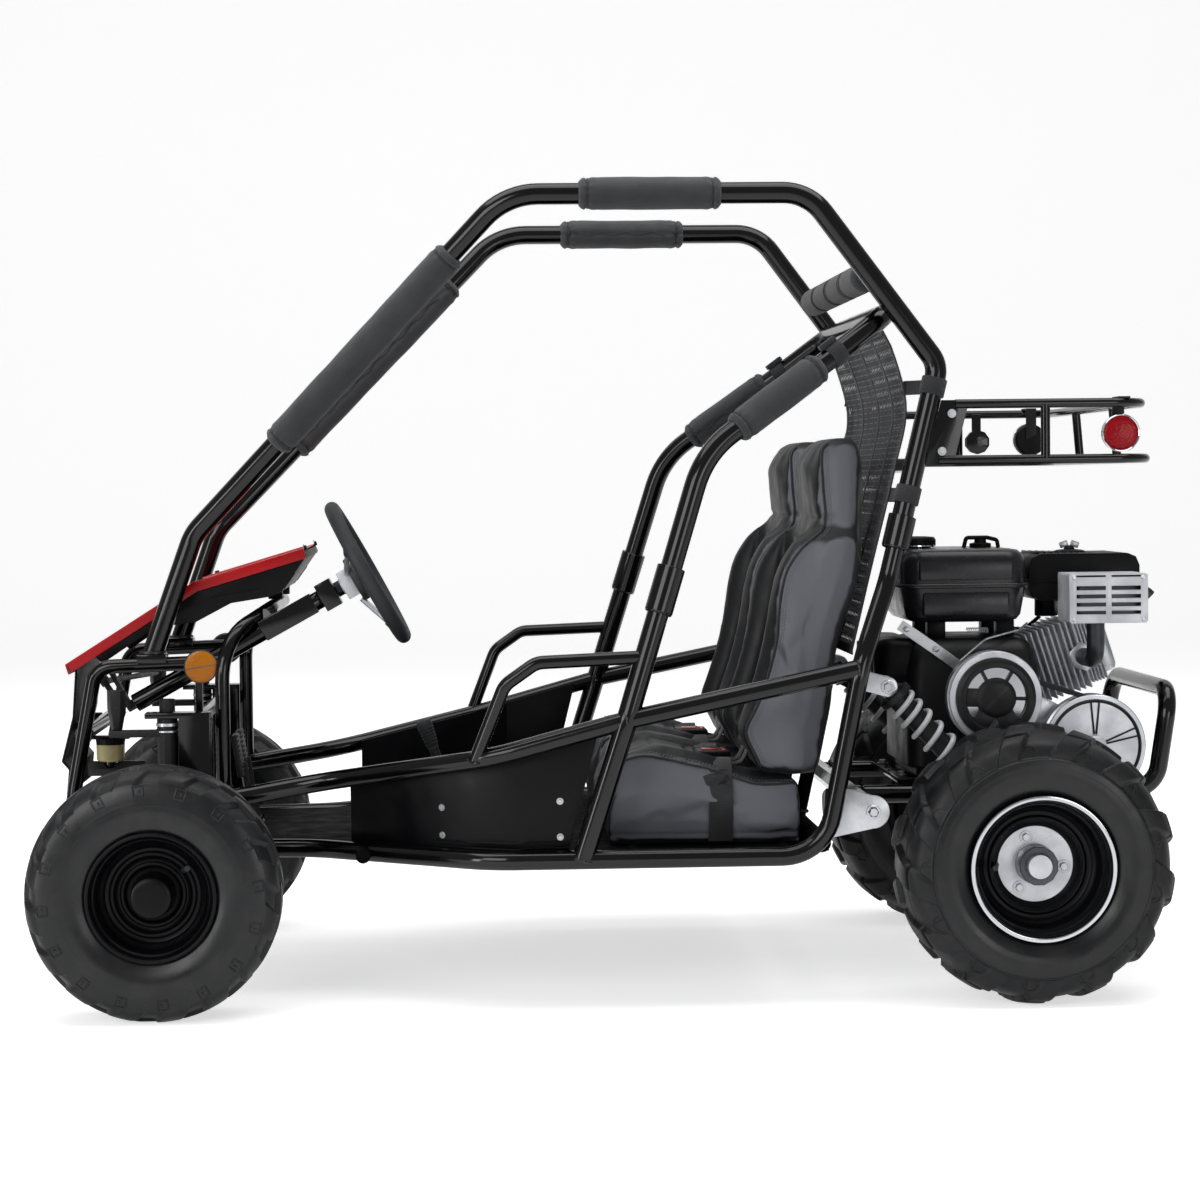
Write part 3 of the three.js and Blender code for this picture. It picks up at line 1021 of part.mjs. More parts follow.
// Rear axle: shaft, hub tubes and hub plates, the chain sprocket and the brake disc
const axle = {
  shaft: 15, hubTube: 28, hubFrom: 400, hubTo: 478, end: 19, endTo: 489, plate: 57, plateHalf: 3,
  teeth: 28, sprocket: 84, tooth: 5, sprocketY: -172, sprocketHalf: 2.5, disc: 80, discY: 150, discHalf: 2,
};
const gear = (teeth, radius, tooth) =>
  Array.from({ length: teeth * 2 }, (_, i) => {
    const angle = (i * Math.PI) / teeth;
    const reach = radius - (i % 2 ? tooth : 0);
    return [reach * Math.cos(angle), reach * Math.sin(angle)];
  });
function rearAxle() {
  const start = v(wheelbase, 0, rearAxleZ);
  const shape = gear(axle.teeth, axle.sprocket, axle.tooth).map(([x, z]) => [wheelbase + x, rearAxleZ + z]);
  const parts = [
    tube([v(wheelbase, -axle.hubTo, rearAxleZ), v(wheelbase, axle.hubTo, rearAxleZ)], axle.shaft, 0,
      fineSides),
    plate(shape, axle.sprocketY - axle.sprocketHalf, axle.sprocketY + axle.sprocketHalf),
    turned(start, v(0, 1, 0), [[axle.discY - axle.discHalf, axle.disc],
      [axle.discY + axle.discHalf, axle.disc]]),
  ];
  const web = trackHalf - rearWheel.width / 2 + rearWheel.webOffset + rimSteps.web + fit;
  for (const [, side] of sides) {
    parts.push(turned(start, v(0, side, 0), [
      [axle.hubFrom, axle.hubTube], [web, axle.hubTube], [web, axle.plate],
        [web + 2 * axle.plateHalf, axle.plate],
      [web + 2 * axle.plateHalf, axle.hubTube], [axle.hubTo, axle.hubTube], [axle.hubTo, axle.end],
        [axle.endTo, axle.end],
    ]));
  }
  return join(parts);
}
node(kart, 'rear_axle', rearAxle(), 'zinc');

// Shocks: the upper eye, cap and damper tube; the lower eye, rod and seat; and the coil spring between the
// seats
const damper = {
  cap: 27, capFrom: 16, capTo: 26, tube: 17, tubeTo: 150, rod: 6, rodFrom: 112, seatFrom: 212, seatTo: 221,
    seat: 27, eye: 13,
  bore: 6.3, lowBore: 9, rodBore: 6.4,
};
const coil = { radius: 21.5, wire: 3.4, sides: 5, stepsPerTurn: 8, turns: 8 };
const shockTop = (side) => v(shock.topX, side * shock.y, shock.topZ);
const shockLow = (side) => v(shock.lowX, side * shock.y, shock.lowZ);
function shockEye(centre, bore) {
  const ends = [v(centre.x, centre.y - shock.eyeHalf, centre.z),
    v(centre.x, centre.y + shock.eyeHalf, centre.z)];
  const past = [v(centre.x, centre.y - shock.eyeHalf - overrun, centre.z),
    v(centre.x, centre.y + shock.eyeHalf + overrun, centre.z)];
  return { eye: tube(ends, damper.eye, 0, 12), hole: tube(past, bored(bore)) };
}
function shockBody(side) {
  const way = heading(shockTop(side), shockLow(side));
  const { eye, hole } = shockEye(shockTop(side), damper.bore);
  const body = turned(shockTop(side), way, [
    [0, damper.tube / 2], [damper.capFrom, damper.tube / 2], [damper.capFrom, damper.cap],
      [damper.capTo, damper.cap],
    [damper.capTo, damper.tube], [damper.tubeTo, damper.tube],
  ]);
  const rodHole = turned(shockTop(side), way, [[damper.rodFrom - overrun, bored(damper.rodBore)],
    [damper.tubeTo + overrun, bored(damper.rodBore)]], tubeSides);
  return cut(join(eye, body), hole, rodHole);
}
function shockRod(side) {
  const way = heading(shockTop(side), shockLow(side));
  const length = shockTop(side).distanceTo(shockLow(side));
  const { eye, hole } = shockEye(shockLow(side), damper.lowBore);
  const rod = turned(shockTop(side), way, [
    [damper.rodFrom + 2 * sleeve.inside / 2, damper.rod], [damper.seatFrom, damper.rod],
      [damper.seatFrom, damper.seat], [damper.seatTo, damper.seat],
    [damper.seatTo, damper.eye], [length, damper.eye],
  ]);
  return cut(join(eye, rod), hole);
}
// One unbroken coil between the seats; its least gap to itself is measured along its own centre line and
// printed
let leastCoilGap = Infinity;
function shockSpring(side) {
  const [top, low] = [shockTop(side), shockLow(side)];
  const way = heading(top, low);
  const [across, outward] = [v(0, 1, 0), way.clone().cross(v(0, 1, 0))];
  const from = damper.capTo + fit + coil.wire;
  const length = damper.seatFrom - fit - coil.wire - from;
  const steps = coil.turns * coil.stepsPerTurn;
  const centres = [];
  const rings = Array.from({ length: steps + 1 }, (_, i) => {
    const angle = (i * 2 * Math.PI) / coil.stepsPerTurn;
    const radial = across.clone().multiplyScalar(Math.cos(angle)).addScaledVector(outward, Math.sin(angle));
    const centre = top.clone().addScaledVector(way, from + (length * i) / steps).addScaledVector(radial,
      coil.radius);
    centres.push(centre);
    return Array.from({ length: coil.sides }, (_, k) => {
      const turn = (k * 2 * Math.PI) / coil.sides;
      return centre.clone().addScaledVector(radial, coil.wire * Math.cos(turn)).addScaledVector(way,
        coil.wire * Math.sin(turn));
    });
  });
  centres.forEach((a, i) => {
    for (let k = i + coil.stepsPerTurn / 2; k < centres.length; k++) {
      leastCoilGap = Math.min(leastCoilGap, a.distanceTo(centres[k]) - 2 * coil.wire);
    }
  });
  return loft(rings);
}
for (const [name, side] of sides) {
  node(kart, `shock_body_${name}`, shockBody(side), 'satinBlack');
  node(kart, `shock_rod_${name}`, shockRod(side), 'zinc');
  node(kart, `shock_spring_${name}`, shockSpring(side), 'whiteSpring');
}
console.log(`least gap of a spring to itself: ${leastCoilGap.toFixed(2)} mm`);

// Engine: crankcase, finned cylinder to the rear, head, recoil starter, fan shroud and the belt drive's
// backing plate
const engine = {
  crankX: 1264, crankZ: 436, fromX: 1150, toX: 1360, lowZ: 304.3, topZ: 520, fromY: -150, toY: 120,
    angle: 17.5,
  barrelFrom: 40, barrelTo: 222, barrelHalf: 46, barrelY: 62, finFrom: 66, finTo: 180, fins: 6, fin: 4,
    finHalf: 57, finY: 80,
  headFrom: 186, headTo: 236, headHalf: 52, headY: 72, recoil: 78, recoilTo: 150, foot: 14,
    shroudFrom: 1104, shroudLow: 450, shroudTop: 520,
  boss: 40, bossTo: -212, backFrom: -218, backTo: -212, backRadius: 34, crank: 11, crankBore: 12,
};
const drive = { x: 1264, z: 436, radius: 71.5, core: 36, from: -286, to: -234 };
const driven = { x: 1417, z: 360, radius: 79, core: 60, from: -286, to: -236, spokes: 5, shaft: 10, play: 1,
  shaftTo: -158, teeth: 12, sprocket: 27, tooth: 4 };
const groove = { from: -270, to: -250 };
function engineBlock() {
  const tilt = THREE.MathUtils.degToRad(engine.angle);
  const slab = (from, to, half, y) => {
    const corner = (d, h) => [
      engine.crankX + d * Math.cos(tilt) - h * Math.sin(tilt),
        engine.crankZ + d * Math.sin(tilt) + h * Math.cos(tilt),
    ];
    return plate([corner(from, -half), corner(to, -half), corner(to, half), corner(from, half)], -y, y);
  };
  const parts = [
    block([engine.fromX, engine.fromY, engine.lowZ + engine.foot], [engine.toX, engine.toY, engine.topZ]),
    block([engine.fromX + engine.foot, engine.fromY + engine.foot, engine.lowZ],
      [engine.toX - engine.foot, engine.toY - engine.foot, engine.topZ]),
    slab(engine.barrelFrom, engine.barrelTo, engine.barrelHalf, engine.barrelY),
    slab(engine.headFrom, engine.headTo, engine.headHalf, engine.headY),
    disc(engine.recoil, engine.toY - overrun, engine.recoilTo).translate([engine.crankX, 0, engine.crankZ]),
    block([engine.shroudFrom, engine.fromY, engine.shroudLow],
      [engine.fromX + overrun, engine.toY, engine.shroudTop]),
    disc(engine.boss, engine.bossTo - overrun, engine.fromY + overrun).translate([engine.crankX, 0,
      engine.crankZ]),
  ];
  const finStep = (engine.finTo - engine.finFrom) / (engine.fins - 1);
  for (let i = 0; i < engine.fins; i++) {
    const from = engine.finFrom + i * finStep;
    parts.push(slab(from, from + engine.fin, engine.finHalf, engine.finY));
  }
  const back = (spot) => ({ x: spot.x, z: spot.z, radius: engine.backRadius });
  parts.push(plate(loopShape(back(drive), back(driven)), engine.backFrom, engine.backTo));
  const crankHole = disc(engine.crankBore, drive.from, engine.fromY - overrun).translate([drive.x, 0,
    drive.z]);
  const shaftHole = disc(driven.shaft + driven.play, engine.backFrom - overrun,
    engine.backTo + overrun).translate([driven.x, 0, driven.z]);
  return cut(join(parts), crankHole, shaftHole);
}

// Pulleys: two flanges with a belt groove between them, the drive one on the crank and the driven one on
// the jackshaft
function pulley({ x, z, radius, core, from, to }) {
  const rim = groove.to - groove.from;
  return turned(v(x, 0, z), v(0, -1, 0), [
    [-to, radius], [-groove.to, radius], [-groove.to, core], [-groove.to + rim, core],
      [-groove.from, radius], [-from, radius],
  ]);
}
function drivePulley() {
  const stub = disc(engine.crank, drive.to - overrun, engine.fromY - 2 * overrun).translate([drive.x, 0,
    drive.z]);
  return join(pulley(drive), stub);
}
function drivenPulley() {
  const shaft = disc(driven.shaft, driven.to - overrun, driven.shaftTo).translate([driven.x, 0, driven.z]);
  const shape = gear(driven.teeth, driven.sprocket, driven.tooth).map(([x, z]) => [driven.x + x,
    driven.z + z]);
  return join(pulley(driven), shaft, plate(shape, axle.sprocketY - axle.sprocketHalf,
    axle.sprocketY + axle.sprocketHalf));
}
const loopGap = { belt: 2, beltDepth: 9, beltEdge: 1, chain: 2.5, chainDepth: 8, chainHalf: 7 };
function loop(a, b, depth, fromY, toY) {
  const grown = ({ x, z, radius }) => ({ x, z, radius: radius + depth });
  return cut(plate(loopShape(grown(a), grown(b)), fromY, toY),
    plate(loopShape(a, b), fromY - overrun, toY + overrun));
}
function driveBelt() {
  const ring = ({ x, z, core }) => ({ x, z, radius: core + loopGap.belt });
  return loop(ring(drive), ring(driven), loopGap.beltDepth, groove.from + loopGap.beltEdge,
    groove.to - loopGap.beltEdge);
}
function driveChain() {
  const ring = (x, z, radius) => ({ x, z, radius: radius + loopGap.chain });
  const [big, small] = [ring(wheelbase, rearAxleZ, axle.sprocket),
    ring(driven.x, driven.z, driven.sprocket)];
  return loop(big, small, loopGap.chainDepth, axle.sprocketY - loopGap.chainHalf,
    axle.sprocketY + loopGap.chainHalf);
}
node(kart, 'engine_block', engineBlock(), 'castAlloy');
node(kart, 'drive_pulley', drivePulley(), 'satinBlack');
node(kart, 'driven_pulley', drivenPulley(), 'castAlloy');
node(kart, 'drive_belt', driveBelt(), 'rubber');
node(kart, 'chain', driveChain(), 'zinc');

// Fuel tank, air cleaner and muffler over the engine
const tank = { capTopShare: 0.94, fromX: 1145, toX: 1345, lowZ: 545, topZ: 660, half: 130, seamZ: 600, seam: 6, seamOut: 8,
  foot: 30, footY: 70, round: 28, capX: 1182, cap: 34, capHeight: 20, valveX: 1290, valve: 18 };
function roundedShape(fromX, toX, lowZ, topZ, round) {
  const corners = [[toX - round, lowZ + round], [toX - round, topZ - round], [fromX + round, topZ - round],
    [fromX + round, lowZ + round]];
  return corners.flatMap(([x, z], i) =>
    [0, 1, 2].map((k) => {
      const angle = ((i - 1 + k / 2) * Math.PI) / 2;
      return [x + round * Math.cos(angle), z + round * Math.sin(angle)];
    })
  );
}
function fuelTank() {
  const parts = [
    plate(roundedShape(tank.fromX, tank.toX, tank.lowZ, tank.topZ, tank.round), -tank.half, tank.half),
    block([tank.fromX - tank.seamOut, -tank.half - tank.seamOut, tank.seamZ],
      [tank.toX + tank.seamOut, tank.half + tank.seamOut, tank.seamZ + tank.seam]),
  ];
  for (const [, side] of sides) {
    for (const x of [tank.fromX + 2 * tank.foot, tank.toX - tank.foot]) {
      parts.push(block([x - tank.foot / 2, side * tank.footY - tank.foot / 2, engine.topZ + fit],
        [x + tank.foot / 2, side * tank.footY + tank.foot / 2, tank.lowZ + overrun]));
    }
  }
  for (const [x, radius] of [[tank.capX, tank.cap], [tank.valveX, tank.valve]]) {
    parts.push(turned(v(x, 0, tank.topZ - overrun), v(0, 0, 1),
      [[0, radius], [tank.capHeight, radius * tank.capTopShare]]));
  }
  return join(parts);
}
const cleaner = { fromX: 1357, toX: 1537, lowZ: 575, topZ: 650, fromY: -60, toY: 110, round: 20,
  neckX: 1405, neckY: 40, neck: 20 };
function airCleaner() {
  const box = plate(roundedShape(cleaner.fromX, cleaner.toX, cleaner.lowZ, cleaner.topZ, cleaner.round),
    cleaner.fromY, cleaner.toY);
  const reach = (cleaner.neckX - engine.crankX) * Math.tan(THREE.MathUtils.degToRad(engine.angle));
  const seatZ = engine.crankZ + reach + engine.finHalf / Math.cos(THREE.MathUtils.degToRad(engine.angle));
  const neckTop = seatZ + flat(cleaner.neck) * Math.tan(THREE.MathUtils.degToRad(engine.angle)) + fit;
  return join(box, tube([v(cleaner.neckX, cleaner.neckY, neckTop),
    v(cleaner.neckX, cleaner.neckY, cleaner.lowZ + overrun)], cleaner.neck));
}
const muffler = { fromX: 1388, toX: 1508, lowZ: 547, topZ: 622, fromY: -235, toY: -115, round: 24,
  pipe: 14, portX: 1440, portY: -80, portZ: 486 };
function mufflerBody() {
  const box = plate(roundedShape(muffler.fromX, muffler.toX, muffler.lowZ, muffler.topZ, muffler.round),
    muffler.fromY, muffler.toY);
  const start = v(muffler.portX, muffler.portY - fit, muffler.portZ);
  const elbow = v(muffler.portX, (muffler.fromY + muffler.toY) / 2, muffler.portZ);
  const pipe = tube([start, elbow, v(muffler.portX, elbow.y, muffler.lowZ + overrun)], muffler.pipe,
    2 * muffler.pipe);
  return join(box, pipe);
}
node(kart, 'fuel_tank', fuelTank(), 'satinBlack');
node(kart, 'air_cleaner', airCleaner(), 'satinBlack');
node(kart, 'muffler', mufflerBody(), 'satinBlack');

// The origin moves to the middle of the part's length
const whole = new THREE.Box3().setFromObject(kart, true);
kart.position.x = -(whole.min.x + whole.max.x) / 2;

export default kart;
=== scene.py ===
import math
import random

import bmesh
import bpy
from mathutils import Matrix, Vector, noise
from mathutils.bvhtree import BVHTree


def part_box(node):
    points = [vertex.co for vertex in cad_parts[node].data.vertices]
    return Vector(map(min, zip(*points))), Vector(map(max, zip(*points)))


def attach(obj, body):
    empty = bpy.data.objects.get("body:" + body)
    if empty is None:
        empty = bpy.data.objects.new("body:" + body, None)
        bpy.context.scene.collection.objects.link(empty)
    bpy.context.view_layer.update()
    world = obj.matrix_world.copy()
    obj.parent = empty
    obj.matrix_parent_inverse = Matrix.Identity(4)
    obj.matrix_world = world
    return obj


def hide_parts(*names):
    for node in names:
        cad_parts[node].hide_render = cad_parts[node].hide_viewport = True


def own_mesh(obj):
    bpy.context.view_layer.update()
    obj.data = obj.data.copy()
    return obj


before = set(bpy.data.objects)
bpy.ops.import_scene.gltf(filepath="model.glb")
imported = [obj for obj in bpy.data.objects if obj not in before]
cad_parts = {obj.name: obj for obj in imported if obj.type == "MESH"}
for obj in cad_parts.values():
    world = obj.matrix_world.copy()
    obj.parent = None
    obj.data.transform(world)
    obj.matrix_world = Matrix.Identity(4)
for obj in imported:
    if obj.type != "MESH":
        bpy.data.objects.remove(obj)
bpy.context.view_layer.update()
tyreLow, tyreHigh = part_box("front_tyre_left")
axleX = (tyreLow[0] + tyreHigh[0]) / 2
sides = (("left", -1), ("right", 1))
wheelbase, halfWidth, cageHeight = 1290, 475, 1198


def place(x, y, z):
    return Vector((axleX + x / 1000, y / 1000, z / 1000))


def shared(spot, side=1):
    x, y, z = spot
    return place(x * wheelbase, side * y * halfWidth, z * cageHeight)


yWay = Vector((0, 1, 0))


# Angles that share out a full turn
def angles(count):
    return [2 * math.pi * k / count for k in range(count)]


def onCircle(first, second, turn):
    return first * math.cos(turn) + second * math.sin(turn)


def turnOf(a, b, c):
    return Matrix((a, b, c)).transposed().to_4x4()


# A way out from the Y axis at an angle, and the turn that lays a block along it
def spokeAt(turn):
    way = Vector((math.cos(turn), 0, math.sin(turn)))
    return way, turnOf(way, yWay, Vector((-way.z, 0, way.x)))


def placed(*spots):
    return [place(*spot) for spot in spots]


# A line up one side of the kart and back down the other
def bothSides(half):
    return [place(x, -y, z) for x, y, z in half] + [place(x, y, z) for x, y, z in reversed(half)]


def linked(name, data):
    made = bpy.data.objects.new(name, data)
    bpy.context.scene.collection.objects.link(made)
    return made


def evaluated(made):
    return bpy.data.meshes.new_from_object(made.evaluated_get(bpy.context.evaluated_depsgraph_get()))


def treeOf(mesh):
    return BVHTree.FromPolygons([v.co for v in mesh.vertices], [p.vertices[:] for p in mesh.polygons])


def facedOut(mesh):
    fixed = bmesh.new()
    fixed.from_mesh(mesh)
    bmesh.ops.recalc_face_normals(fixed, faces=fixed.faces)
    fixed.to_mesh(mesh)
    fixed.free()


# Shader helpers
def addNode(tree, kind, inputs=None, **settings):
    made = tree.nodes.new(kind)
    for name, value in settings.items():
        setattr(made, name, value)
    for name, value in (inputs or {}).items():
        socket = made.inputs[name]
        if isinstance(value, bpy.types.NodeSocket):
            tree.links.new(value, socket)
        else:
            socket.default_value = value
    return made


def colour(text):
    parts = [int(text[i : i + 2], 16) / 255 for i in (0, 2, 4)]
    return tuple(c / 12.92 if c <= 0.04045 else ((c + 0.055) / 1.055) ** 2.4 for c in parts) + (1.0,)


def mathNode(tree, operation, a, b=0.0):
    return addNode(tree, "ShaderNodeMath", {0: a, 1: b}, operation=operation).outputs[0]


def mixed(tree, factor, a, b):
    node = addNode(tree, "ShaderNodeMix", data_type="RGBA")
    for index, value in ((0, factor), (6, a), (7, b)):
        if isinstance(value, bpy.types.NodeSocket):
            tree.links.new(value, node.inputs[index])
        else:
            node.inputs[index].default_value = value
    return node.outputs[2]


def noiseOf(tree, spot, scale, detail=3.0, stretch=None):
    if stretch:
        spot = addNode(tree, "ShaderNodeMapping", {"Vector": spot, "Scale": stretch}).outputs[0]
    return addNode(tree, "ShaderNodeTexNoise", {"Vector": spot, "Scale": scale, "Detail": detail}).outputs["Fac"]


def spread(tree, value, low, high, start=0.35, end=0.65):
    inputs = {"Value": value, "From Min": start, "From Max": end, "To Min": low, "To Max": high}
    return addNode(tree, "ShaderNodeMapRange", inputs).outputs[0]


# Threads that cross: ridges along each pair of axes, one over the other
def weaveOf(tree, spot, pitch):
    axes = addNode(tree, "ShaderNodeSeparateXYZ", {"Vector": spot}).outputs
    waves = [mathNode(tree, "SINE", mathNode(tree, "MULTIPLY", axes[i], 2 * math.pi / pitch)) for i in range(3)]
    first = mathNode(tree, "MULTIPLY", waves[0], waves[2])
    return mathNode(tree, "ADD", first, mathNode(tree, "MULTIPLY", waves[1], waves[2]))


# One real finish: base colour with blotches, uneven roughness, fine relief and worn edges
def surface(name, look):
    made = bpy.data.materials.new(name)
    made.use_nodes = True
    tree = made.node_tree
    shader = tree.nodes["Principled BSDF"]
    spot = addNode(tree, "ShaderNodeTexCoord").outputs["Object"]
    blotch = noiseOf(tree, spot, look.get("blotchScale", 9.0), 4.0, look.get("stretch"))
    tint = mixed(tree, spread(tree, blotch, 0.0, 1.0), colour(look["base"]), colour(look["second"]))
    if "marked" in look:
        mark = addNode(tree, "ShaderNodeAttribute", attribute_name="mark").outputs["Fac"]
        tint = mixed(tree, mark, tint, colour(look["marked"]))
    if "wear" in look:
        edges = addNode(tree, "ShaderNodeNewGeometry").outputs["Pointiness"]
        worn = spread(tree, edges, 0.0, look.get("wearAmount", 0.5), 0.53, 0.62)
        tint = mixed(tree, mathNode(tree, "MULTIPLY", worn, blotch), tint, colour(look["wear"]))
    if "dust" in look:
        dust = spread(tree, noiseOf(tree, spot, 34.0, 6.0), 0.0, look["dust"], 0.45, 0.75)
        tint = mixed(tree, dust, tint, colour("8b867c"))
    tree.links.new(tint, shader.inputs["Base Color"])
    low, high = look["rough"]
    smear = noiseOf(tree, spot, look.get("roughScale", 26.0), 5.0, look.get("stretch"))
    tree.links.new(spread(tree, smear, low, high), shader.inputs["Roughness"])
    shader.inputs["Metallic"].default_value = look.get("metal", 0.0)
    if "shine" in look:
        shader.inputs["Specular IOR Level"].default_value = look["shine"]
    for socket, value in look.get("sockets", {}).items():
        shader.inputs[socket].default_value = value
    normal = None
    for kind, size, depth in look.get("relief", ()):
        if kind == "weave":
            height = weaveOf(tree, spot, size / 1000)
        elif kind == "grain":
            cells = {"Vector": spot, "Scale": 1000 / size, "Randomness": 1.0}
            height = addNode(tree, "ShaderNodeTexVoronoi", cells, feature="SMOOTH_F1").outputs["Distance"]
        elif kind == "brush":
            height = noiseOf(tree, spot, 1000 / size, 2.0, look.get("stretch"))
        else:
            height = noiseOf(tree, spot, 1000 / size, 3.0)
        inputs = {"Height": height, "Distance": depth / 1000, "Strength": 1.0}
        if normal:
            inputs["Normal"] = normal
        normal = addNode(tree, "ShaderNodeBump", inputs).outputs[0]
    if normal:
        tree.links.new(normal, shader.inputs["Normal"])
    return made


looks = {
    # stoved gloss paint on steel tube, with a little orange peel
    "gloss black stoved paint": dict(
        base="030304", second="060608", rough=(0.1, 0.18), relief=(("noise", 5.0, 0.03),),
        sockets={"Specular IOR Level": 0.36, "Coat Weight": 0.2, "Coat Roughness": 0.05},
    ),
    # powder coat on brackets, swing frame and rack: finer grain, more matt
    "satin black powder coat": dict(
        base="0d0d0f", second="121215", shine=0.3, rough=(0.36, 0.52), relief=(("noise", 0.9, 0.03),),
        wear="55565a", wearAmount=0.35,
    ),
    # painted floor sheet, scuffed and dull
    "dull floor paint": dict(
        base="050506", second="09090b", rough=(0.6, 0.8), relief=(("noise", 3.0, 0.05),), shine=0.04,
    ),
    # weld metal under paint
    "painted weld bead": dict(base="0a0a0c", second="17171a", rough=(0.2, 0.4), relief=(("noise", 1.6, 0.25),)),
    # woven polyester cover over foam tube
    "charcoal woven pad cover": dict(
        base="232427", second="2c2d30", rough=(0.74, 0.92), relief=(("weave", 1.3, 0.12), ("noise", 7.0, 0.3)),
        sockets={"Sheen Weight": 0.25, "Sheen Roughness": 0.6},
    ),
    # coated seat vinyl with a pressed leather grain; the side panels are the paler shade
    "seat vinyl": dict(
        base="111215", second="16171a", marked="65666d", rough=(0.4, 0.54),
        relief=(("grain", 1.5, 0.1), ("noise", 22.0, 0.5)),
        sockets={"Sheen Weight": 0.04, "Specular IOR Level": 0.3},
    ),
    "seat thread": dict(base="54565c", second="6a6c72", rough=(0.6, 0.8), relief=(("noise", 0.8, 0.1),)),
    # bare twisted cord of the back net, paler than its hems; the paler colour is a painted sheen of the lit threads
    "net cord with painted sheen": dict(base="2a2b2f", second="404147", rough=(0.45, 0.65), relief=(("noise", 0.9, 0.2),),
                     sockets={"Sheen Weight": 0.2}),
    # polyester webbing and hem tape
    "black webbing": dict(
        base="121215", second="1c1d21", rough=(0.62, 0.82), relief=(("weave", 1.8, 0.2),),
        sockets={"Sheen Weight": 0.2},
    ),
    # pressed black sheet for panels and wheel rims
    "black enamel sheet": dict(
        base="060608", second="0b0b0e", rough=(0.28, 0.4), relief=(("noise", 9.0, 0.05),), shine=0.16,
    ),
    # moulded plastic of the cowl, tank and air cleaner
    "black moulded plastic": dict(
        base="0a0a0c", second="0f0f12", rough=(0.36, 0.5), relief=(("grain", 1.2, 0.03),), shine=0.14,
    ),
    "red moulded plastic": dict(
        base="b80410", second="a4030d", rough=(0.24, 0.38), relief=(("noise", 8.0, 0.04),), shine=0.3,
    ),
    # smoother rubber of the sidewall, pressed by the polished mould
    "moulded sidewall rubber": dict(
        base="0c0d0f", second="121316", rough=(0.26, 0.36), dust=0.03, relief=(("noise", 2.0, 0.06),),
        shine=0.42,
    ),
    # tread rubber, with a dry bloom of dust
    "tyre rubber": dict(
        base="101113", second="16171a", rough=(0.4, 0.58), dust=0.04,
        relief=(("noise", 1.1, 0.08), ("noise", 6.0, 0.15)),
        shine=0.35,
    ),
    "soft black rubber": dict(
        base="26272b", second="2e2f33", rough=(0.5, 0.68), relief=(("grain", 1.0, 0.06),), shine=0.45,
    ),
    # zinc plated steel of the shafts, rods, hub plates and fasteners
    "zinc plated steel": dict(
        base="d2d4d8", second="babcc1", rough=(0.26, 0.44), metal=0.85, relief=(("noise", 2.0, 0.03),),
        blotchScale=30.0,
    ),
    "cast aluminium": dict(
        base="dadce0", second="bec0c6", rough=(0.36, 0.55), metal=0.4, relief=(("noise", 1.4, 0.12),),
        blotchScale=20.0,
    ),
    "chrome plate": dict(base="d9dade", second="c6c8cc", rough=(0.06, 0.14), metal=1.0,
                         relief=(("noise", 12.0, 0.02),)),
    "white spring enamel": dict(base="d9dade", second="c9cace", rough=(0.2, 0.34), relief=(("noise", 6.0, 0.04),)),
    "amber lens": dict(
        base="a86208", second="bd720f", rough=(0.16, 0.26), relief=(("grain", 3.2, 0.35),), shine=0.3,
    ),
    "red lens": dict(
        base="8c000e", second="a00413", rough=(0.16, 0.26), relief=(("grain", 3.2, 0.35),), shine=0.2,
    ),
    # stoved enamel of the fuel tank, a shade paler than the frame
    "tank enamel": dict(
        base="1c1c20", second="242428", rough=(0.2, 0.32), relief=(("noise", 9.0, 0.04),), shine=0.4,
    ),
    "clouded reservoir plastic": dict(
        base="cac29c", second="b8ac7c", rough=(0.25, 0.4), relief=(("noise", 4.0, 0.05),),
        sockets={"Subsurface Weight": 0.15},
    ),
    "dark exhaust steel": dict(
        base="34353a", second="4a4b50", rough=(0.35, 0.55), metal=0.8, relief=(("noise", 1.5, 0.08),), wear="8a8b90",
    ),
}
materials = {name: surface(name, look) for name, look in looks.items()}


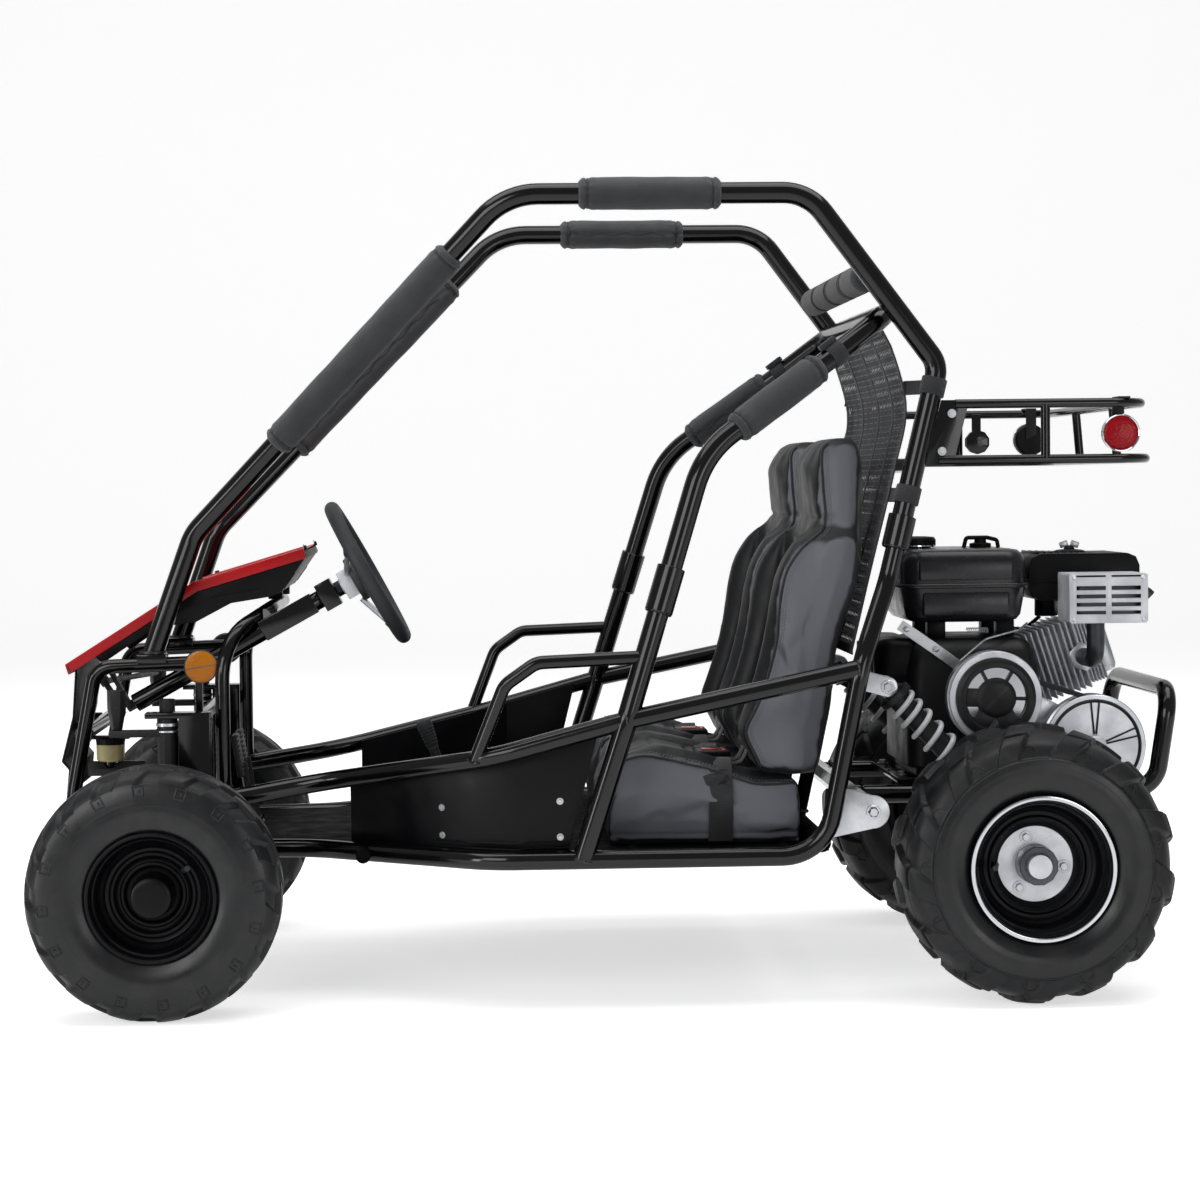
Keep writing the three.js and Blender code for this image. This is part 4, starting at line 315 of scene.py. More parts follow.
# Mesh helpers
# Gathers the rings and faces of one piece
class Build:
    def __init__(self):
        self.verts, self.faces, self.mats = [], [], []

    def add(self, verts, faces, mat=0):
        start = len(self.verts)
        self.verts += [Vector(v) for v in verts]
        self.faces += [[start + i for i in face] for face in faces]
        self.mats += [mat] * len(faces)
        return start

    def rings(self, rings, closed=False, capped=True, mat=0):
        count = len(rings[0])
        faces = []
        last = len(rings) if closed else len(rings) - 1
        for i in range(last):
            a, b = i * count, ((i + 1) % len(rings)) * count
            for k in range(count):
                n = (k + 1) % count
                faces.append([a + k, a + n, b + n, b + k])
        if capped and not closed:
            faces.append(list(range(count))[::-1])
            faces.append([(len(rings) - 1) * count + k for k in range(count)])
        return self.add([p for ring in rings for p in ring], faces, mat)

    # A tube of one radius, or of one radius for each point
    def tube(self, points, radius, segments=20, closed=False, mat=0):
        ways = []
        for i, point in enumerate(points):
            before = points[i - 1] if i or closed else point
            after = points[(i + 1) % len(points)] if i < len(points) - 1 or closed else point
            ways.append((after - before).normalized())
        side = ways[0].orthogonal().normalized()
        rings = []
        for i, (point, way) in enumerate(zip(points, ways)):
            side = (side - way * side.dot(way)).normalized()
            other = way.cross(side)
            r = (radius[i] if isinstance(radius, list) else radius) / 1000
            rings.append([point + onCircle(side, other, t) * r for t in angles(segments)])
        return self.rings(rings, closed, True, mat)

    # A turned form: profile rows are [distance along the way, radius]
    def turned(self, start, way, profile, segments=40, mat=0, closed=False):
        way = Vector(way).normalized()
        side = way.orthogonal().normalized()
        other = way.cross(side)
        rings = []
        for distance, radius in profile:
            centre = start + way * (distance / 1000)
            rings.append([centre + onCircle(side, other, t) * max(radius, 0.01) / 1000 for t in angles(segments)])
        return self.rings(rings, closed, True, mat)

    # A block with rounded edges, its axes given by a matrix
    def block(self, centre, half, rounding=2.0, turn=None, mat=0, steps=2):
        made = bmesh.new()
        bmesh.ops.create_cube(made, size=2)
        for vert in made.verts:
            vert.co = Vector([vert.co[i] * half[i] / 1000 for i in range(3)])
        bmesh.ops.bevel(made, geom=made.edges[:], offset=rounding / 1000, segments=steps, profile=0.5, affect="EDGES")
        self.take(made, Matrix.Translation(centre) @ (turn or Matrix.Identity(4)), mat)

    # A plate from an outline in X and Z, with softened edges
    def plate(self, outline, fromY, toY, rounding=1.0, mat=0):
        made = bmesh.new()
        face = made.faces.new([made.verts.new(place(x, fromY, z)) for x, z in outline])
        moved = bmesh.ops.extrude_face_region(made, geom=[face])["geom"]
        for vert in [g for g in moved if isinstance(g, bmesh.types.BMVert)]:
            vert.co.y = toY / 1000
        bmesh.ops.recalc_face_normals(made, faces=made.faces)
        if rounding:
            bmesh.ops.bevel(made, geom=made.edges[:], offset=rounding / 1000, segments=2, profile=0.5, affect="EDGES")
        self.take(made, Matrix.Identity(4), mat)

    def take(self, made, matrix, mat=0):
        made.verts.index_update()
        faces = [[v.index for v in face.verts] for face in made.faces]
        self.add([matrix @ v.co for v in made.verts], faces, mat)
        made.free()

    def mesh(self, name):
        made = bpy.data.meshes.new(name)
        made.from_pydata([tuple(v) for v in self.verts], [], self.faces)
        return made

    # An object for repeated() to copy; it never stands in the scene
    def unit(self, name):
        return bpy.data.objects.new(name, self.mesh(name))

    def done(self, name, finishes, body, slot, smooth=38, replaces=()):
        mesh = self.mesh(name)
        for polygon, mat in zip(mesh.polygons, self.mats):
            polygon.material_index = mat
        return settled(name, mesh, finishes, body, smooth, replaces)


def settled(name, mesh, finishes, body, smooth=38, replaces=()):
    made = linked(name, mesh)
    for finish in [finishes] if isinstance(finishes, str) else finishes:
        mesh.materials.append(materials[finish])
    facedOut(mesh)
    mesh.shade_smooth()
    mesh.set_sharp_from_angle(angle=math.radians(smooth))
    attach(made, body)
    if replaces:
        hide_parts(*replaces)
    return made


# Straight runs with a round bend at each inner corner
def bentLine(corners, bends, steps=9):
    points = [corners[0]]
    for i in range(1, len(corners) - 1):
        radius = (bends[i - 1] if isinstance(bends, (list, tuple)) else bends) / 1000
        into = (corners[i] - corners[i - 1]).normalized()
        out = (corners[i + 1] - corners[i]).normalized()
        turn = into.angle(out)
        if turn < 0.01 or not radius:
            points.append(corners[i])
            continue
        reach = radius * math.tan(turn / 2)
        centre = corners[i] + (out - into).normalized() * radius / math.cos(turn / 2)
        axis = into.cross(out).normalized()
        arm = corners[i] - into * reach - centre
        points += [centre + Matrix.Rotation(turn * k / steps, 3, axis) @ arm for k in range(steps + 1)]
    return points + [corners[-1]]


def distanceTo(line, point):
    best = 9.0
    for a, b in zip(line, line[1:]):
        run = b - a
        share = max(0.0, min(1.0, (point - a).dot(run) / max(run.length_squared, 1e-12)))
        best = min(best, (a + run * share - point).length)
    return best


# A copy of a CAD node's mesh with softened edges, less the tubes that finer ones stand for
def softened(nodeName, width, runs=(), sharp=25):
    source = bmesh.new()
    source.from_mesh(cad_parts[nodeName].data)
    bmesh.ops.remove_doubles(source, verts=source.verts, dist=1e-5)
    for line, radius in runs:
        inside = {v for v in source.verts if distanceTo(line, v.co) <= (radius + 0.5) / 1000}
        gone = [f for f in source.faces if all(v in inside for v in f.verts)]
        bmesh.ops.delete(source, geom=gone, context="FACES")
    bmesh.ops.dissolve_limit(source, angle_limit=math.radians(1.5), verts=source.verts, edges=source.edges)
    if width:
        edges = [e for e in source.edges if len(e.link_faces) == 2 and e.calc_face_angle(0) > math.radians(sharp)]
        bmesh.ops.bevel(source, geom=edges, offset=width / 1000, segments=2, profile=0.6, affect="EDGES",
                        clamp_overlap=False)
    build = Build()
    build.take(source, Matrix.Identity(4))
    return build


# Turns a tree of geometry nodes into plain mesh: one unit at every point, turned to the point's way
def repeated(name, spots, unit, finish, body, seed=1, spins=1.0):
    carrier = bpy.data.meshes.new(name + " places")
    carrier.from_pydata([tuple(p) for p, _, _ in spots], [], [])
    carrier.attributes.new("turn", "FLOAT_VECTOR", "POINT")
    carrier.attributes.new("size", "FLOAT", "POINT")
    turns, sizes = carrier.attributes["turn"], carrier.attributes["size"]
    for i, (_, way, size) in enumerate(spots):
        facing = way if isinstance(way, Matrix) else Vector(way).to_track_quat("Z", "Y")
        turns.data[i].vector = facing.to_euler()
        sizes.data[i].value = size
    holder = linked(name + " holder", carrier)
    tree = bpy.data.node_groups.new(name + " tree", "GeometryNodeTree")
    for label, kind in (("Geometry", "Geometry"), ("Unit", "Object"), ("Finish", "Material"), ("Seed", "Int")):
        tree.interface.new_socket(label, in_out="INPUT", socket_type="NodeSocket" + kind)
    tree.interface.new_socket("Geometry", in_out="OUTPUT", socket_type="NodeSocketGeometry")
    given = addNode(tree, "NodeGroupInput").outputs
    turn, size = [addNode(tree, "GeometryNodeInputNamedAttribute", {"Name": key}, data_type=kind).outputs[0]
                  for key, kind in (("turn", "FLOAT_VECTOR"), ("size", "FLOAT"))]
    unitMesh = addNode(tree, "GeometryNodeObjectInfo", {"Object": given["Unit"]}).outputs["Geometry"]
    spin = addNode(tree, "FunctionNodeRandomValue", {"Seed": given["Seed"]}, data_type="FLOAT")
    spin.inputs[3].default_value = 2 * math.pi * spins
    axis = addNode(tree, "ShaderNodeCombineXYZ", {"Z": spin.outputs[1]}).outputs[0]
    facing = addNode(tree, "FunctionNodeEulerToRotation", {0: turn}).outputs[0]
    around = addNode(tree, "FunctionNodeEulerToRotation", {0: axis}).outputs[0]
    whole = addNode(tree, "FunctionNodeRotateRotation", {0: facing, 1: around}, rotation_space="LOCAL").outputs[0]
    inputs = {"Points": given["Geometry"], "Instance": unitMesh, "Rotation": whole, "Scale": size}
    copies = addNode(tree, "GeometryNodeInstanceOnPoints", inputs).outputs[0]
    plain = addNode(tree, "GeometryNodeRealizeInstances", {0: copies}).outputs[0]
    inked = addNode(tree, "GeometryNodeSetMaterial", {0: plain, "Material": given["Finish"]}).outputs[0]
    addNode(tree, "NodeGroupOutput", {0: inked})
    modifier = holder.modifiers.new("copies", "NODES")
    modifier.node_group = tree
    keys = {item.name: item.identifier for item in tree.interface.items_tree if item.in_out == "INPUT"}
    for key, value in (("Unit", unit), ("Finish", materials[finish]), ("Seed", seed)):
        modifier[keys[key]] = value
    bpy.context.view_layer.update()
    mesh = evaluated(holder)
    bpy.data.objects.remove(holder)
    mesh.materials.clear()
    return settled(name, mesh, finish, body, 30)


# Units that repeated() copies: a hexagon bolt head on its washer, about 1 mm a size unit
def boltUnit():
    unit = Build()
    unit.turned(Vector((0, 0, 0)), (0, 0, 1), [[0, 1.0], [0.12, 1.0], [0.16, 0.96]], 24)
    unit.turned(Vector((0, 0, 0)), (0, 0, 1), [[0.1, 0.66], [0.62, 0.66], [0.7, 0.58]], 6)
    return unit.unit("bolt unit")


boltHead = boltUnit()


def bolts(name, spots, finish, body):
    return repeated(name, spots, boltHead, finish, body)


# Main frame tubes, in shares of the wheelbase, half width and cage height
tubes = {
    "rail": [(0.0484, 0.505, 0.1853), (0.174, 0.548, 0.1853), (0.379, 0.97, 0.1853), (0.757, 0.973, 0.1853),
             (0.802, 0.973, 0.426), (0.8366, 0.8579, 0.5175), (0.8515, 0.8425, 0.5793)],
    "hip": [(0.0598, 0.64, 0.25), (0.186, 0.605, 0.272), (0.379, 0.973, 0.311), (0.535, 1, 0.356),
            (0.797, 0.973, 0.413)],
    "post": [(0.482, 0.973, 0.1853), (0.533, 1, 0.354), (0.5765, 0.96, 0.505)],
    "door": [(0.362, 0.955, 0.307), (0.396, 0.998, 0.4), (0.432, 1, 0.427), (0.559, 0.985, 0.432)],
    "cage": [(-0.0185, 0.505, 0.42), (0.0357, 0.49, 0.584), (0.4055, 0.775, 1), (0.7527, 0.781, 0.9995),
             (0.901, 0.792, 0.785), (0.85165, 0.84242, 0.57995)],
    "hoop": [(0.5768, 0.9597, 0.5058), (0.6263, 0.9141, 0.678), (0.775, 0.787, 0.793), (0.845, 0.7155, 0.85)],
    "nose": [(0.0465, 0.505, 0.1853), (-0.118, 0.505, 0.1853), (-0.107, 0.505, 0.267), (-0.081, 0.505, 0.4175),
             (0.072, 0.505, 0.4225)],
}
bends = {"rail": (120, 120, 75, 160, 100), "hip": (150, 150, 300), "post": 200, "door": 35, "cage": (70, 110, 75, 40),
         "hoop": (150, 300, 45), "nose": (20, 60, 30)}
radii = {"rail": 14, "hip": 14, "post": 16, "door": 10, "cage": 16, "hoop": 16, "nose": 11}
frameFinish = ("gloss black stoved paint", "painted weld bead", "zinc plated steel")


def tubeLine(kind, side, steps=9):
    return bentLine([shared(spot, side) for spot in tubes[kind]], bends[kind], steps)


# A welded joint: a low ring of ripples where a tube meets its neighbour
def weld(build, spot, way, radius, mat=1):
    way = Vector(way).normalized()
    side = way.orthogonal().normalized()
    other = way.cross(side)
    ring = [spot + onCircle(side, other, t) * radius / 1000 for t in angles(48)]
    build.tube(ring, [2.3 + 0.7 * math.sin(k * math.pi / 1.5) for k in range(48)], 8, True, mat)


def crossing(build, a, b, radius):
    build.tube([a, b], radius, 22)


def hidden(kind, side):
    return tubeLine(kind, side, 1), radii[kind]


# Where a line first passes a value along one axis (0 for X, 2 for Z), and the line's way there
def passing(line, axis, value):
    for a, b in zip(line, line[1:]):
        if (a[axis] - value) * (b[axis] - value) <= 0 and abs(a[axis] - b[axis]) > 1e-6:
            return a.lerp(b, (value - a[axis]) / (b[axis] - a[axis])), (b - a).normalized()
    return line[-1], (line[-1] - line[-2]).normalized()


def onLine(line, x):
    return passing(line, 0, axleX + x / 1000)


for name, side in sides:
    kinds = ("rail", "hip", "post", "door")
    sleeves = []
    for kind, reach, back in (("rail", 24, 24), ("post", 44, 24)):
        line = tubeLine(kind, side)
        way = (line[-1] - line[-2]).normalized()
        sleeves.append((line[-1] - way * back / 1000, line[-1] + way * reach / 1000, way))
    runs = [hidden(k, side) for k in kinds] + [((a, b), 23.2) for a, b, _ in sleeves]
    build = softened(f"side_frame_{name}", 0.8, runs)
    for kind in kinds:
        build.tube(tubeLine(kind, side), radii[kind], 24)
    for a, b, way in sleeves:
        long = (b - a).length * 1000
        build.turned(a, way, [[0, 17], [0, 20], [0.8, 20.8], [long - 0.8, 20.8], [long, 20], [long, 17]], 32)
        weld(build, a, way, 17.5)
    for kind, end, way, radius in (
        ("hip", -1, (1, 0, 0.12), 14.4), ("post", 0, (0.3, 0, 1), 16.6), ("door", 0, (0.2, 0.2 * side, 1), 10.4),
        ("door", -1, (1, 0, 0), 10.4), ("hip", 0, (1, 0, 0.1), 14.4),
    ):
        weld(build, shared(tubes[kind][end], side), way, radius)
    crossed, way = onLine(tubeLine("hip", side), 0.533 * wheelbase)
    weld(build, crossed, way, 15)
    build.done(f"side_frame_tubes_{name}", frameFinish, "chassis", "gloss_black_paint", 40,
               [f"side_frame_{name}"])
print("side frames made")

# Front frame: nose hoops, towers, cross bars, dash hoop and steering column tube
column = {"foot": (-62, -200, 435), "angle": 28.7, "tube": 14, "from": 14, "to": 366}
tilt = math.radians(column["angle"])
columnWay = Vector((math.cos(tilt), 0, math.sin(tilt)))
columnUp = Vector((-math.sin(tilt), 0, math.cos(tilt)))


def onColumn(reach, up=0.0, across=0.0):
    return place(*column["foot"]) + (columnWay * reach + columnUp * up + Vector((0, across, 0))) / 1000


columnTurn = turnOf(columnWay, yWay, columnUp)
dash = bothSides([(88, 262, 318), (88, 262, 540), (158, 170, 584)])
bars = [((48, 320, 222), 11), ((48, 320, 416), 11), ((-124, 240, 398), 11)]
runs = [hidden("nose", side) for _, side in sides]
runs += [((place(x, -y, z), place(x, y, z)), r) for (x, y, z), r in bars]
runs += [(bentLine(dash, (90, 40, 40, 90), 1), 11),
         ((onColumn(column["from"]), onColumn(column["to"])), column["tube"])]
runs += [((place(56, side * 239.9, 500), place(56, side * 262, 500)), 26.5) for _, side in sides]
build = softened("front_frame", 1.2, runs)
for _, side in sides:
    build.tube(tubeLine("nose", side), 11, 24)
    weld(build, shared(tubes["nose"][0], side), (1, 0, 0), 11.5)
    weld(build, shared(tubes["nose"][-1], side), (1, 0, 0), 11.5)
    weld(build, place(88, side * 262, 318), (0, 0, 1), 11.5)
for (x, y, z), radius in bars:
    crossing(build, place(x, -y, z), place(x, y, z), radius)
    for side in (-1, 1):
        weld(build, place(x, side * (y - 12), z), (0, 1, 0), radius + 0.6)
build.tube(bentLine(dash, (90, 40, 40, 90)), 11, 24)
columnTube = [[0, 9], [0, 13.2], [0.8, column["tube"]], [351, column["tube"]], [352, 13.2], [352, 9]]
build.turned(onColumn(column["from"]), columnWay, columnTube, 32)
build.done("front_frame_tubes", frameFinish, "chassis", "gloss_black_paint", 40, ["front_frame"])

# Round amber side reflectors in rubber cups, with a bright rim and a pale line across each lens that is a painted
# highlight
for name, side in sides:
    build = Build()
    start = place(56, side * 249, 500)
    cup = [[0, 20], [1, 23.5], [8, 25.8], [10.4, 25.8], [10.9, 25.2], [10.9, 23.4]]
    build.turned(start, (0, side, 0), cup, 56, 1)
    build.turned(start, (0, side, 0), [[9.4, 24.4], [10.8, 24.2], [12.0, 20], [12.3, 10], [12.4, 0]], 56, 0)
    # the pale bar across the lens is a painted highlight, drawn in the thread colour
    paintedGlintSpots = ((-0.023, 0.0118, -0.004), (0, 0.0126, 0), (0.023, 0.0118, 0.004))
    build.tube([start + Vector((x, side * y, z)) for x, y, z in paintedGlintSpots], 0.7, 8, False, 2)
    build.done(f"amber_reflector_{name}", ("amber lens", "soft black rubber", "seat thread"), "chassis",
               "gloss_black_paint", 35)
print("front frame made")

# Floor, roll cage, seat hoop and rear rack
# Cross bars of the floor and bulkhead: [x, z, radius, reach to each side]
floorBars = [(300, 222, 11, 374.5), (700, 222, 11, 447), (925, 222, 11, 447), (975, 238, 14, 440),
             (1027, 475, 14, 389.5)]
cageBars = {"footLift": 13.5, "top": (1062, 14), "low": (792, 11)}


def rollCage():
    build = Build()
    for _, side in sides:
        line = tubeLine("cage", side)
        foot = (tubes["nose"][-1][2] * cageHeight + cageBars["footLift"]) / 1000
        spot, _ = passing(line, 2, foot)
        build.tube([spot] + [p for p in line if p.z > foot and p != spot], radii["cage"], 28)
        flange = [[0, 15], [0, 21], [3, 21], [3.6, 20], [3.6, 15]]
        build.turned(spot + Vector((0, 0, 0.0006)), (0, 0, 1), flange, 36, 1)
    line = tubeLine("cage", 1)
    top, _ = onLine(line, cageBars["top"][0])
    low, _ = passing(line[len(line) // 2:], 2, cageBars["low"][0] / 1000)
    for spot, radius in ((top, cageBars["top"][1]), (low, cageBars["low"][1])):
        crossing(build, Vector((spot.x, -spot.y, spot.z)), spot, radius)
        for side in (-1, 1):
            weld(build, Vector((spot.x, side * (spot.y - 0.0165), spot.z)), (0, 1, 0), radius + 0.6)
    build.done("roll_cage_tubes", frameFinish, "chassis", "gloss_black_paint", 40, ["roll_cage"])


rollCage()
build = Build()
left = [shared(spot, -1) for spot in tubes["hoop"]]
hoopLine = bentLine(left + [shared(spot, 1) for spot in reversed(tubes["hoop"])], bends["hoop"] + bends["hoop"][::-1])
build.tube(hoopLine, 16, 28)
build.done("seat_hoop_tube", frameFinish, "chassis", "gloss_black_paint", 40, ["seat_hoop"])

stays = [(place(975, side * 130, 238), place(1027, side * 130, 475)) for _, side in sides]
runs = [((place(x, -450, z), place(x, 450, z)), radius) for x, z, radius, _ in floorBars]
runs += [(stay, 11) for stay in stays]
build = softened("floor_frame", 0.8, runs)
for x, z, radius, reach in floorBars:
    crossing(build, place(x, -reach, z), place(x, reach, z), radius)
for (_, side), stay in zip(sides, stays):
    crossing(build, *stay, 11)
    for x, z in ((979, 254), (1023, 459)):
        weld(build, place(x, side * 130, z), (0.21, 0, 0.98), 11.5)
build.done("floor_and_bulkhead", ("dull floor paint", "painted weld bead"), "chassis", "satin_black_paint", 40,
           ["floor_frame"])

# Rails are [z, rear end, height of its plate on the cage's leg]
rack = {"rails": ((882, 1476, 888), (799, 1483, 790)), "y": 385, "tube": 7, "post": 1321, "corner": 60, "inY": 140,
        "plate": 21, "leg": 16.6}


def legX(z):
    spot, _ = passing([shared(tubes["cage"][4]), shared(tubes["cage"][5])], 2, z / 1000)
    return (spot.x - axleX) * 1000 + rack["leg"]


runs, lines = [], []
for z, endX, plateZ in rack["rails"]:
    corners = bothSides([(legX(plateZ) + rack["plate"], rack["y"], z), (endX, rack["y"], z)])
    runs.append((bentLine(corners, rack["corner"], 1), rack["tube"]))
    lines.append(bentLine(corners, rack["corner"]))
for _, side in sides:
    lines.append([place(rack["post"], side * rack["y"], z) for z, _, _ in rack["rails"]])
    lines.append([place(endX, side * rack["inY"], z) for z, endX, _ in rack["rails"]])
build = softened("rear_rack", 1.0, runs + [(line, rack["tube"]) for line in lines[2:]])
for line in lines:
    build.tube(line, rack["tube"], 20)
build.done("rear_rack_tubes", frameFinish, "chassis", "satin_black_paint", 40, ["rear_rack"])
bolts("rack_bolts", [(place(x, side * 388.4, z), (0, side, 0), 6.5)
                     for _, side in sides for x, z in ((legX(870) + 20, 868), (legX(812) + 20, 812))],
      "zinc plated steel", "chassis")
print("cage, hoop, floor and rack made")

# Wheels
wheelSizes = {
    "front": {"radius": 185.7, "width": 145, "rim": 86, "x": 0, "web": 12, "blocks": 16, "groove": 6.5},
    "rear": {"radius": 205, "width": 203, "rim": 99, "x": 1290, "web": 18, "blocks": 13, "groove": 8.0},
}
trackEdge, tyreSteps = 520, 480
# The tyre's section, from bead to crown: shares of the section's height and half width
tyreSection = [(0.0, 0.82), (0.07, 0.86), (0.2, 0.95), (0.35, 1.0), (0.5, 0.995), (0.64, 0.968), (0.76, 0.925),
               (0.86, 0.86), (0.93, 0.74), (0.975, 0.56), (0.995, 0.3), (1.0, 0.0)]


def smooth(value, start, end):
    t = max(0.0, min(1.0, (value - start) / (end - start)))
    return t * t * (3 - 2 * t)


def splined(rows, steps):
    out = []
    for i in range(len(rows) - 1):
        p0, p1, p2, p3 = rows[max(i - 1, 0)], rows[i], rows[i + 1], rows[min(i + 2, len(rows) - 1)]
        for k in range(steps):
            t = k / steps
            out.append(tuple(
                0.5 * (2 * b + (c - a) * t + (2 * a - 5 * b + 4 * c - d) * t * t + (3 * b - a - 3 * c + d) * t ** 3)
                for a, b, c, d in zip(p0, p1, p2, p3)))
    return out + [tuple(rows[-1])]


# How far the tread stands up from its groove floor, 0 to 1, at a turn share and a place across
def frontTread(turn, across, blocks):
    cell = turn * blocks
    edge = abs(across)
    if edge > 0.3:
        local = (cell + (0.5 if across > 0 else 0) + edge * 0.7) % 1.0
        lug = smooth(local, 0.1, 0.18) * (1 - smooth(local, 0.66, 0.74))
        return max(lug, smooth(edge, 0.64, 0.74))
    local = (cell + 0.35 * math.sin(across * 9)) % 1.0
    return smooth(local, 0.06, 0.14) * (1 - smooth(local, 0.74, 0.82)) * (1 - smooth(edge, 0.22, 0.27))


def rearTread(turn, across, blocks):
    edge = abs(across)
    if edge > 0.97:
        return 0.0
    skew = 0.55 * edge
    cell = (turn * blocks + skew + (0.5 if across > 0 else 0.0)) % 1.0
    bar = smooth(cell, 0.12, 0.17) * (1 - smooth(cell, 0.52, 0.57))
    if edge > 0.78:
        return bar * (1 - smooth(edge, 0.93, 0.97))
    if edge < 0.1:
        return bar * 0.9
    split = smooth(abs(edge - 0.45), 0.015, 0.04)
    return bar * split


# What the mould leaves on the sidewall: raised square frames in front, half moons and a fine ring behind
moulding = {
    "front": {"radius": 155, "frame": 7.2, "line": 2.0, "lift": 0.7},
    "rear": {"ring": 160, "radius": 174, "moon": 15, "line": 1.4, "lift": 0.3},
}


def moulded(build, end, side, centre):
    rubber = BVHTree.FromPolygons(build.verts, build.faces)
    shape = moulding[end]

    def laid(radius, turn, face):
        spot = centre + Vector((math.sin(turn) * radius, face * 300, math.cos(turn) * radius)) / 1000
        hit = rubber.ray_cast(spot, Vector((0, -face, 0)))
        return hit[0] + hit[1] * shape["lift"] / 1000 if hit[0] else None

    def line(points, closed=False):
        if all(points):
            build.tube(points, shape["line"], 6, closed, 0)

    for face in (-1, 1):
        for k in range(wheelSizes[end]["blocks"]):
            turn = 2 * math.pi * (k + (0.25 if face > 0 else 0.75)) / wheelSizes[end]["blocks"]
            if end == "front":
                half, radius = shape["frame"], shape["radius"]
                corners = [(-half, -half), (half, -half), (half, half), (-half, half)]
                sides = [(a, b, s / 3) for a, b in zip(corners, corners[1:] + corners[:1]) for s in range(3)]
                line([laid(radius + a[0] + (b[0] - a[0]) * s, turn + (a[1] + (b[1] - a[1]) * s) / radius, face)
                      for a, b, s in sides], True)
                line([laid(radius + s * half / 3, turn + 1.5 / radius, face) for s in (-1, 0, 1)])
            else:
                radius, moon = shape["radius"], shape["moon"]
                bow = [math.pi * (0.1 + 0.8 * s / 9) for s in range(10)]
                line([laid(radius + moon * (math.sin(t) - 0.6), turn + 0.9 * moon * math.cos(t) / radius, face)
                      for t in bow])
                line([laid(radius + moon * (0.5 - s / 4), turn + (0.2 * moon + s) / radius, face) for s in range(5)])
        if end == "rear":
            line([laid(shape["ring"], turn, face) for turn in angles(120)], True)


def wheelBody(end, name):
    return f"front_wheel_{name}" if end == "front" else "rear_axle"


def wheelCentre(end, side):
    size = wheelSizes[end]
    return place(size["x"], side * (trackEdge - size["width"] / 2), 0) + Vector((0, 0, (size["radius"] - 2) / 1000))


def tyrePiece(end, name, side):
    size = wheelSizes[end]
    half, height = size["width"] / 2, size["radius"] - size["rim"]
    centre = wheelCentre(end, side)
    outer = splined(tyreSection, 6 if end == "rear" else 5)
    outer = outer + [(h, -w) for h, w in outer[-2::-1]]
    rings = []
    tread = frontTread if end == "front" else rearTread
    for i in range(tyreSteps):
        turn = i / tyreSteps
        angle = 2 * math.pi * turn
        ring = []
        for h, w in outer:
            r = size["rim"] + height * h
            y = half * w
            depth = 0.0
            if h > 0.58:
                # the place across is measured along the section, from the crown to the shoulder
                across = (1 - (h - 0.58) / 0.42) * 0.5 + abs(w) * 0.5
                across = min(1.0, across * 1.02) * (1 if w > 0 else -1)
                depth = (1 - tread(turn, across, size["blocks"])) * size["groove"] * smooth(h, 0.58, 0.66)
            ribs = 0.35 * math.exp(-((h - 0.5) / 0.012) ** 2) + 0.6 * math.exp(-((h - 0.12) / 0.02) ** 2)
            if end == "rear":
                ribs += 0.4 * math.exp(-((h - 0.28) / 0.01) ** 2)
            y += (ribs - depth * 0.45 * (abs(w) > 0.5)) * (1 if w > 0 else -1)
            r -= depth * (0.95 if abs(w) < 0.93 else 0.6)
            x, z = r * math.sin(angle), r * math.cos(angle)
            spot = centre + Vector((x / 1000, side * y / 1000, z / 1000))
            spot.z = max(spot.z, 0.0003)
            ring.append(spot)
        inner = size["rim"] - 1.2
        ring += [centre + Vector((inner * math.sin(angle) / 1000, s * side * half * 0.8 / 1000,
                                  inner * math.cos(angle) / 1000))
                 for s in (-1, 1)]
        rings.append(ring)
    build = Build()
    build.rings(rings, closed=True)
    heights = [h for h, w in outer] + [0.0, 0.0]
    plain = 0.8 if end == "front" else 0.6
    build.mats = [int(heights[i % len(heights)] < plain) for i in range(len(build.mats))]
    moulded(build, end, side, centre)
    build.done(f"{end}_tyre_rubber_{name}", ("tyre rubber", "moulded sidewall rubber"), wheelBody(end, name),
               "tyre_rubber", 42, [f"{end}_tyre_{name}"])


# Rim rows: [place outward from the wheel's middle, radius]
rimRows = {
    "front": [
        [66.5, 95], [69.5, 94], [70, 90], [66, 87.5], [60, 85], [57, 82], [50, 80], [38, 78.5], [34, 76], [30, 71],
        [27, 69], [26, 64], [28.5, 61.5], [28.5, 57], [24, 54], [22, 49], [24.5, 46.5], [24.5, 42], [20, 39.5],
        [19, 33],
    ],
    "rear": [
        [93, 108], [97, 107], [97.5, 102], [93, 99.5], [85, 97.5], [80, 94], [70, 91], [58, 89.5], [50, 87], [45, 82],
        [42, 79], [41, 74], [44, 71.5], [44, 68], [36, 65], [30, 60], [27.5, 54], [26, 46], [25, 30],
    ],
}


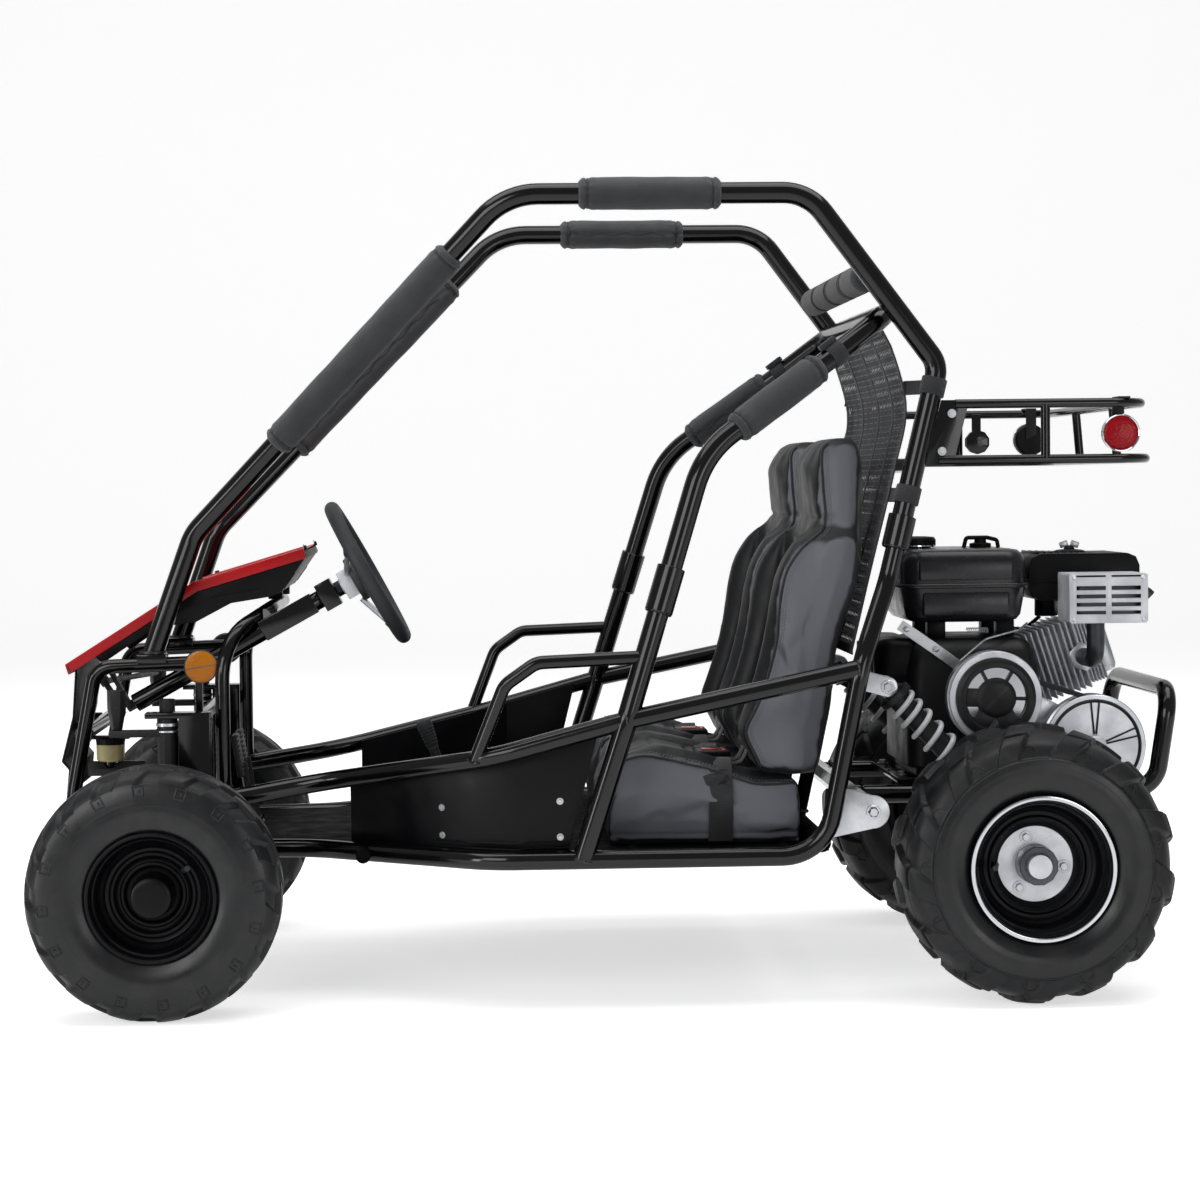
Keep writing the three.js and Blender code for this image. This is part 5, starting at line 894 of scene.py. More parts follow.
def rimPiece(end, name, side):
    size, centre = wheelSizes[end], wheelCentre(end, side)
    way = (0, side, 0)
    build = Build()
    rows = splined([tuple(row) for row in rimRows[end]], 4)
    back = size["width"] / 2 - (16 if end == "rear" else 13)
    inner, web = size["rim"] - 5, size["web"]
    if end == "front":
        rows += [[web, 30], [web, 24], [-35, 24], [-35, 27], [web - 4, 27], [web - 4, inner - 16]]
        rows += [[web + 8, inner - 6], [20, inner - 3]]
    else:
        rows += [[web + 2, 28.5], [web, 28.5], [web, inner - 20], [web + 10, inner - 8], [30, inner - 3]]
    rim = size["rim"]
    rows += [[0, inner - 3], [-back + 14, inner - 1.5], [-back + 4, inner + 2], [-back, inner + 11],
             [-back - 3, inner + 12], [-back - 3, inner + 9], [-back + 1, inner + 4], [-back + 8, rim - 1.5],
             [-30, rim - 2.5], [30, rim - 2.5], [back - 8, rim - 1.5], [back + 1, rim + 6],
             [rows[0][0] - 2, rows[0][1]]]
    build.turned(centre, way, rows, 112, 0, closed=True)
    finish = ("black enamel sheet", "chrome plate", "zinc plated steel", "soft black rubber")
    axis = Vector(way)

    def around(radius, degrees, out):
        t = math.radians(degrees)
        return centre + Vector((math.cos(t) * radius, 0, math.sin(t) * radius)) / 1000 + axis * out / 1000

    if end == "front":
        # plain cap over the spindle nut
        cap = [[18, 33], [22, 32.5], [30, 31.5], [52, 30.5], [60, 30], [64, 28.5], [66, 25], [66.5, 20], [66.3, 0]]
        build.turned(centre, way, cap, 64)
        valve = around(57, 38, 22)
        stem = around(59, 38, 46) + Vector((0.004, 0, 0.003))
    else:
        # the outer edge of the rim is left bright
        lip = [[94.2, 101.5], [97.9, 101.3], [98.3, 103.8], [97.9, 106.6], [94.2, 107.6]]
        build.turned(centre, way, lip, 112, 1, closed=True)
        valve = around(60, 180, 34)
        stem = around(60, 180, 66) + Vector((-0.006, 0, 0))
    build.tube([valve, valve.lerp(stem, 0.5), stem], [5.2, 3.6, 3.4], 16, False, 3)
    build.turned(stem, (stem - valve), [[0, 4.3], [1, 4.6], [8, 4.4], [9, 3.6]], 16, 3)
    build.done(f"{end}_rim_sheet_{name}", finish, wheelBody(end, name), "rim_paint", 34, [f"{end}_rim_{name}"])


for name, side in sides:
    for end in wheelSizes:
        tyrePiece(end, name, side)
        rimPiece(end, name, side)
print("wheels made")

# Rear axle: hub plates with three studs, hub tubes, sprocket and disc
axle = {"z": 203, "web": 440.8, "studs": (109, -6, 235), "studAt": 0.042, "teeth": 28, "pitch": 81.5, "tooth": 2.6}


def rearAxle():
    centre = place(wheelbase, 0, axle["z"])
    build = Build()
    build.turned(centre, (0, 1, 0), [[-478, 15], [478, 15]], 36, 0)
    spots = []
    for _, side in sides:
        web = axle["web"]
        hub = [[400, 15], [400, 26], [401.5, 28], [web, 28], [web, 55.8], [web + 1.2, 57], [web + 4.8, 57],
               [web + 6, 55.8], [web + 6, 30], [web + 9, 28.5], [471, 27], [473, 25.5], [473, 20], [474, 19.3],
               [486, 19], [488, 17.5], [488, 0]]
        nut = [[471, 20], [471, 29], [477, 29], [478, 28], [478, 20]]
        build.turned(centre, (0, side, 0), hub, 72, 0)
        build.turned(centre, (0, side, 0), nut, 12, 2, closed=True)
        spots += [(centre + spokeAt(math.radians(a))[0] * axle["studAt"] + yWay * side * (web + 6) / 1000,
                   (0, side, 0), 9.5)
                  for a in axle["studs"]]
    teeth = []
    for t in angles(axle["teeth"] * 6):
        reach = axle["pitch"] + axle["tooth"] * math.cos(axle["teeth"] * t)
        teeth.append((wheelbase + reach * math.cos(t), axle["z"] + reach * math.sin(t)))
    build.plate(teeth, -174.5, -169.5, 0, 0)
    build.turned(centre, (0, 1, 0), [[148, 15], [148, 79], [148.4, 80], [151.6, 80], [152, 79], [152, 15]], 96, 1)
    build.done("rear_axle_steel", ("zinc plated steel", "chrome plate", "dark exhaust steel"), "rear_axle",
               "zinc_steel", 34, ["rear_axle"])
    bolts("hub_nuts", spots, "zinc plated steel", "rear_axle")


rearAxle()
print("axle made")

# Soft goods
# Foam pads: a laced cover round a straight run of tube, drawn in by a tie near each end
padRuns = [("pillar_pad", "cage", 1, (0.27, 0.83)), ("roof_pad", "cage", 2, (0.24, 0.71)),
           ("hoop_pad", "hoop", 1, (0.25, 0.93))]
padding = {"radius": 24.0, "core": 17.2, "bore": 16.3, "tie": 13.0, "tieDepth": 3.4, "seam": 30.0, "wrinkle": 0.9,
           "laceStep": 22, "lace": 23.6}


def padPiece(name, kind, run, reach, sideName, side):
    a, b = shared(tubes[kind][run], side), shared(tubes[kind][run + 1], side)
    start, end = a.lerp(b, reach[0]), a.lerp(b, reach[1])
    length = (end - start).length * 1000
    way = (end - start).normalized()
    flat = Vector((0, side, 0)) - way * way.dot(Vector((0, side, 0)))
    flat.normalize()
    other = way.cross(flat)

    def onPad(along, turn, radius):
        return start + way * along / 1000 + onCircle(flat, other, turn) * radius / 1000

    build = Build()
    rings = []
    count, steps = 56, max(40, int(length / 4))
    rng = random.Random(len(name) * 7 + side)
    offset = Vector((rng.random() * 9, rng.random() * 9, rng.random() * 9))
    for i in range(steps + 1):
        t = length * i / steps
        edge = min(t, length - t)
        r = padding["core"] + (padding["radius"] - padding["core"]) * smooth(edge, -1.5, 7)
        r -= padding["tieDepth"] * math.exp(-((edge - padding["tie"]) / 3.0) ** 2)
        r -= 1.0 * math.exp(-((edge - padding["seam"]) / 1.6) ** 2)
        ring = []
        for turn in angles(count):
            sample = Vector((t / 42, math.cos(turn) * 1.3, math.sin(turn) * 1.3))
            bump = noise.noise(sample + offset) * padding["wrinkle"]
            near = math.exp(-((edge - padding["tie"]) / 9.0) ** 2)
            bump += near * 0.7 * math.sin(turn * 11 + 2 * bump)
            # the lacing draws the two edges of the cover together on the inner side
            lace = abs(((turn / (2 * math.pi)) % 1.0) - 0.5)
            bump -= 2.2 * math.exp(-((lace * 2 * math.pi * r) / 4.0) ** 2)
            ring.append(onPad(t, turn, r + bump))
        rings.append(ring)
    inner = [[onPad(t, turn, padding["bore"]) for turn in angles(count)] for t in (length, 0)]
    build.rings(rings + inner, closed=True)
    made = build.done(f"{name}_cover_{sideName}", "charcoal woven pad cover", "chassis", "pad_fabric", 50,
                      [f"{name}_{sideName}"])
    laces = Build()
    for edge in (padding["tie"], length - padding["tie"]):
        laces.tube([onPad(edge, turn, 21.9) for turn in angles(40)], 1.1, 8, True)
        knot = start + way * edge / 1000 - flat * 0.0228
        laces.block(knot, (2.6, 2.2, 1.8), 0.7, turnOf(way, other, flat))
        tail = [knot, knot - flat * 0.006 + other * 0.004, knot - flat * 0.011 + other * 0.010 + way * 0.004]
        laces.tube(bentLine(tail, 5, 4), 0.9, 8)
    step = padding["laceStep"]
    along = [24 + i * step for i in range(int(length / step)) if 24 + i * step < length - step]
    laces.tube([onPad(t, math.pi + (0.13 if i % 2 else -0.13), padding["lace"]) for i, t in enumerate(along)], 0.8, 6)
    laces.done(f"{name}_laces_{sideName}", "black webbing", "chassis", "pad_fabric", 50)


for name, kind, run, reach in padRuns:
    for sideName, side in sides:
        padPiece(name, kind, run, reach, sideName, side)
# The rear roof bar wears four foam sleeves, pinched between ties
barSpot, _ = onLine(tubeLine("cage", 1), 1062)
build = Build()
laces = Build()
reach = barSpot.y * 1000 - 40
count = 4
for k in range(count):
    start = -reach + 2 * reach * k / count
    length = 2 * reach / count - 5
    rows = []
    for i in range(25):
        t = length * i / 24
        edge = min(t, length - t)
        swell = 15 + 7.5 * smooth(edge, -1, 9) + 0.6 * math.sin(i * 1.9 + k)
        rows.append([start + t, swell])
    build.turned(Vector((barSpot.x, 0, barSpot.z)), (0, 1, 0), [[start, 14.2]] + rows + [[start + length, 14.2]], 44,
                 closed=True)
    for t in (start + 9, start + length - 9):
        laces.tube([Vector((barSpot.x, t / 1000, barSpot.z)) + spokeAt(a)[0] * 0.0214 for a in angles(36)], 1.5, 8,
                   True)
made = build.done("roof_bar_sleeves", "charcoal woven pad cover", "chassis", "pad_fabric", 50)
# A webbing band with its buckle goes round the hoop's top tube
for _, side in sides:
    spot, way = onLine(tubeLine("hoop", side), 1010)
    band = [[0, 14], [0, 17.6], [1, 18.4], [23, 18.4], [24, 17.6], [24, 14]]
    laces.turned(spot - way * 0.012, way, band, 40, closed=True)
    over = way.cross(yWay)
    laces.block(spot + over * 0.0215, (13, 15, 4.2), 1.6, turnOf(yWay, way, over))
laces.done("roof_bar_ties", "black webbing", "chassis", "pad_fabric", 50)
print("pads made")

# Bucket seats: rows of [place, back or floor level, bolster level, centre level, width share]
seat = {"y": 205, "half": 180, "floor": 230.6, "sidePull": 0.93, "cap": 7.0, "pressure": 4.0, "shrink": 3.0,
        "voxel": 6.5}
backRows = [
    (330.3, 972, 897, 897, 0.93), (340, 978, 884, 886, 0.98), (352, 979, 877, 879, 1), (396, 989, 860, 912, 1),
    (438, 998, 877, 934, 1), (482, 1003, 894, 944, 1), (540, 1014, 908, 960, 1), (600, 1034, 917, 974, 1),
    (643, 1045, 930, 984, 0.98), (684, 1050, 960, 982, 0.92), (709, 1052, 988, 988, 0.78),
    (760, 1054, 987, 984, 0.73), (812, 1054, 986, 981, 0.67), (832, 1050, 996, 993, 0.62),
    (841, 1043, 1014, 1014, 0.55),
]
cushionRows = [
    (662, 230, 322, 322, 0.93), (670, 230, 350, 348, 0.96), (682, 230, 366, 360, 0.98), (712, 230, 374, 363, 1),
    (746, 230, 371, 360, 1), (814, 230, 356, 343, 1), (882, 230, 332, 328, 1), (928, 230, 329.5, 329.5, 0.98),
    (950, 230, 328, 328, 0.97), (957, 230, 320, 320, 0.95),
]
frontShares = [(-1, 0.5), (-0.97, 0.2), (-0.9, 0.02), (-0.78, 0), (-0.66, 0.12), (-0.56, 0.8), (-0.4, 1), (0, 1.04),
               (0.4, 1), (0.56, 0.8), (0.66, 0.12), (0.78, 0), (0.9, 0.02), (0.97, 0.2), (1, 0.5)]


def seatRings(rows, side, back):
    rings = []
    for spot, rear, bolster, centre, width in splined(rows, 4):
        ring = []
        for share, level in splined(frontShares, 3):
            y = side * seat["y"] + share * width * seat["half"]
            depth = bolster + (centre - bolster) * max(0.0, min(1.04, level))
            if abs(share) > 0.9:
                depth = bolster + (rear - bolster) * smooth(abs(share), 0.9, 1.0) * 0.45
            ring.append((spot, y, depth))
        pull = seat["sidePull"]
        for share in (1.0, pull, 0.6, 0.0, -0.6, -pull, -1.0):
            y = side * seat["y"] + share * width * seat["half"]
            lift = 0.28 if abs(share) == 1.0 else (0.03 if abs(share) == pull else 0.0)
            ring.append((spot, y, rear + (bolster - rear) * lift))
        rings.append([place(d, y, s) if back else place(s, y, d) for s, y, d in ring])
    return rings


clothing = {"quality": 6, "mass": 0.4, "tension_stiffness": 30, "compression_stiffness": 30, "shear_stiffness": 12,
            "bending_stiffness": 6, "use_pressure": True, "uniform_pressure_force": seat["pressure"]}


# A closed form is swelled like foam under its cover: remeshed, pressed out as cloth, and held within a cap
def swelled(name, rings, floorZ):
    build = Build()
    build.rings(rings)
    mesh = build.mesh(name)
    facedOut(mesh)
    made = linked(name + " former", mesh)
    remesh = made.modifiers.new("remesh", "REMESH")
    remesh.mode, remesh.voxel_size = "VOXEL", seat["voxel"] / 1000
    bpy.context.view_layer.update()
    shape = evaluated(made)
    made.modifiers.clear()
    made.data = shape
    rest = [v.co.copy() for v in shape.vertices]
    normals = [v.normal.copy() for v in shape.vertices]
    for vert, normal in zip(shape.vertices, normals):
        vert.co -= normal * seat["shrink"] / 1000
    cloth = made.modifiers.new("cloth", "CLOTH")
    for key, value in clothing.items():
        setattr(cloth.settings, key, value)
    cloth.settings.effector_weights.gravity = 0
    cloth.collision_settings.use_collision = False
    scene = bpy.context.scene
    for step in range(1, 21):
        scene.frame_set(step)
    puffed = evaluated(made)
    scene.frame_set(1)
    made.modifiers.clear()
    made.data = puffed
    for vert, home in zip(puffed.vertices, rest):
        move = vert.co - home
        if move.length > seat["cap"] / 1000:
            vert.co = home + move.normalized() * seat["cap"] / 1000
    level = floorZ / 1000
    for vert in made.data.vertices:
        if vert.co.z < level + 0.004:
            vert.co.z = level
    finer = made.modifiers.new("finer", "SUBSURF")
    finer.levels = 1
    bpy.context.view_layer.update()
    final = evaluated(made)
    bpy.data.objects.remove(made)
    return final


# Seams of the cushion and of the back, along the seat
seams = {"channels": ((740, 800, 860), (430, 500, 570, 640)), "run": ((690, 940), (390, 690)), "border": 104,
         "top": 716,
         "foot": 246}


# The depth of a seam at a place: its full depth in the middle, fading over its width
def pressed(depth, at, middle, width):
    return depth * math.exp(-((at - middle) / width) ** 2)


# Presses seams into the swelled cover and marks the paler side panels
def sewn(mesh, side, back):
    middle = side * seat["y"] / 1000
    mesh.update()
    marks = mesh.attributes.new("mark", "FLOAT", "POINT")
    normals = [v.normal.copy() for v in mesh.vertices]
    for i, (vert, normal) in enumerate(zip(mesh.vertices, normals)):
        x, y, z = (vert.co.x - axleX) * 1000, abs(vert.co.y - middle) * 1000, vert.co.z * 1000
        facing = -normal.x if back else normal.z
        depth = 0.0
        if facing > 0.25:
            along = z if back else x
            for channel in seams["channels"][back]:
                depth += pressed(3.6, along, channel, 4.0) * (1 - smooth(y, seams["border"] - 8, seams["border"]))
            first, last = seams["run"][back]
            if first < along < last:
                depth += pressed(4.2, y, seams["border"], 3.6)
            if back:
                depth += pressed(3.0, z, seams["top"], 4.0)
        if abs(normal.y) > 0.3 and not back:
            depth += pressed(1.6, z, seams["foot"], 3.0)
        vert.co -= normal * depth / 1000
        outward = normal.y * (1 if vert.co.y > middle else -1)
        marks.data[i].value = smooth(outward, 0.7, 0.86)
    mesh.update()


# The rounded border of the seat, as a welt with stitches along it, laid on the cover's surface
def welt(name, mesh, line):
    tree = treeOf(mesh)
    points = []
    for spot in line:
        found, normal, _, _ = tree.find_nearest(spot)
        points.append((found + normal * 0.0007, normal))
    build = Build()
    build.tube([p for p, _ in points], 2.1, 10)
    build.done(name + "_welt", "black webbing", "chassis", "seat_vinyl", 60)
    spots = []
    for offset in (6.0, 9.5):
        gathered = []
        for (p, n), (q, _) in zip(points, points[1:]):
            way = (q - p).normalized()
            across = n.cross(way).normalized()
            gathered.append((p + across * offset / 1000 * (1 if across.dot(Vector((1, 0, 0.2))) > 0 else -1), way))
        run = 0.0
        for (p, way), (q, _) in zip(gathered, gathered[1:]):
            gap = (q - p).length
            while run < gap:
                spot, normal, _, _ = tree.find_nearest(p + way * run)
                spots.append((spot + normal * 0.0002, way, 1.0))
                run += 0.0055
            run -= gap
    repeated(name + "_stitches", spots, stitchUnit, "seat thread", "chassis", 3)


def capsule():
    unit = Build()
    unit.turned(Vector((0, 0, -0.0019)), (0, 0, 1), [[0, 0.1], [0.2, 0.42], [1.9, 0.5], [3.6, 0.42], [3.8, 0.1]], 6)
    return unit.unit("stitch unit")


stitchUnit = capsule()
covers = {}
for name, side in sides:
    verts, polygons = [], []
    for part, rows, back in (("back", backRows, True), ("cushion", cushionRows, False)):
        mesh = swelled(f"seat {part} {name}", seatRings(rows, side, back), -100 if back else seat["floor"])
        sewn(mesh, side, back)
        made = settled(f"seat_{part}_cover_{name}", mesh, "seat vinyl", "chassis", 80,
                       [f"seat_{part}_{name}"])
        polygons += [[len(verts) + i for i in p.vertices] for p in mesh.polygons]
        verts += [v.co.copy() for v in mesh.vertices]
        for way in (-1, 1):
            edge = []
            for spot, rear, bolster, centre, width in splined(rows, 3)[3:-3]:
                y = side * seat["y"] + way * width * seat["half"] * 0.965
                edge.append(place(bolster + 6, y, spot) if back else place(spot, y, bolster - 5))
            welt(f"seat_{part}_{name}_{'outer' if way == side else 'inner'}", mesh, edge)
    covers[name] = BVHTree.FromPolygons(verts, polygons)
print("seats made")

# Body panels, controls and steering
def skinOf(node):
    return treeOf(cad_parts[node].data)


# Points laid on a node's skin, lifted by a length in millimetres
def onSkin(tree, points, lift):
    laid = []
    for point in points:
        found, normal, _, _ = tree.find_nearest(point)
        laid.append(found + normal * lift / 1000)
    return laid


# Places for screw heads on a skin, near the given points
def headsOn(tree, points, size):
    found = [tree.find_nearest(point) for point in points]
    return [(spot + normal * 0.0001, normal, size) for spot, normal, _, _ in found]


def between(a, b, steps):
    return [a.lerp(b, k / steps) for k in range(steps + 1)]


# Side panels: folded sheet with a pressed bead along the foot and dome screws
panel = {"bead": (300, 630), "z": 243, "y": 520, "screws": ((318, 291), (590, 303), (318, 250), (590, 250))}
for name, side in sides:
    node = f"side_panel_{name}"
    tree = skinOf(node)
    build = softened(node, 0.7, (), 20)
    line = between(*(place(x, side * panel["y"], panel["z"]) for x in panel["bead"]), 30)
    for lower, radius in ((0, 1.5), (0.009, 1.1)):
        build.tube(onSkin(tree, [p - Vector((0, 0, lower)) for p in line], 0.0), radius, 10)
    build.done(node + "_sheet", "black enamel sheet", "chassis", "black_plastic", 38, [node])
    spots = headsOn(tree, [place(x, side * panel["y"], z) for x, z in panel["screws"]], 5.2)
    bolts(f"panel_screws_{name}", spots, "zinc plated steel", "chassis")

# Nose cowl and its red top: moulded plastic with rolled edges and shallow ribs
cowl = {"side": 200, "rib": 0.9,
        "ribs": (((70, 603), (148, 616)), ((194, 604), (196, 640)), ((-112, 470), (-104, 512)))}
tree = skinOf("front_cowl")
build = softened("front_cowl", 1.5, (), 18)
for side in (-1, 1):
    for start, end in cowl["ribs"]:
        a, b = place(start[0], side * cowl["side"], start[1]), place(end[0], side * cowl["side"], end[1])
        build.tube(onSkin(tree, between(a, b, 12), 0.1), cowl["rib"], 8)
for z in (362, 405):
    build.tube(onSkin(tree, between(place(-190, -120, z), place(-190, 120, z), 24), 0.0), 1.4, 8)
build.done("front_cowl_moulding", "black moulded plastic", "chassis", "black_plastic", 38, ["front_cowl"])
tree = skinOf("hood_cover")
build = softened("hood_cover", 1.3, (), 18)
for y in (-78, 78):
    line = [place(x, y, z) for x, z in ((-120, 540), (-40, 600), (43, 640), (120, 680), (196, 690))]
    fine = [p for a, b in zip(line, line[1:]) for p in between(a, b, 8)[:-1]] + [line[-1]]
    build.tube(onSkin(tree, fine, -0.6), 2.4, 12)
build.done("hood_moulding", "red moulded plastic", "chassis", "red_plastic", 38, ["hood_cover"])
spots = headsOn(tree, [place(x, s * y, 800) for x, y in ((-120, 165), (0, 172), (186, 172)) for s in (-1, 1)], 6.0)
bolts("hood_screws", spots, "black moulded plastic", "chassis")

# Brake master: cast cylinder with a boot and banjo bolt, and a clouded fluid jar with a ribbed cap
master = {"x": -94, "y": -150, "jarFoot": 349, "cap": 375, "ribs": 24}


def onJar(z, out=0, turn=0):
    return place(master["x"] + out * math.cos(turn), master["y"] + out * math.sin(turn), z)


build = softened("brake_master", 0.8, [((onJar(349), onJar(400)), 23)])
build.turned(onJar(master["jarFoot"]), (0, 0, 1), [[0, 17], [2, 20.4], [4, 21.4], [26, 21.8], [27, 21.0]], 40, 1)
jarCap = [[0, 21.0], [0.4, 22], [9.6, 22], [11, 20.8], [12.4, 14], [13, 0.1]]
build.turned(onJar(master["cap"]), (0, 0, 1), jarCap, 40, 2)
for turn in angles(master["ribs"]):
    build.tube([onJar(master["cap"] + z, 22, turn) for z in (5, 10)], 0.8, 6, False, 2)
build.done("brake_master_body", ("satin black powder coat", "clouded reservoir plastic", "black moulded plastic"),
           "chassis", "reservoir_plastic", 38, ["brake_master"])

# Tail reflectors: a ribbed red lens in a chrome ring, and a black buzzer on its strap
tail = {"x": 1440, "z": 837, "near": 343, "far": 366}
for name, side in sides:
    onTail = lambda y: place(tail["x"], side * y, tail["z"])
    build = softened(f"tail_reflector_{name}", 0.6, [((onTail(tail["near"] - 1), onTail(tail["far"] + 2)), 29)])
    centre, way = onTail(tail["near"]), (0, side, 0)
    depth = tail["far"] - tail["near"]
    build.turned(centre, way, [[0, 0.1], [0, 24], [3, 27], [depth - 6, 27.6], [depth - 5, 0.1]], 56, 1)
    rimLine = [[-9, 27], [-8.5, 28.3], [-2.2, 28.3], [-1.4, 27.4], [-2.6, 25.8], [-8, 25.6]]
    build.turned(centre, way, [[depth + along, r] for along, r in rimLine], 56, 2, closed=True)
    lensRows = [[depth - 7, 25.8], [depth - 3.4, 25.7]]
    quarter = [math.pi / 2 * k / 9 for k in range(8, -1, -1)]
    lensRows += [[depth - 3.4 + 3.4 * math.cos(t), 25.6 * math.sin(t)] for t in quarter]
    build.turned(centre, way, lensRows, 56, 3)
    for ring in (8, 13, 18, 22.5):
        lift = depth - 3.4 + 3.4 * math.sqrt(max(0.0, 1 - (ring / 25.7) ** 2))
        rib = [centre + (spokeAt(t)[0] * ring + yWay * side * lift) / 1000 for t in angles(48)]
        build.tube(rib, 0.35, 6, True, 3)
    finish = ("satin black powder coat", "black moulded plastic", "chrome plate", "red lens")
    build.done(f"tail_reflector_{name}_body", finish, "chassis", "red_lens", 38, [f"tail_reflector_{name}"])

# Pedals: bent arms with ribbed rubber pads; the hand lever carries a tapered grip
pedals = {"brake_pedal": -215, "throttle_pedal": -130, "ribs": 9}
for node in ("brake_pedal", "throttle_pedal"):
    y = pedals[node]
    build = softened(node, 0.8)
    low, high = place(116, 0, 330), place(106, 0, 394)
    face = Vector((high.z - low.z, 0, low.x - high.x)).normalized()
    up = (high - low).normalized()
    for k in range(pedals["ribs"]):
        spot = low.lerp(high, (k + 0.5) / pedals["ribs"]) + face * 0.0002
        spot.y = y / 1000
        build.block(spot, (24, 2.1, 1.5), 0.9, turnOf(yWay, up, face), 1)
    build.done(node + "_body", ("satin black powder coat", "soft black rubber"), node, "satin_black_paint", 38,
               [node])
    spots = [(place(130, y + way * 10.2, 250), (0, way, 0), 8.5) for way in (-1, 1)]
    bolts(node + "_bolts", spots, "zinc plated steel", node)
leverFoot, leverTop = place(406, 0, 342), place(388, 0, 391)
build = softened("hand_lever", 0.6, [((place(410, 0, 332), place(386, 0, 397)), 13.5)])
way = (leverTop - leverFoot).normalized()
build.tube([leverFoot - way * 0.02, leverTop - way * 0.01], 7.6, 20)
grip = [[0, 7.8], [0.6, 8.6], [3, 8.8], [5, 8.6], [7, 9.6], [40, 12.4], [44, 12.6], [48.5, 11.2], [51, 7],
        [51.8, 0.1]]
build.turned(leverTop - way * 0.047, way, grip, 40, 1)
aside = way.orthogonal().normalized()
for k in range(6):
    centre, radius = leverTop - way * (0.037 - 0.0052 * k), 9.9 + 0.46 * k
    build.tube([centre + onCircle(aside, way.cross(aside), t) * radius / 1000 for t in angles(40)], 0.9, 6, True, 1)
build.done("hand_lever_body", ("satin black powder coat", "soft black rubber"), "hand_lever", "satin_black_paint", 38,
           ["hand_lever"])

# Steering: shaft and collar, clamp box, dished hub, spokes with sleeves and a padded rim with stitching
wheelSet = {"at": 422, "rim": 111.5, "grip": 11.5, "spokes": 3, "spoke": 4.4, "inner": 30, "depth": -28,
            "sleeve": 6.2,
            "stitches": 110}
build = softened("steering_shaft", 0.7)
build.done("steering_shaft_body", "satin black powder coat", "steering", "satin_black_paint", 38, ["steering_shaft"])
centre = onColumn(wheelSet["at"])


def onRim(radius, turn):
    return centre + onCircle(yWay, columnUp, turn) * radius / 1000


build = Build()
build.tube([onRim(wheelSet["rim"], t) for t in angles(96)], wheelSet["grip"] - 0.2, 26, True, 0)
seamAt = wheelSet["rim"] - wheelSet["grip"]
build.tube([onRim(seamAt + 0.3, t) - columnWay * 0.0002 for t in angles(96)], 0.7, 8, True, 3)
build.turned(onColumn(wheelSet["at"] - 46), columnWay, [[0, 12], [0.6, 13], [3, 13], [3, 0.1]], 36, 1)
build.block(onColumn(wheelSet["at"] - 34), (9.5, 25, 22), 1.6, columnTurn, 1)
for across in (-17, 17):
    for up in (-14, 14):
        build.turned(onColumn(wheelSet["at"] - 24.8, up, across), columnWay,
                     [[0, 4.2], [1.2, 4.2], [1.8, 3.4], [1.8, 0.1]], 12, 2)
boss = [[0, 34], [1.5, 35.4], [8, 35.6], [11.5, 33], [13.5, 27], [14.5, 14], [14.8, 0.1]]
build.turned(onColumn(wheelSet["at"] - 25), columnWay, boss, 56, 0)
for k in range(wheelSet["spokes"]):
    turn = -math.pi / 2 + 2 * math.pi * k / wheelSet["spokes"]
    way = onCircle(yWay, columnUp, turn)
    start = centre + columnWay * wheelSet["depth"] / 1000 + way * wheelSet["inner"] / 1000
    end = centre + way * (wheelSet["rim"] - 2) / 1000
    build.tube([start, end], wheelSet["spoke"], 16, False, 2)
    sleeve = [[0, 4.4], [0.5, wheelSet["sleeve"]], [30, wheelSet["sleeve"] + 2.4], [34, 6.0]]
    build.turned(start.lerp(end, 0.62), end - start, sleeve, 20, 0)
build.done("steering_wheel_body", ("soft black rubber", "cast aluminium", "zinc plated steel", "seat thread"),
           "steering", "black_rubber_grip", 38, ["steering_wheel"])
spots = [(onRim(seamAt + 0.1, t), onCircle(columnUp, -yWay, t) + columnWay * 0.9, 1.0)
         for t in angles(wheelSet["stitches"])]
repeated("steering_wheel_stitches", spots, stitchUnit, "seat thread", "steering", 5)

# Knuckles: kingpin tube with caps, the steering arm, and a stub axle with a machined shoulder
kingpin = {"x": 10, "y": 320, "rodX": -65, "rodZ": 441, "rings": ((163, 5), (418, 5), (408, 3), (173, 3))}
boot = [[0, 7], [0, 9.6], [2, 11.6], [4, 12.4], [6, 11.2], [8, 12], [10, 10.8], [12, 8.6], [12.4, 6]]
for name, side in sides:
    for part, width, second in (("knuckle", 0.9, "zinc plated steel"), ("tie_rod", 0.5, "soft black rubber")):
        node = f"{part}_{name}"
        build = softened(node, width)
        if part == "knuckle":
            for z, depth in kingpin["rings"]:
                ring = [[0, 14.8], [0.4, 16.6], [depth - 0.4, 16.6], [depth, 14.8]]
                build.turned(place(kingpin["x"], side * kingpin["y"], z - depth / 2), (0, 0, 1), ring, 40, 1)
        else:
            build.turned(place(kingpin["rodX"], side * kingpin["y"], kingpin["rodZ"]), (0, 0, 1), boot, 36, 1)
        build.done(node + "_body", ("satin black powder coat", second), node, "satin_black_paint", 38, [node])
print("panels, steering and controls made")

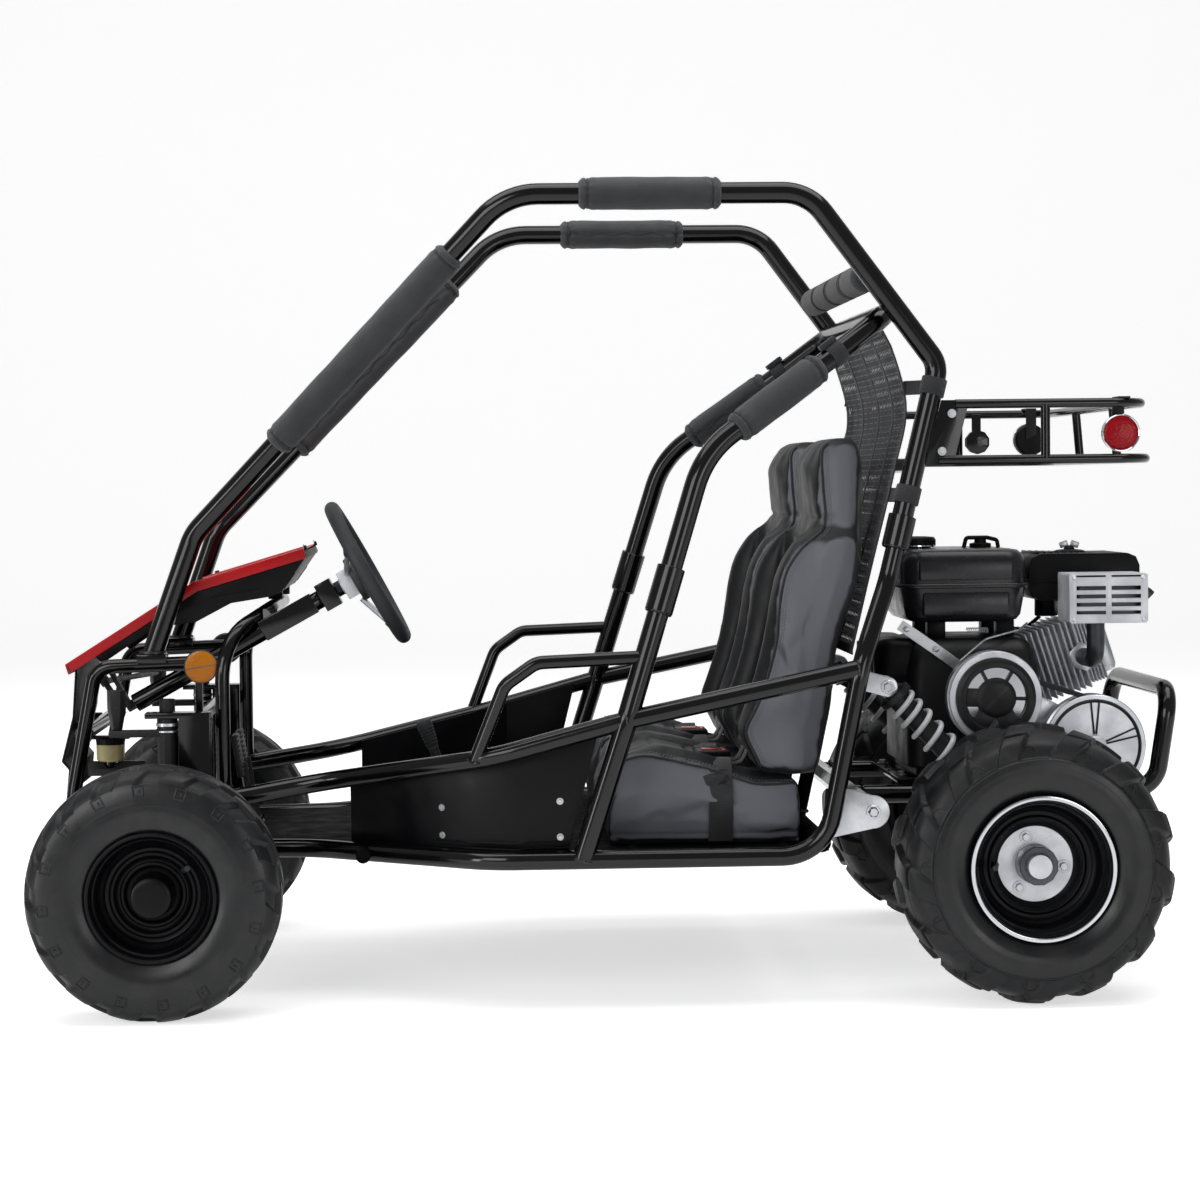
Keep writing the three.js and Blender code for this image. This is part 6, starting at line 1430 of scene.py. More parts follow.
# Harness and net
# A flat strap through points, its width along the across vectors
def strap(build, points, across, half, thick, closed=False, mat=0):
    rings = []
    last = len(points) - 1
    section = [(-1, -0.3), (-0.97, -0.5), (0.97, -0.5), (1, -0.3), (1, 0.3), (0.97, 0.5), (-0.97, 0.5), (-1, 0.3)]
    for i, point in enumerate(points):
        before = points[i - 1] if i or closed else point
        after = points[(i + 1) % len(points)] if i < last or closed else point
        way = (after - before).normalized()
        side = across[i] if isinstance(across, list) else across
        side = (side - way * side.dot(way)).normalized()
        normal = way.cross(side)
        rings.append([point + side * (a * half / 1000) + normal * (b * thick / 1000) for a, b in section])
    build.rings(rings, closed, True, mat)


# The line drawn smoother: each point moves towards its neighbours, three times over
def relaxed(points):
    for _ in range(3):
        inner = [(a + b * 2 + c) / 4 for a, b, c in zip(points, points[1:], points[2:])]
        points = [points[0]] + inner + [points[-1]]
    return points


belting = {"half": 20, "thick": 2.2, "shoulderY": 48}
lapSpots = ((20, 356), (60, 362), (110, 368), (150, 373), (176, 366), (188, 340), (190, 300), (190, 262), (189, 238))
shoulderSpots = ((964, 684), (966, 645), (948, 540), (903, 400), (866, 372), (848, 358))
for name, side in sides:
    build = Build()
    seatY = side * seat["y"]
    tree = covers[name]

    def laid(point, aim, lift):
        found, normal, _, distance = tree.ray_cast(point, aim)
        if found is None or distance > 0.25:
            found, normal, _, _ = tree.find_nearest(point)
        if normal.dot(aim) > 0:
            normal = -normal
        return found + normal * lift / 1000

    for way in (-1, 1):
        y = seatY + way * belting["shoulderY"]
        points = []
        for x, z in splined(shoulderSpots, 6):
            steep = smooth(z, 372, 420)
            aim = Vector((steep, 0, steep - 1)).normalized()
            inward = way * 26 * (1 - smooth(z, 356, 420))
            points.append(laid(place(x, y - inward, z) - aim * 0.06, aim, 3.0))
        points = relaxed(points)
        strap(build, points, yWay, belting["half"], belting["thick"])
        slide = points[len(points) // 3]
        tangent = (points[len(points) // 3 + 1] - slide).normalized()
        turn = turnOf(yWay, tangent, tangent.cross(yWay))
        for further in (0, 0.016):
            build.block(slide + tangent * further, (25, 3.2, 2.6), 1.2, turn, 1)
    for way in (-1, 1):
        points = []
        for out, z in splined(lapSpots, 5):
            over = out < 176
            above = place(832, seatY + way * (out if over else out + 60), z + (60 if over else 0))
            points.append(laid(above, Vector((0, 0, -1)) if over else Vector((0, -way, 0)), 3.0))
        points = relaxed(points)
        strap(build, points, Vector((1, 0, 0)), belting["half"] - 2, belting["thick"])
        build.block(points[8], (21, 4.5, 4.0), 1.4, None, 1)
    buckle = laid(place(833, seatY, 420), Vector((0, 0, -1)), 6.5)
    build.block(buckle, (26, 34, 6.5), 3.5, None, 1, 3)
    build.block(buckle + Vector((-0.004, 0, 0.0066)), (13, 14, 1.6), 1.2, None, 2)
    build.block(buckle + Vector((0.018, 0, 0.0066)), (3, 26, 0.7), 0.5, None, 2)
    build.done(f"harness_{name}_straps", ("black webbing", "black moulded plastic", "red lens"), "chassis",
               "black_webbing", 40, [f"harness_{name}"])
print("harnesses made")

# Back net: woven strands between hemmed edges, laced to the roll cage with loops
netSpots = ((1088, 1001), (1120, 886), (1102, 785), (1066, 640), (1035, 510))
netting = {"half": 335, "cell": 8.5, "strand": 0.95, "hem": 15, "cut": (296, 970), "sag": 9}
netRows = splined(netSpots, 14)


def netEdge(z):
    cutY, cutZ = netting["cut"]
    if z < cutZ:
        return netting["half"]
    return netting["half"] + (cutY - netting["half"]) * (z - cutZ) / (netRows[0][1] - cutZ)


def netPoint(share, z, lift=0.0):
    for a, b in zip(netRows, netRows[1:]):
        if a[1] >= z >= b[1]:
            x = a[0] + (b[0] - a[0]) * (a[1] - z) / max(a[1] - b[1], 1e-6)
            break
    else:
        x = netRows[-1][0] if z < netRows[-1][1] else netRows[0][0]
    middle = 1 - share * share
    high = 1 - ((z - 755) / 246) ** 2
    return place(x + netting["sag"] * middle * max(0, high) + lift, share * netEdge(z), z)


top, low = netRows[0][1], netRows[-1][1]
build = Build()
steps = int((top - low) / netting["cell"])
for k in range(1, steps):
    z = top - (top - low) * k / steps
    build.tube([netPoint(s / 12, z, 0.5 * (-1) ** s) for s in range(-12, 13)], netting["strand"], 5)
columns = int(2 * netting["half"] / netting["cell"])
for k in range(1, columns):
    share = -1 + 2 * k / columns
    build.tube([netPoint(share, top - (top - low) * j / 26, 0.5 * (-1) ** (j + k)) for j in range(27)],
               netting["strand"], 5)
for share in (-0.98, 0.98):
    points = [netPoint(share, top - (top - low) * j / 30) for j in range(31)]
    strap(build, points, yWay, netting["hem"] / 2, 2.2, False, 1)
for z in (top - 6, low + 6):
    points = [netPoint(s / 16, z) for s in range(-16, 17)]
    strap(build, points, Vector((0, 0, 1)), netting["hem"] / 2, 2.2, False, 1)
for share in (-0.5, 0, 0.5):
    points = [netPoint(share, top - (top - low) * j / 30, -0.6) for j in range(31)]
    strap(build, points, yWay, 9, 1.8, False, 1)
band = [[0, 16.3], [0, 18.4], [1, 19.0], [25, 19.0], [26, 18.4], [26, 16.3]]
for _, side in sides:
    leg = [p for p in tubeLine("cage", side) if p.x > axleX + 0.7 and p.z < 0.97]
    for z in (908, 748):
        spot, way = passing(leg, 2, z / 1000)
        build.turned(spot - way * 0.013, way, band, 40, 1, closed=True)
        edge = netPoint(side * 0.97, z)
        strap(build, [edge, edge.lerp(spot, 0.5), spot], way, 11, 2.6, False, 1)
# the net cord's paler colour is a painted sheen
build.done("back_net_mesh", ("net cord with painted sheen", "black webbing"), "chassis", "black_webbing", 40, ["back_net"])
print("net made")

# Rear swing frame, shocks, engine and drive
swing = {"y": 200, "pivot": (1050.06, 283.93), "rear": 1527, "bumper": (1551, 439), "cross": (1195, 1455), "tube": 14}
half = [swing["pivot"], (swing["rear"], swing["pivot"][1]), swing["bumper"]]
corners = bothSides([(x, swing["y"], z) for x, z in half])
build = softened("swing_frame", 0.8, [(bentLine(corners, 45, 1), swing["tube"])])
build.tube(bentLine(corners, 45, 10), swing["tube"], 26)
for side in (-1, 1):
    for x in swing["cross"]:
        weld(build, place(x, side * 186, swing["pivot"][1]), (0, 1, 0), 14.3)
    weld(build, place(1068, side * 200, swing["pivot"][1]), (1, 0, 0), 14.6)
    weld(build, place(1264, side * 213, 274), (0, 1, 0), 12.4)
build.done("swing_frame_tubes", frameFinish[:2], "swing", "satin_black_paint", 38, ["swing_frame"])
spots = [(place(1264, side * 305.6, 274), (0, side, 0), 9.5) for side in (-1, 1)]
spots += [(place(x, y, 304.2), (0, 0, 1), 9.0) for x in (1142, 1372) for y in (-110, 90)]
bolts("swing_bolts", spots, "zinc plated steel", "swing")

damper = {"top": (1094, 457), "low": (1264, 274), "y": 285, "coil": 21.5, "wire": 4.3, "turns": 8, "from": 29.7,
          "to": 208.3, "steps": 40}


# The eye at a shock's end, with its rubber bush
def shockEye(build, at, side, bore, bush, mat):
    sleeve = [[0, 8.5], [0, 12.4], [0.6, 13], [24.4, 13], [25, 12.4], [25, 8.5]]
    build.turned(at - yWay * side * 0.0125, (0, side, 0), sleeve, 40, mat)
    rubber = [[0, bore], [0, bush], [26.4, bush], [26.4, bore]]
    build.turned(at - yWay * side * 0.0132, (0, side, 0), rubber, 32, mat + 1, closed=True)


for name, side in sides:
    a, b = [place(x, side * damper["y"], z) for x, z in (damper["top"], damper["low"])]
    way = (b - a).normalized()
    reach = (b - a).length * 1000
    body, rod = f"shock_body_{name}", f"shock_rod_{name}"
    build = Build()
    build.turned(a, way, [[6, 11], [14, 13], [15.6, 25.6], [16.6, 26.8], [25, 26.8], [26, 25.8], [26, 17]], 48)
    case = [[20, 16.8], [60, 16.8], [61, 17.6], [64, 17.6], [65, 16.8], [142, 16.8], [144, 17.8], [149, 17.8],
            [150, 16.6],
            [150, 6.4], [140, 6.4]]
    build.turned(a, way, case, 44)
    shockEye(build, a, side, 6.4, 9.4, 0)
    build.done(body + "_case", ("satin black powder coat", "soft black rubber"), body, "satin_black_paint", 38,
               [body])
    build = Build()
    build.turned(a, way, [[112, 0.1], [112, 6], [212, 6]], 32)
    cup = [[208.6, 19], [211.6, 19], [211.6, 26.2], [212.6, 27], [220, 27], [221, 26], [221, 14], [reach - 12, 13],
           [reach - 4, 11]]
    build.turned(a, way, cup, 48, 1)
    shockEye(build, b, side, 9, 10.6, 1)
    build.done(rod + "_shaft", ("chrome plate", "satin black powder coat", "soft black rubber"), rod, "zinc_steel",
               38, [rod])
    points = []
    total = damper["turns"] * damper["steps"]
    for k in range(total + 1):
        # the end coils lie flat against the seats
        eased = k / total - 0.035 * math.sin(2 * math.pi * k / total)
        centre = a + way * (damper["from"] + (damper["to"] - damper["from"]) * eased) / 1000
        turn = 2 * math.pi * k / damper["steps"]
        points.append(centre + onCircle(yWay, way.cross(yWay), turn) * damper["coil"] / 1000)
    build = Build()
    build.tube(points, damper["wire"], 14)
    spring = build.done(f"shock_spring_{name}_coil", "white spring enamel", body, "spring_paint", 50,
                        [f"shock_spring_{name}"])
    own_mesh(spring)
# Bright plates of the shock mounts and of the swing frame's pivots, with their bolts
spots = []


def halfRound(centre, radius, steps):
    half = [math.pi * (k / steps - 0.5) for k in range(steps + 1)]
    return [(centre[0] + radius * math.cos(t), centre[1] + radius * math.sin(t)) for t in half]


for name, side in sides:
    build = Build()
    for ear in (-1, 1):
        inner = side * damper["y"] + ear * 13.2
        ears = [(1027, 460.4)] + halfRound(damper["top"], 15.5, 14) + [(1027, 489.6)]
        build.plate(ears, inner, inner + ear * 4.6, 0.8)
    pivotPlate = [(982, 245.6)] + halfRound(swing["pivot"], 24.5, 18) + [(996, 322.6)]
    build.plate(pivotPlate, side * 444.8, side * 451.7, 0.9)
    build.done(f"mount_plates_{name}", "zinc plated steel", "chassis", "zinc_steel", 38)
    spots += [(place(x, side * y, z), (0, side, 0), 10.5)
              for (x, z), y in ((damper["top"], 303.2), (swing["pivot"], 451.9))]
bolts("mount_bolts", spots, "chrome plate", "chassis")
print("swing frame and shocks made")

engine = {"crank": (1264, 436), "tilt": 17.5, "fins": 13, "finned": (66, 182)}
leanAngle = math.radians(engine["tilt"])
lean = Vector((math.cos(leanAngle), 0, math.sin(leanAngle)))
rise = Vector((-math.sin(leanAngle), 0, math.cos(leanAngle)))
leanTurn = turnOf(lean, yWay, rise)


def onBarrel(reach, up=0.0, across=0.0):
    return place(engine["crank"][0], across, engine["crank"][1]) + (lean * reach + rise * up) / 1000


# A box lofted up through levels of (height, inset), with rounded corners in plan
def levelled(build, low, high, levels, corner, mat=0, steps=6):
    middle = [(low[i] + high[i]) / 2 for i in range(2)]
    half = [(high[i] - low[i]) / 2 for i in range(2)]
    rings = []
    for z, inset in levels:
        ring = []
        radius = max(corner - inset * 0.3, 2)
        for k, (sx, sy) in enumerate(((1, 1), (-1, 1), (-1, -1), (1, -1))):
            cx, cy = middle[0] + sx * (half[0] - inset - radius), middle[1] + sy * (half[1] - inset - radius)
            for j in range(steps + 1):
                turn = math.pi / 2 * (k + j / steps)
                ring.append(place(cx + radius * math.cos(turn), cy + radius * math.sin(turn), z))
        rings.append(ring)
    build.rings(rings, False, True, mat)


build = Build()
# crankcase, feet and fan housing
levelled(build, (1150, -150), (1360, 120), [(318, 3), (321, 0), (470, 0), (500, 6), (516, 18), (520, 30)], 26, 0)
levelled(build, (1164, -136), (1346, 106), [(304.3, 1), (305.3, 0), (318, 0)], 10, 0)
levelled(build, (1104, -128), (1172, 112), [(450, 8), (456, 2), (466, 0), (505, 0), (515, 4), (520, 12)], 22, 1)
for k in range(7):
    build.block(place(1104.4, -96 + 32 * k, 484), (2.4, 9, 22), 1.2, None, 1)
for k in range(5):
    build.block(place(1200 + 26 * k, -150.6, 350), (3, 3.2, 26), 1.2, None, 0)
build.turned(place(1264, -148, 436), (0, -1, 0), [[0, 58], [3, 58], [8, 46], [10, 40], [62, 39.4], [64, 37]], 56, 0)
for t in angles(6):
    spot = place(1264, -152, 436) + spokeAt(t + 0.3)[0] * 0.051
    build.turned(spot, (0, -1, 0), [[0, 6.5], [4, 6.5], [4.6, 5.6], [4.6, 0.1]], 6, 3)
build.turned(place(1208, -149, 344), (0, -1, 0), [[0, 12], [6, 12], [7, 11], [7, 0.1]], 24, 1)
# cylinder fins, head and rocker cover
build.block(onBarrel(125), (86, 50, 42), 5, leanTurn, 2)
first, last = engine["finned"]
for k in range(engine["fins"]):
    reach = first + (last - first) * k / (engine["fins"] - 1)
    build.block(onBarrel(reach), (1.5, 77 if k % 2 else 80, 57), 1.1, leanTurn, 2, 1)
for k in range(5):
    build.block(onBarrel(190 + 5.5 * k), (1.3, 72, 52), 1.0, leanTurn, 2, 1)
build.block(onBarrel(200), (15, 62, 46), 3, leanTurn, 2)
build.block(onBarrel(222), (14, 58, 44), 11, leanTurn, 3, 4)
build.block(onBarrel(211), (3.2, 64, 49), 2, leanTurn, 3)
for y in (-52, 52):
    for up in (-38, 38):
        build.turned(onBarrel(214, up, y), lean, [[0, 6], [6, 6], [6.8, 5], [6.8, 0.1]], 6, 3)
# spark plug and its boot, oil filler, governor arm and the strap to the tank
plug = onBarrel(206, 44, -34)
build.tube([plug, plug + rise * 0.012 - lean * 0.002], 8.2, 6, False, 3)
lead = [plug + rise * 0.008, plug + rise * 0.034, plug + rise * 0.040 + Vector((-0.034, -0.004, 0.004))]
build.tube(bentLine(lead, 10, 6), 7.4, 18, False, 1)
filler = [[0, 15], [6, 15], [7, 19], [14, 18], [16, 12], [16.4, 0.1]]
build.turned(place(1180, 121, 350), (0.2, 1, 0.3), filler, 24, 1)
stay = placed((1136, -152, 544), (1150, -152.6, 534), (1190, -153, 506), (1228, -153, 478))
strap(build, stay, Vector((0.55, 0, 0.83)), 8.5, 2.4, False, 3)
for x, z in ((1192, 505), (1146, 537)):
    screw = [[0, 6.6], [0.8, 6.6], [0.8, 5], [4.6, 5], [5.2, 4], [5.2, 0.1]]
    build.turned(place(x, -154, z), (0, -1, 0), screw, 6, 3)
rod = placed((1230, -152, 486), (1270, -156, 520), (1330, -120, 532), (1352, -70, 540))
build.tube(bentLine(rod, 14, 5), 1.6, 8, False, 3)
coil = [(k / 96, k * math.pi / 4) for k in range(97)]
coil = [place(1240 + 34 * share, -158 + 4.2 * math.cos(t), 534 + 4.2 * math.sin(t)) for share, t in coil]
build.tube(coil, 0.7, 6, False, 3)
# recoil starter: ribbed dome with windows and a pull handle
recoil = [[0, 70], [0, 78], [3, 79], [14, 78], [20, 74], [24, 66], [27, 50], [27, 30], [30, 27], [30, 0.1]]
build.turned(place(1264, 120, 436), (0, 1, 0), recoil, 72, 1)
for t in angles(24):
    way, turned = spokeAt(t)
    build.block(place(1264, 146.2, 436) + way * 0.06, (7.5, 1.6, 3), 1.1, turned, 4)
build.block(place(1196, 140, 500), (7, 6, 15), 4, None, 1, 3)
# silver backing plate behind the two pulleys, with its bolts
driveAt, drivenAt = (1264, 436), (1417, 360)


# A loop drawn tight round two circles
def loopPoints(a, ra, b, rb, steps=28):
    gap = math.hypot(b[0] - a[0], b[1] - a[1])
    base = math.atan2(b[1] - a[1], b[0] - a[0])
    lean = math.acos((ra - rb) / gap)
    points = []
    ends = ((a, ra, base + lean, base + 2 * math.pi - lean), (b, rb, base - lean, base + lean))
    for centre, radius, start, stop in ends:
        for k in range(steps + 1):
            turn = start + (stop - start) * k / steps
            points.append((centre[0] + radius * math.cos(turn), centre[1] + radius * math.sin(turn)))
    return points


build.plate(loopPoints(driveAt, 34, drivenAt, 34), -218, -212, 0.9, 3)
screw = [[0, 7.4], [1, 7.4], [1, 5.4], [4.6, 5.4], [5.2, 4.6], [5.2, 0.1]]
for x, z in ((1300, 445), (1350, 392), (1392, 388), (1310, 395)):
    build.turned(place(x, -217.6, z), (0, -1, 0), screw, 6, 3)
build.done("engine_castings", ("satin black powder coat", "black moulded plastic", "cast aluminium",
                               "zinc plated steel", "dark exhaust steel"),
           "swing", "cast_alloy", 38, ["engine_block"])

# Drive pulley: a silver flange behind a dished black drum with windows
build = Build()
at = place(driveAt[0], 0, driveAt[1])


def across(build, centre, rows, mat, closed=False, segments=88):
    build.turned(centre, (0, -1, 0), rows, segments, mat, closed)


flanges = [[234, 12], [234, 70.4], [235, 71.5], [248, 71.5], [250, 70.6], [256, 40], [264, 40], [270, 70.6],
           [272, 71.5],
           [275, 71.5], [276, 70.4], [276, 12]]
across(build, at, flanges, 0, True)
across(build, at, [[152, 11], [236, 11]], 0, False, 32)
drum = [[274, 61], [276.4, 62], [282, 61], [285, 57], [286, 52], [285.6, 48], [283, 46.5], [279.4, 46.4], [279.4, 56],
        [276, 57]]
across(build, at, drum, 1, True)
across(build, at, [[275, 30], [282, 30], [284.6, 27], [286, 22], [286, 0.1], [275, 0.1]], 1)
across(build, at, [[276, 30.8], [277.6, 31.4], [278.4, 30.6], [277, 30]], 0, True)
for k in range(6):
    way, turned = spokeAt(math.radians(118 - 60 * k))
    wide = 2.6 if k in (0, 1, 2) else 14
    build.block(at + way * 0.038 + Vector((0, -0.2795, 0)), (11.5, 2.4, wide), 1.2, turned, 1)
across(build, at, [[276.2, 12], [276.9, 12], [276.9, 56.5], [276.2, 56.5]], 2, True)
build.done("drive_pulley_drum", ("zinc plated steel", "satin black powder coat", "chrome plate"), "drive_pulley",
           "pulley_steel", 34, ["drive_pulley"])

# Driven pulley: bright face, black rim line and five twin black spokes
build = Build()
at = place(drivenAt[0], 0, drivenAt[1])
flanges = [[236, 10], [236, 78], [237, 79], [248, 79], [250, 78], [256, 64], [264, 64], [270, 78], [272, 79],
           [274, 78.6],
           [275, 77.4], [275, 10]]
across(build, at, flanges, 0, True)
across(build, at, [[160, 10], [237, 10]], 0, False, 32)
across(build, at, [[275, 66.5], [277, 67.5], [278.4, 69], [278.4, 70.6], [276.6, 71.6], [275, 72]], 1, True, 96)
across(build, at, [[274.6, 0.1], [274.6, 17], [283, 16], [285, 14], [285, 0.1]], 2)
for k in range(5):
    for twin in (-1, 1):
        way, turned = spokeAt(math.radians(90 - 72 * k + twin * 5.4))
        build.block(at + way * 0.043 + Vector((0, -0.2760, 0)), (25, 1.9, 1.3), 0.8, turned, 1)
gearRows = []
for k, t in enumerate(angles(48)):
    reach = 23 if k % 4 in (2, 3) else 27
    gearRows.append((drivenAt[0] + reach * math.cos(t), drivenAt[1] + reach * math.sin(t)))
build.plate(gearRows, -174.5, -169.5, 0.5, 2)
build.done("driven_pulley_wheel", ("zinc plated steel", "satin black powder coat", "cast aluminium"), "driven_pulley",
           "cast_alloy", 34, ["driven_pulley"])

# Belt: a V section with teeth inside; chain: side plates and rollers along the same kind of loop
build = Build()
path = loopPoints(driveAt, 42.5, drivenAt, 66.5, 40)
points = [place(x, -260, z) for x, z in path]
centre = place((driveAt[0] + drivenAt[0]) / 2, -260, (driveAt[1] + drivenAt[1]) / 2)
rings = []
for i, point in enumerate(points):
    way = (points[(i + 1) % len(points)] - points[i - 1]).normalized()
    out = yWay.cross(way).normalized()
    if out.dot(point - centre) < 0:
        out = -out
    lift = 1.2 if i % 2 else 0
    section = ((4.2, -8.6), (4.6, 8.0), (3.6, 8.8), (-3.6 + lift, 6.4), (-4.2 + lift, 5.6), (-4.2 + lift, -5.6),
               (-3.6 + lift, -6.4), (3.6, -8.8))
    rings.append([point + out * h / 1000 + yWay * w / 1000 for h, w in section])
build.rings(rings, closed=True)
build.done("drive_belt_loop", "soft black rubber", "swing", "belt_rubber", 30, ["drive_belt"])


def linkUnit():
    unit = Build()
    for y in (-5.2, 5.2):
        unit.block(Vector((y, 0, 0)) / 1000, (0.9, 4.4, 8.6), 0.5)
    for z in (-6.2, 6.2):
        unit.turned(Vector((-0.0068, 0, z / 1000)), (1, 0, 0), [[0, 1.6], [0.5, 2.4], [13.1, 2.4], [13.6, 1.6]], 10)
        unit.turned(Vector((-0.0042, 0, z / 1000)), (1, 0, 0), [[0, 3.6], [8.4, 3.6]], 12)
    return unit.unit("link unit")


chainPath = loopPoints((wheelbase, axle["z"]), 90.5, drivenAt, 33.5, 60)
chainPoints = [place(x, -172, z) for x, z in chainPath]
lengths = [(chainPoints[(i + 1) % len(chainPoints)] - chainPoints[i]).length for i in range(len(chainPoints))]
total, pitch = sum(lengths), 0.0127
count = int(total / pitch / 2) * 2
spots = []
for k in range(count):
    want = total * k / count
    i = 0
    while want > lengths[i] and i < len(lengths) - 1:
        want -= lengths[i]
        i += 1
    a, b = chainPoints[i], chainPoints[(i + 1) % len(chainPoints)]
    way = (b - a).normalized()
    turned = turnOf(yWay, way.cross(yWay), way).to_3x3()
    spots.append((a.lerp(b, want / max(lengths[i], 1e-9)), turned, 1.0 if k % 2 else 0.93))
made = repeated("chain_links", spots, linkUnit(), "zinc plated steel", "swing", 7, 0.0)
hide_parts("chain")
print("engine and drive made")

# Fuel tank: two pressed halves with a seam flange, a filler cap, a valve and a pressed side panel
build = Build()
shell = [(545, 22), (548, 14), (556, 8), (598, 1), (604, 0), (640, 1), (652, 5), (658, 12), (660, 24)]
levelled(build, (1145, -130), (1345, 130), shell, 34, 0)
levelled(build, (1139, -136), (1351, 136), [(599, 2), (600, 0.6), (602.4, 0), (604.8, 0.6), (606, 2)], 36, 0)
levelled(build, (1170, -131.6), (1320, -120), [(612, 0.8), (614, 0), (640, 0), (642, 0.8)], 4, 0)
levelled(build, (1176, -129.4), (1314, -116), [(556, 1), (558, 0), (590, 0), (592, 1)], 4, 0)
for x in (1205, 1315):
    for y in (-70, 70):
        build.block(place(x, y, 533), (14, 14, 14), 2, None, 1)
cap = [[0, 27], [4, 27], [4, 33], [5, 34], [18, 34], [20, 32], [21, 20], [21.4, 0.1]]
build.turned(place(1182, 0, 658), (0, 0, 1), cap, 56, 2)
for t in angles(28):
    spot = place(1182 + 34 * math.cos(t), 34 * math.sin(t), 669)
    build.block(spot, (1.3, 1.3, 5.5), 0.7, Matrix.Rotation(t, 4, "Z"), 2, 1)
build.turned(place(1182, 0, 663), (0, 0, 1), [[0, 33.6], [0, 35], [2, 35], [2, 33.6]], 56, 3, closed=True)
valve = [[0, 17], [8, 17.6], [9, 16], [10, 10], [16, 9], [18, 6], [18, 0.1]]
build.turned(place(1290, 0, 658), (0, 0, 1), valve, 32, 1)
handle = placed((1262, -6, 660), (1266, -6, 676), (1300, -6, 676), (1316, -6, 672), (1318, -6, 660))
build.tube(bentLine(handle, 5, 5), 3.4, 12, False, 1)
fuelPipe = placed((1330, 60, 548), (1330, 60, 530), (1372, 66, 522), (1396, 50, 545))
build.tube(bentLine(fuelPipe, 12, 6), 3.2, 12, False, 1)
build.done("fuel_tank_shell", ("tank enamel", "black moulded plastic", "black moulded plastic", "chrome plate"),
           "swing", "tank_plastic", 38, ["fuel_tank"])

# Air cleaner: moulded housing that slopes to the rear with a ribbed band, a wing nut and its intake neck
build = softened("air_cleaner", 3.0, (), 14)
for k in range(14):
    share = k / 13
    build.block(place(1376 + 140 * share, 24, 650.4 - 0.3 * k), (2.2, 66, 2.2), 1.2, None, 0)
build.block(place(1447, 25, 606), (91.6, 86.4, 3), 1.4, None, 0)
build.turned(place(1440, 25, 650), (0, 0, 1), [[0, 26], [2, 26], [4, 20], [5, 9], [8, 8], [11, 5], [11, 0.1]], 36, 0)
for way in (-1, 1):
    build.block(place(1440 + way * 9, 25, 663), (7, 2.2, 5), 1.6, Matrix.Rotation(way * 0.35, 4, "Y"), 1)
build.turned(place(1536, 25, 612), (1, 0, 0), [[0, 9], [6, 9], [9, 12], [15, 12], [17, 9], [17, 0.1]], 20, 0)
build.done("air_cleaner_housing", ("black moulded plastic", "zinc plated steel"), "swing", "black_plastic", 30,
           ["air_cleaner"])

# Muffler: dark drum under a bright guard with two columns of four slots
build = Build()
pipe = placed((1440, -80.3, 486), (1440, -175, 486), (1440, -175, 552))
build.tube(bentLine(pipe, 28, 10), 14, 28, False, 0)
build.turned(place(1440, -81, 486), (0, -1, 0), [[0, 24], [5, 24], [6, 22], [6, 14]], 6, 1)
levelled(build, (1391, -231), (1505, -118), [(549, 8), (553, 2), (560, 0), (610, 0), (616, 3), (619, 12)], 24, 0)
guard = {"x": (1388, 1508), "z": (547, 622), "y": -235}
middleX, middleZ = sum(guard["x"]) / 2, sum(guard["z"]) / 2
for x in (guard["x"][0] + 5, middleX, guard["x"][1] - 5):
    build.block(place(x, guard["y"] + 1.2, middleZ), (5 if x != middleX else 4.5, 1.3, 37), 0.9, None, 2)
for z, half in ((553, 7), (568.6, 3.4), (581.2, 3.4), (593.8, 3.4), (610.4, 7)):
    build.block(place(middleX, guard["y"] + 1.2, z), (59, 1.25, half), 0.8, None, 2)
for z in (guard["z"][1] - 0.8, guard["z"][0] + 0.8):
    build.block(place(middleX, -185, z), (59, 50, 1.3), 0.9, None, 2)
for x in guard["x"]:
    build.block(place(x, -190, middleZ), (1.3, 45, 36), 0.9, None, 2)
for x, z in ((1394, 617), (1502, 617), (1394, 552), (1502, 552)):
    build.turned(place(x, guard["y"] + 0.4, z), (0, -1, 0), [[0, 3.4], [1.4, 3.4], [2.2, 2.4], [2.2, 0.1]], 16, 1)
outlet = placed((1503, -150, 590), (1526, -150, 590), (1532, -150, 584))
build.tube(bentLine(outlet, 8, 4), 9, 20, False, 0)
build.done("muffler_guard", ("dark exhaust steel", "zinc plated steel", "cast aluminium"), "swing", "muffler_steel",
           38, ["muffler"])
print("tank, cleaner and muffler made")

# Studio: pale floor that curves up behind, soft boxes, and the camera at the photograph's place
glowing = {"seen": 0.62, "mirrored": 0.35}
sweeping = {"front": -12.0, "back": 9.0, "bend": 2.6, "top": 12.0, "half": 14.0}
lamps = {
    "overhead box": ((0.0, -0.4, 3.6), (0, 0, 0.4), (5.0, 2.4), 95),
    "side box": ((-2.6, -4.2, 2.3), (0, 0, 0.5), (2.6, 2.0), 60),
    "left strip": ((-4.4, -3.4, 0.9), (0, -0.4, 0.4), (1.0, 2.2), 42),
    "low box": ((2.4, -4.6, 1.0), (0.2, 0, 0.4), (1.8, 1.4), 22),
    "back box": ((0.0, 2.4, 3.4), (0, 4.2, 1.2), (6.0, 1.2), 60),
}
lens = {"yaw": 0.0488, "pitch": 0.0389, "roll": -0.0112, "focal": 3016.7, "picture": 1200, "sensor": 36,
        "spot": (437.7246, -4838.0289, 771.3876)}


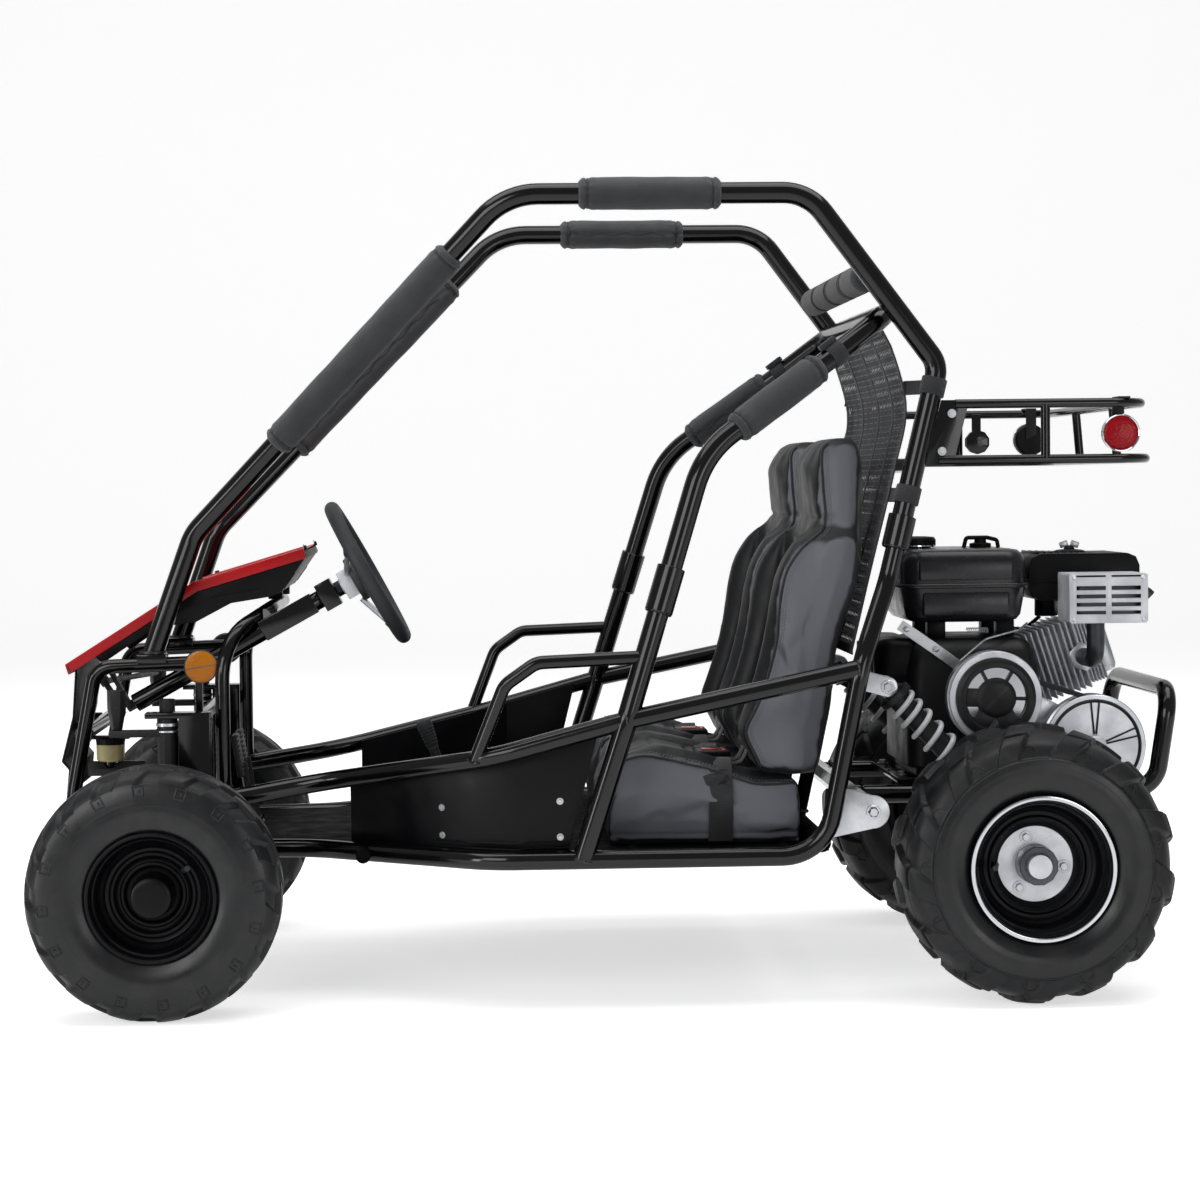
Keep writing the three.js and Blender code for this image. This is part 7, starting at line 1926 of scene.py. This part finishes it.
def studio():
    sweep = Build()
    back, bend = sweeping["back"], sweeping["bend"]
    quarter = [math.pi / 2 * k / 10 for k in range(1, 11)]
    rows = [(sweeping["front"], 0.0), (back, 0.0)]
    rows += [(back + bend * math.sin(t), bend - bend * math.cos(t)) for t in quarter] + [
        (back + bend, sweeping["top"])]
    sweep.add([Vector((x, y, z)) for y, z in rows for x in (-sweeping["half"], sweeping["half"])],
              [[2 * i, 2 * i + 1, 2 * i + 3, 2 * i + 2] for i in range(len(rows) - 1)])
    mesh = sweep.mesh("studio sweep")
    made = linked("studio_sweep", mesh)
    paper = bpy.data.materials.new("pale paper")
    paper.use_nodes = True
    tree = paper.node_tree
    inputs = tree.nodes["Principled BSDF"].inputs
    for key, value in (("Base Color", (0.9, 0.9, 0.9, 1)), ("Roughness", 0.9), ("Emission Color", (1, 1, 1, 1))):
        inputs[key].default_value = value
    # the paper glows where the camera, a mirror or a clear lens looks at it, and lights nothing else
    ray = addNode(tree, "ShaderNodeLightPath").outputs
    mirrored = mathNode(tree, "ADD", ray["Is Glossy Ray"], ray["Is Transmission Ray"])
    mirrored = mathNode(tree, "MULTIPLY", mathNode(tree, "MINIMUM", mirrored, 1.0), glowing["mirrored"])
    seen = mathNode(tree, "MULTIPLY", ray["Is Camera Ray"], glowing["seen"])
    tree.links.new(mathNode(tree, "ADD", seen, mirrored), inputs["Emission Strength"])
    mesh.materials.append(paper)
    mesh.shade_smooth()


def softBox(name, spot, aim, size, power):
    light = bpy.data.lights.new(name, "AREA")
    light.shape, light.size, light.size_y, light.energy = "RECTANGLE", size[0], size[1], power
    made = linked(name, light)
    made.location = spot
    made.rotation_euler = (Vector(aim) - Vector(spot)).to_track_quat("-Z", "Y").to_euler()


def camera():
    yaw, pitch, roll = lens["yaw"], lens["pitch"], lens["roll"]
    forward = Vector((math.sin(yaw) * math.cos(pitch), math.cos(yaw) * math.cos(pitch), -math.sin(pitch)))
    right = Vector((math.cos(yaw), -math.sin(yaw), 0))
    up = right.cross(forward)
    across = right * math.cos(roll) + up * math.sin(roll)
    upright = up * math.cos(roll) - right * math.sin(roll)
    made = linked("camera", bpy.data.cameras.new("camera"))
    made.data.sensor_width = lens["sensor"]
    made.data.lens = lens["sensor"] * lens["focal"] / lens["picture"]
    made.matrix_world = Matrix.Translation(place(*lens["spot"])) @ turnOf(across, upright, -forward)
    bpy.context.scene.camera = made


studio()
camera()
for name, lamp in lamps.items():
    softBox(name, *lamp)
world = bpy.data.worlds.new("soft room")
bpy.context.scene.world = world
world.use_nodes = True
world.node_tree.nodes["Background"].inputs["Color"].default_value = (1, 1, 1, 1)
world.node_tree.nodes["Background"].inputs["Strength"].default_value = 0.26
bpy.context.scene.view_settings.view_transform = "Standard"
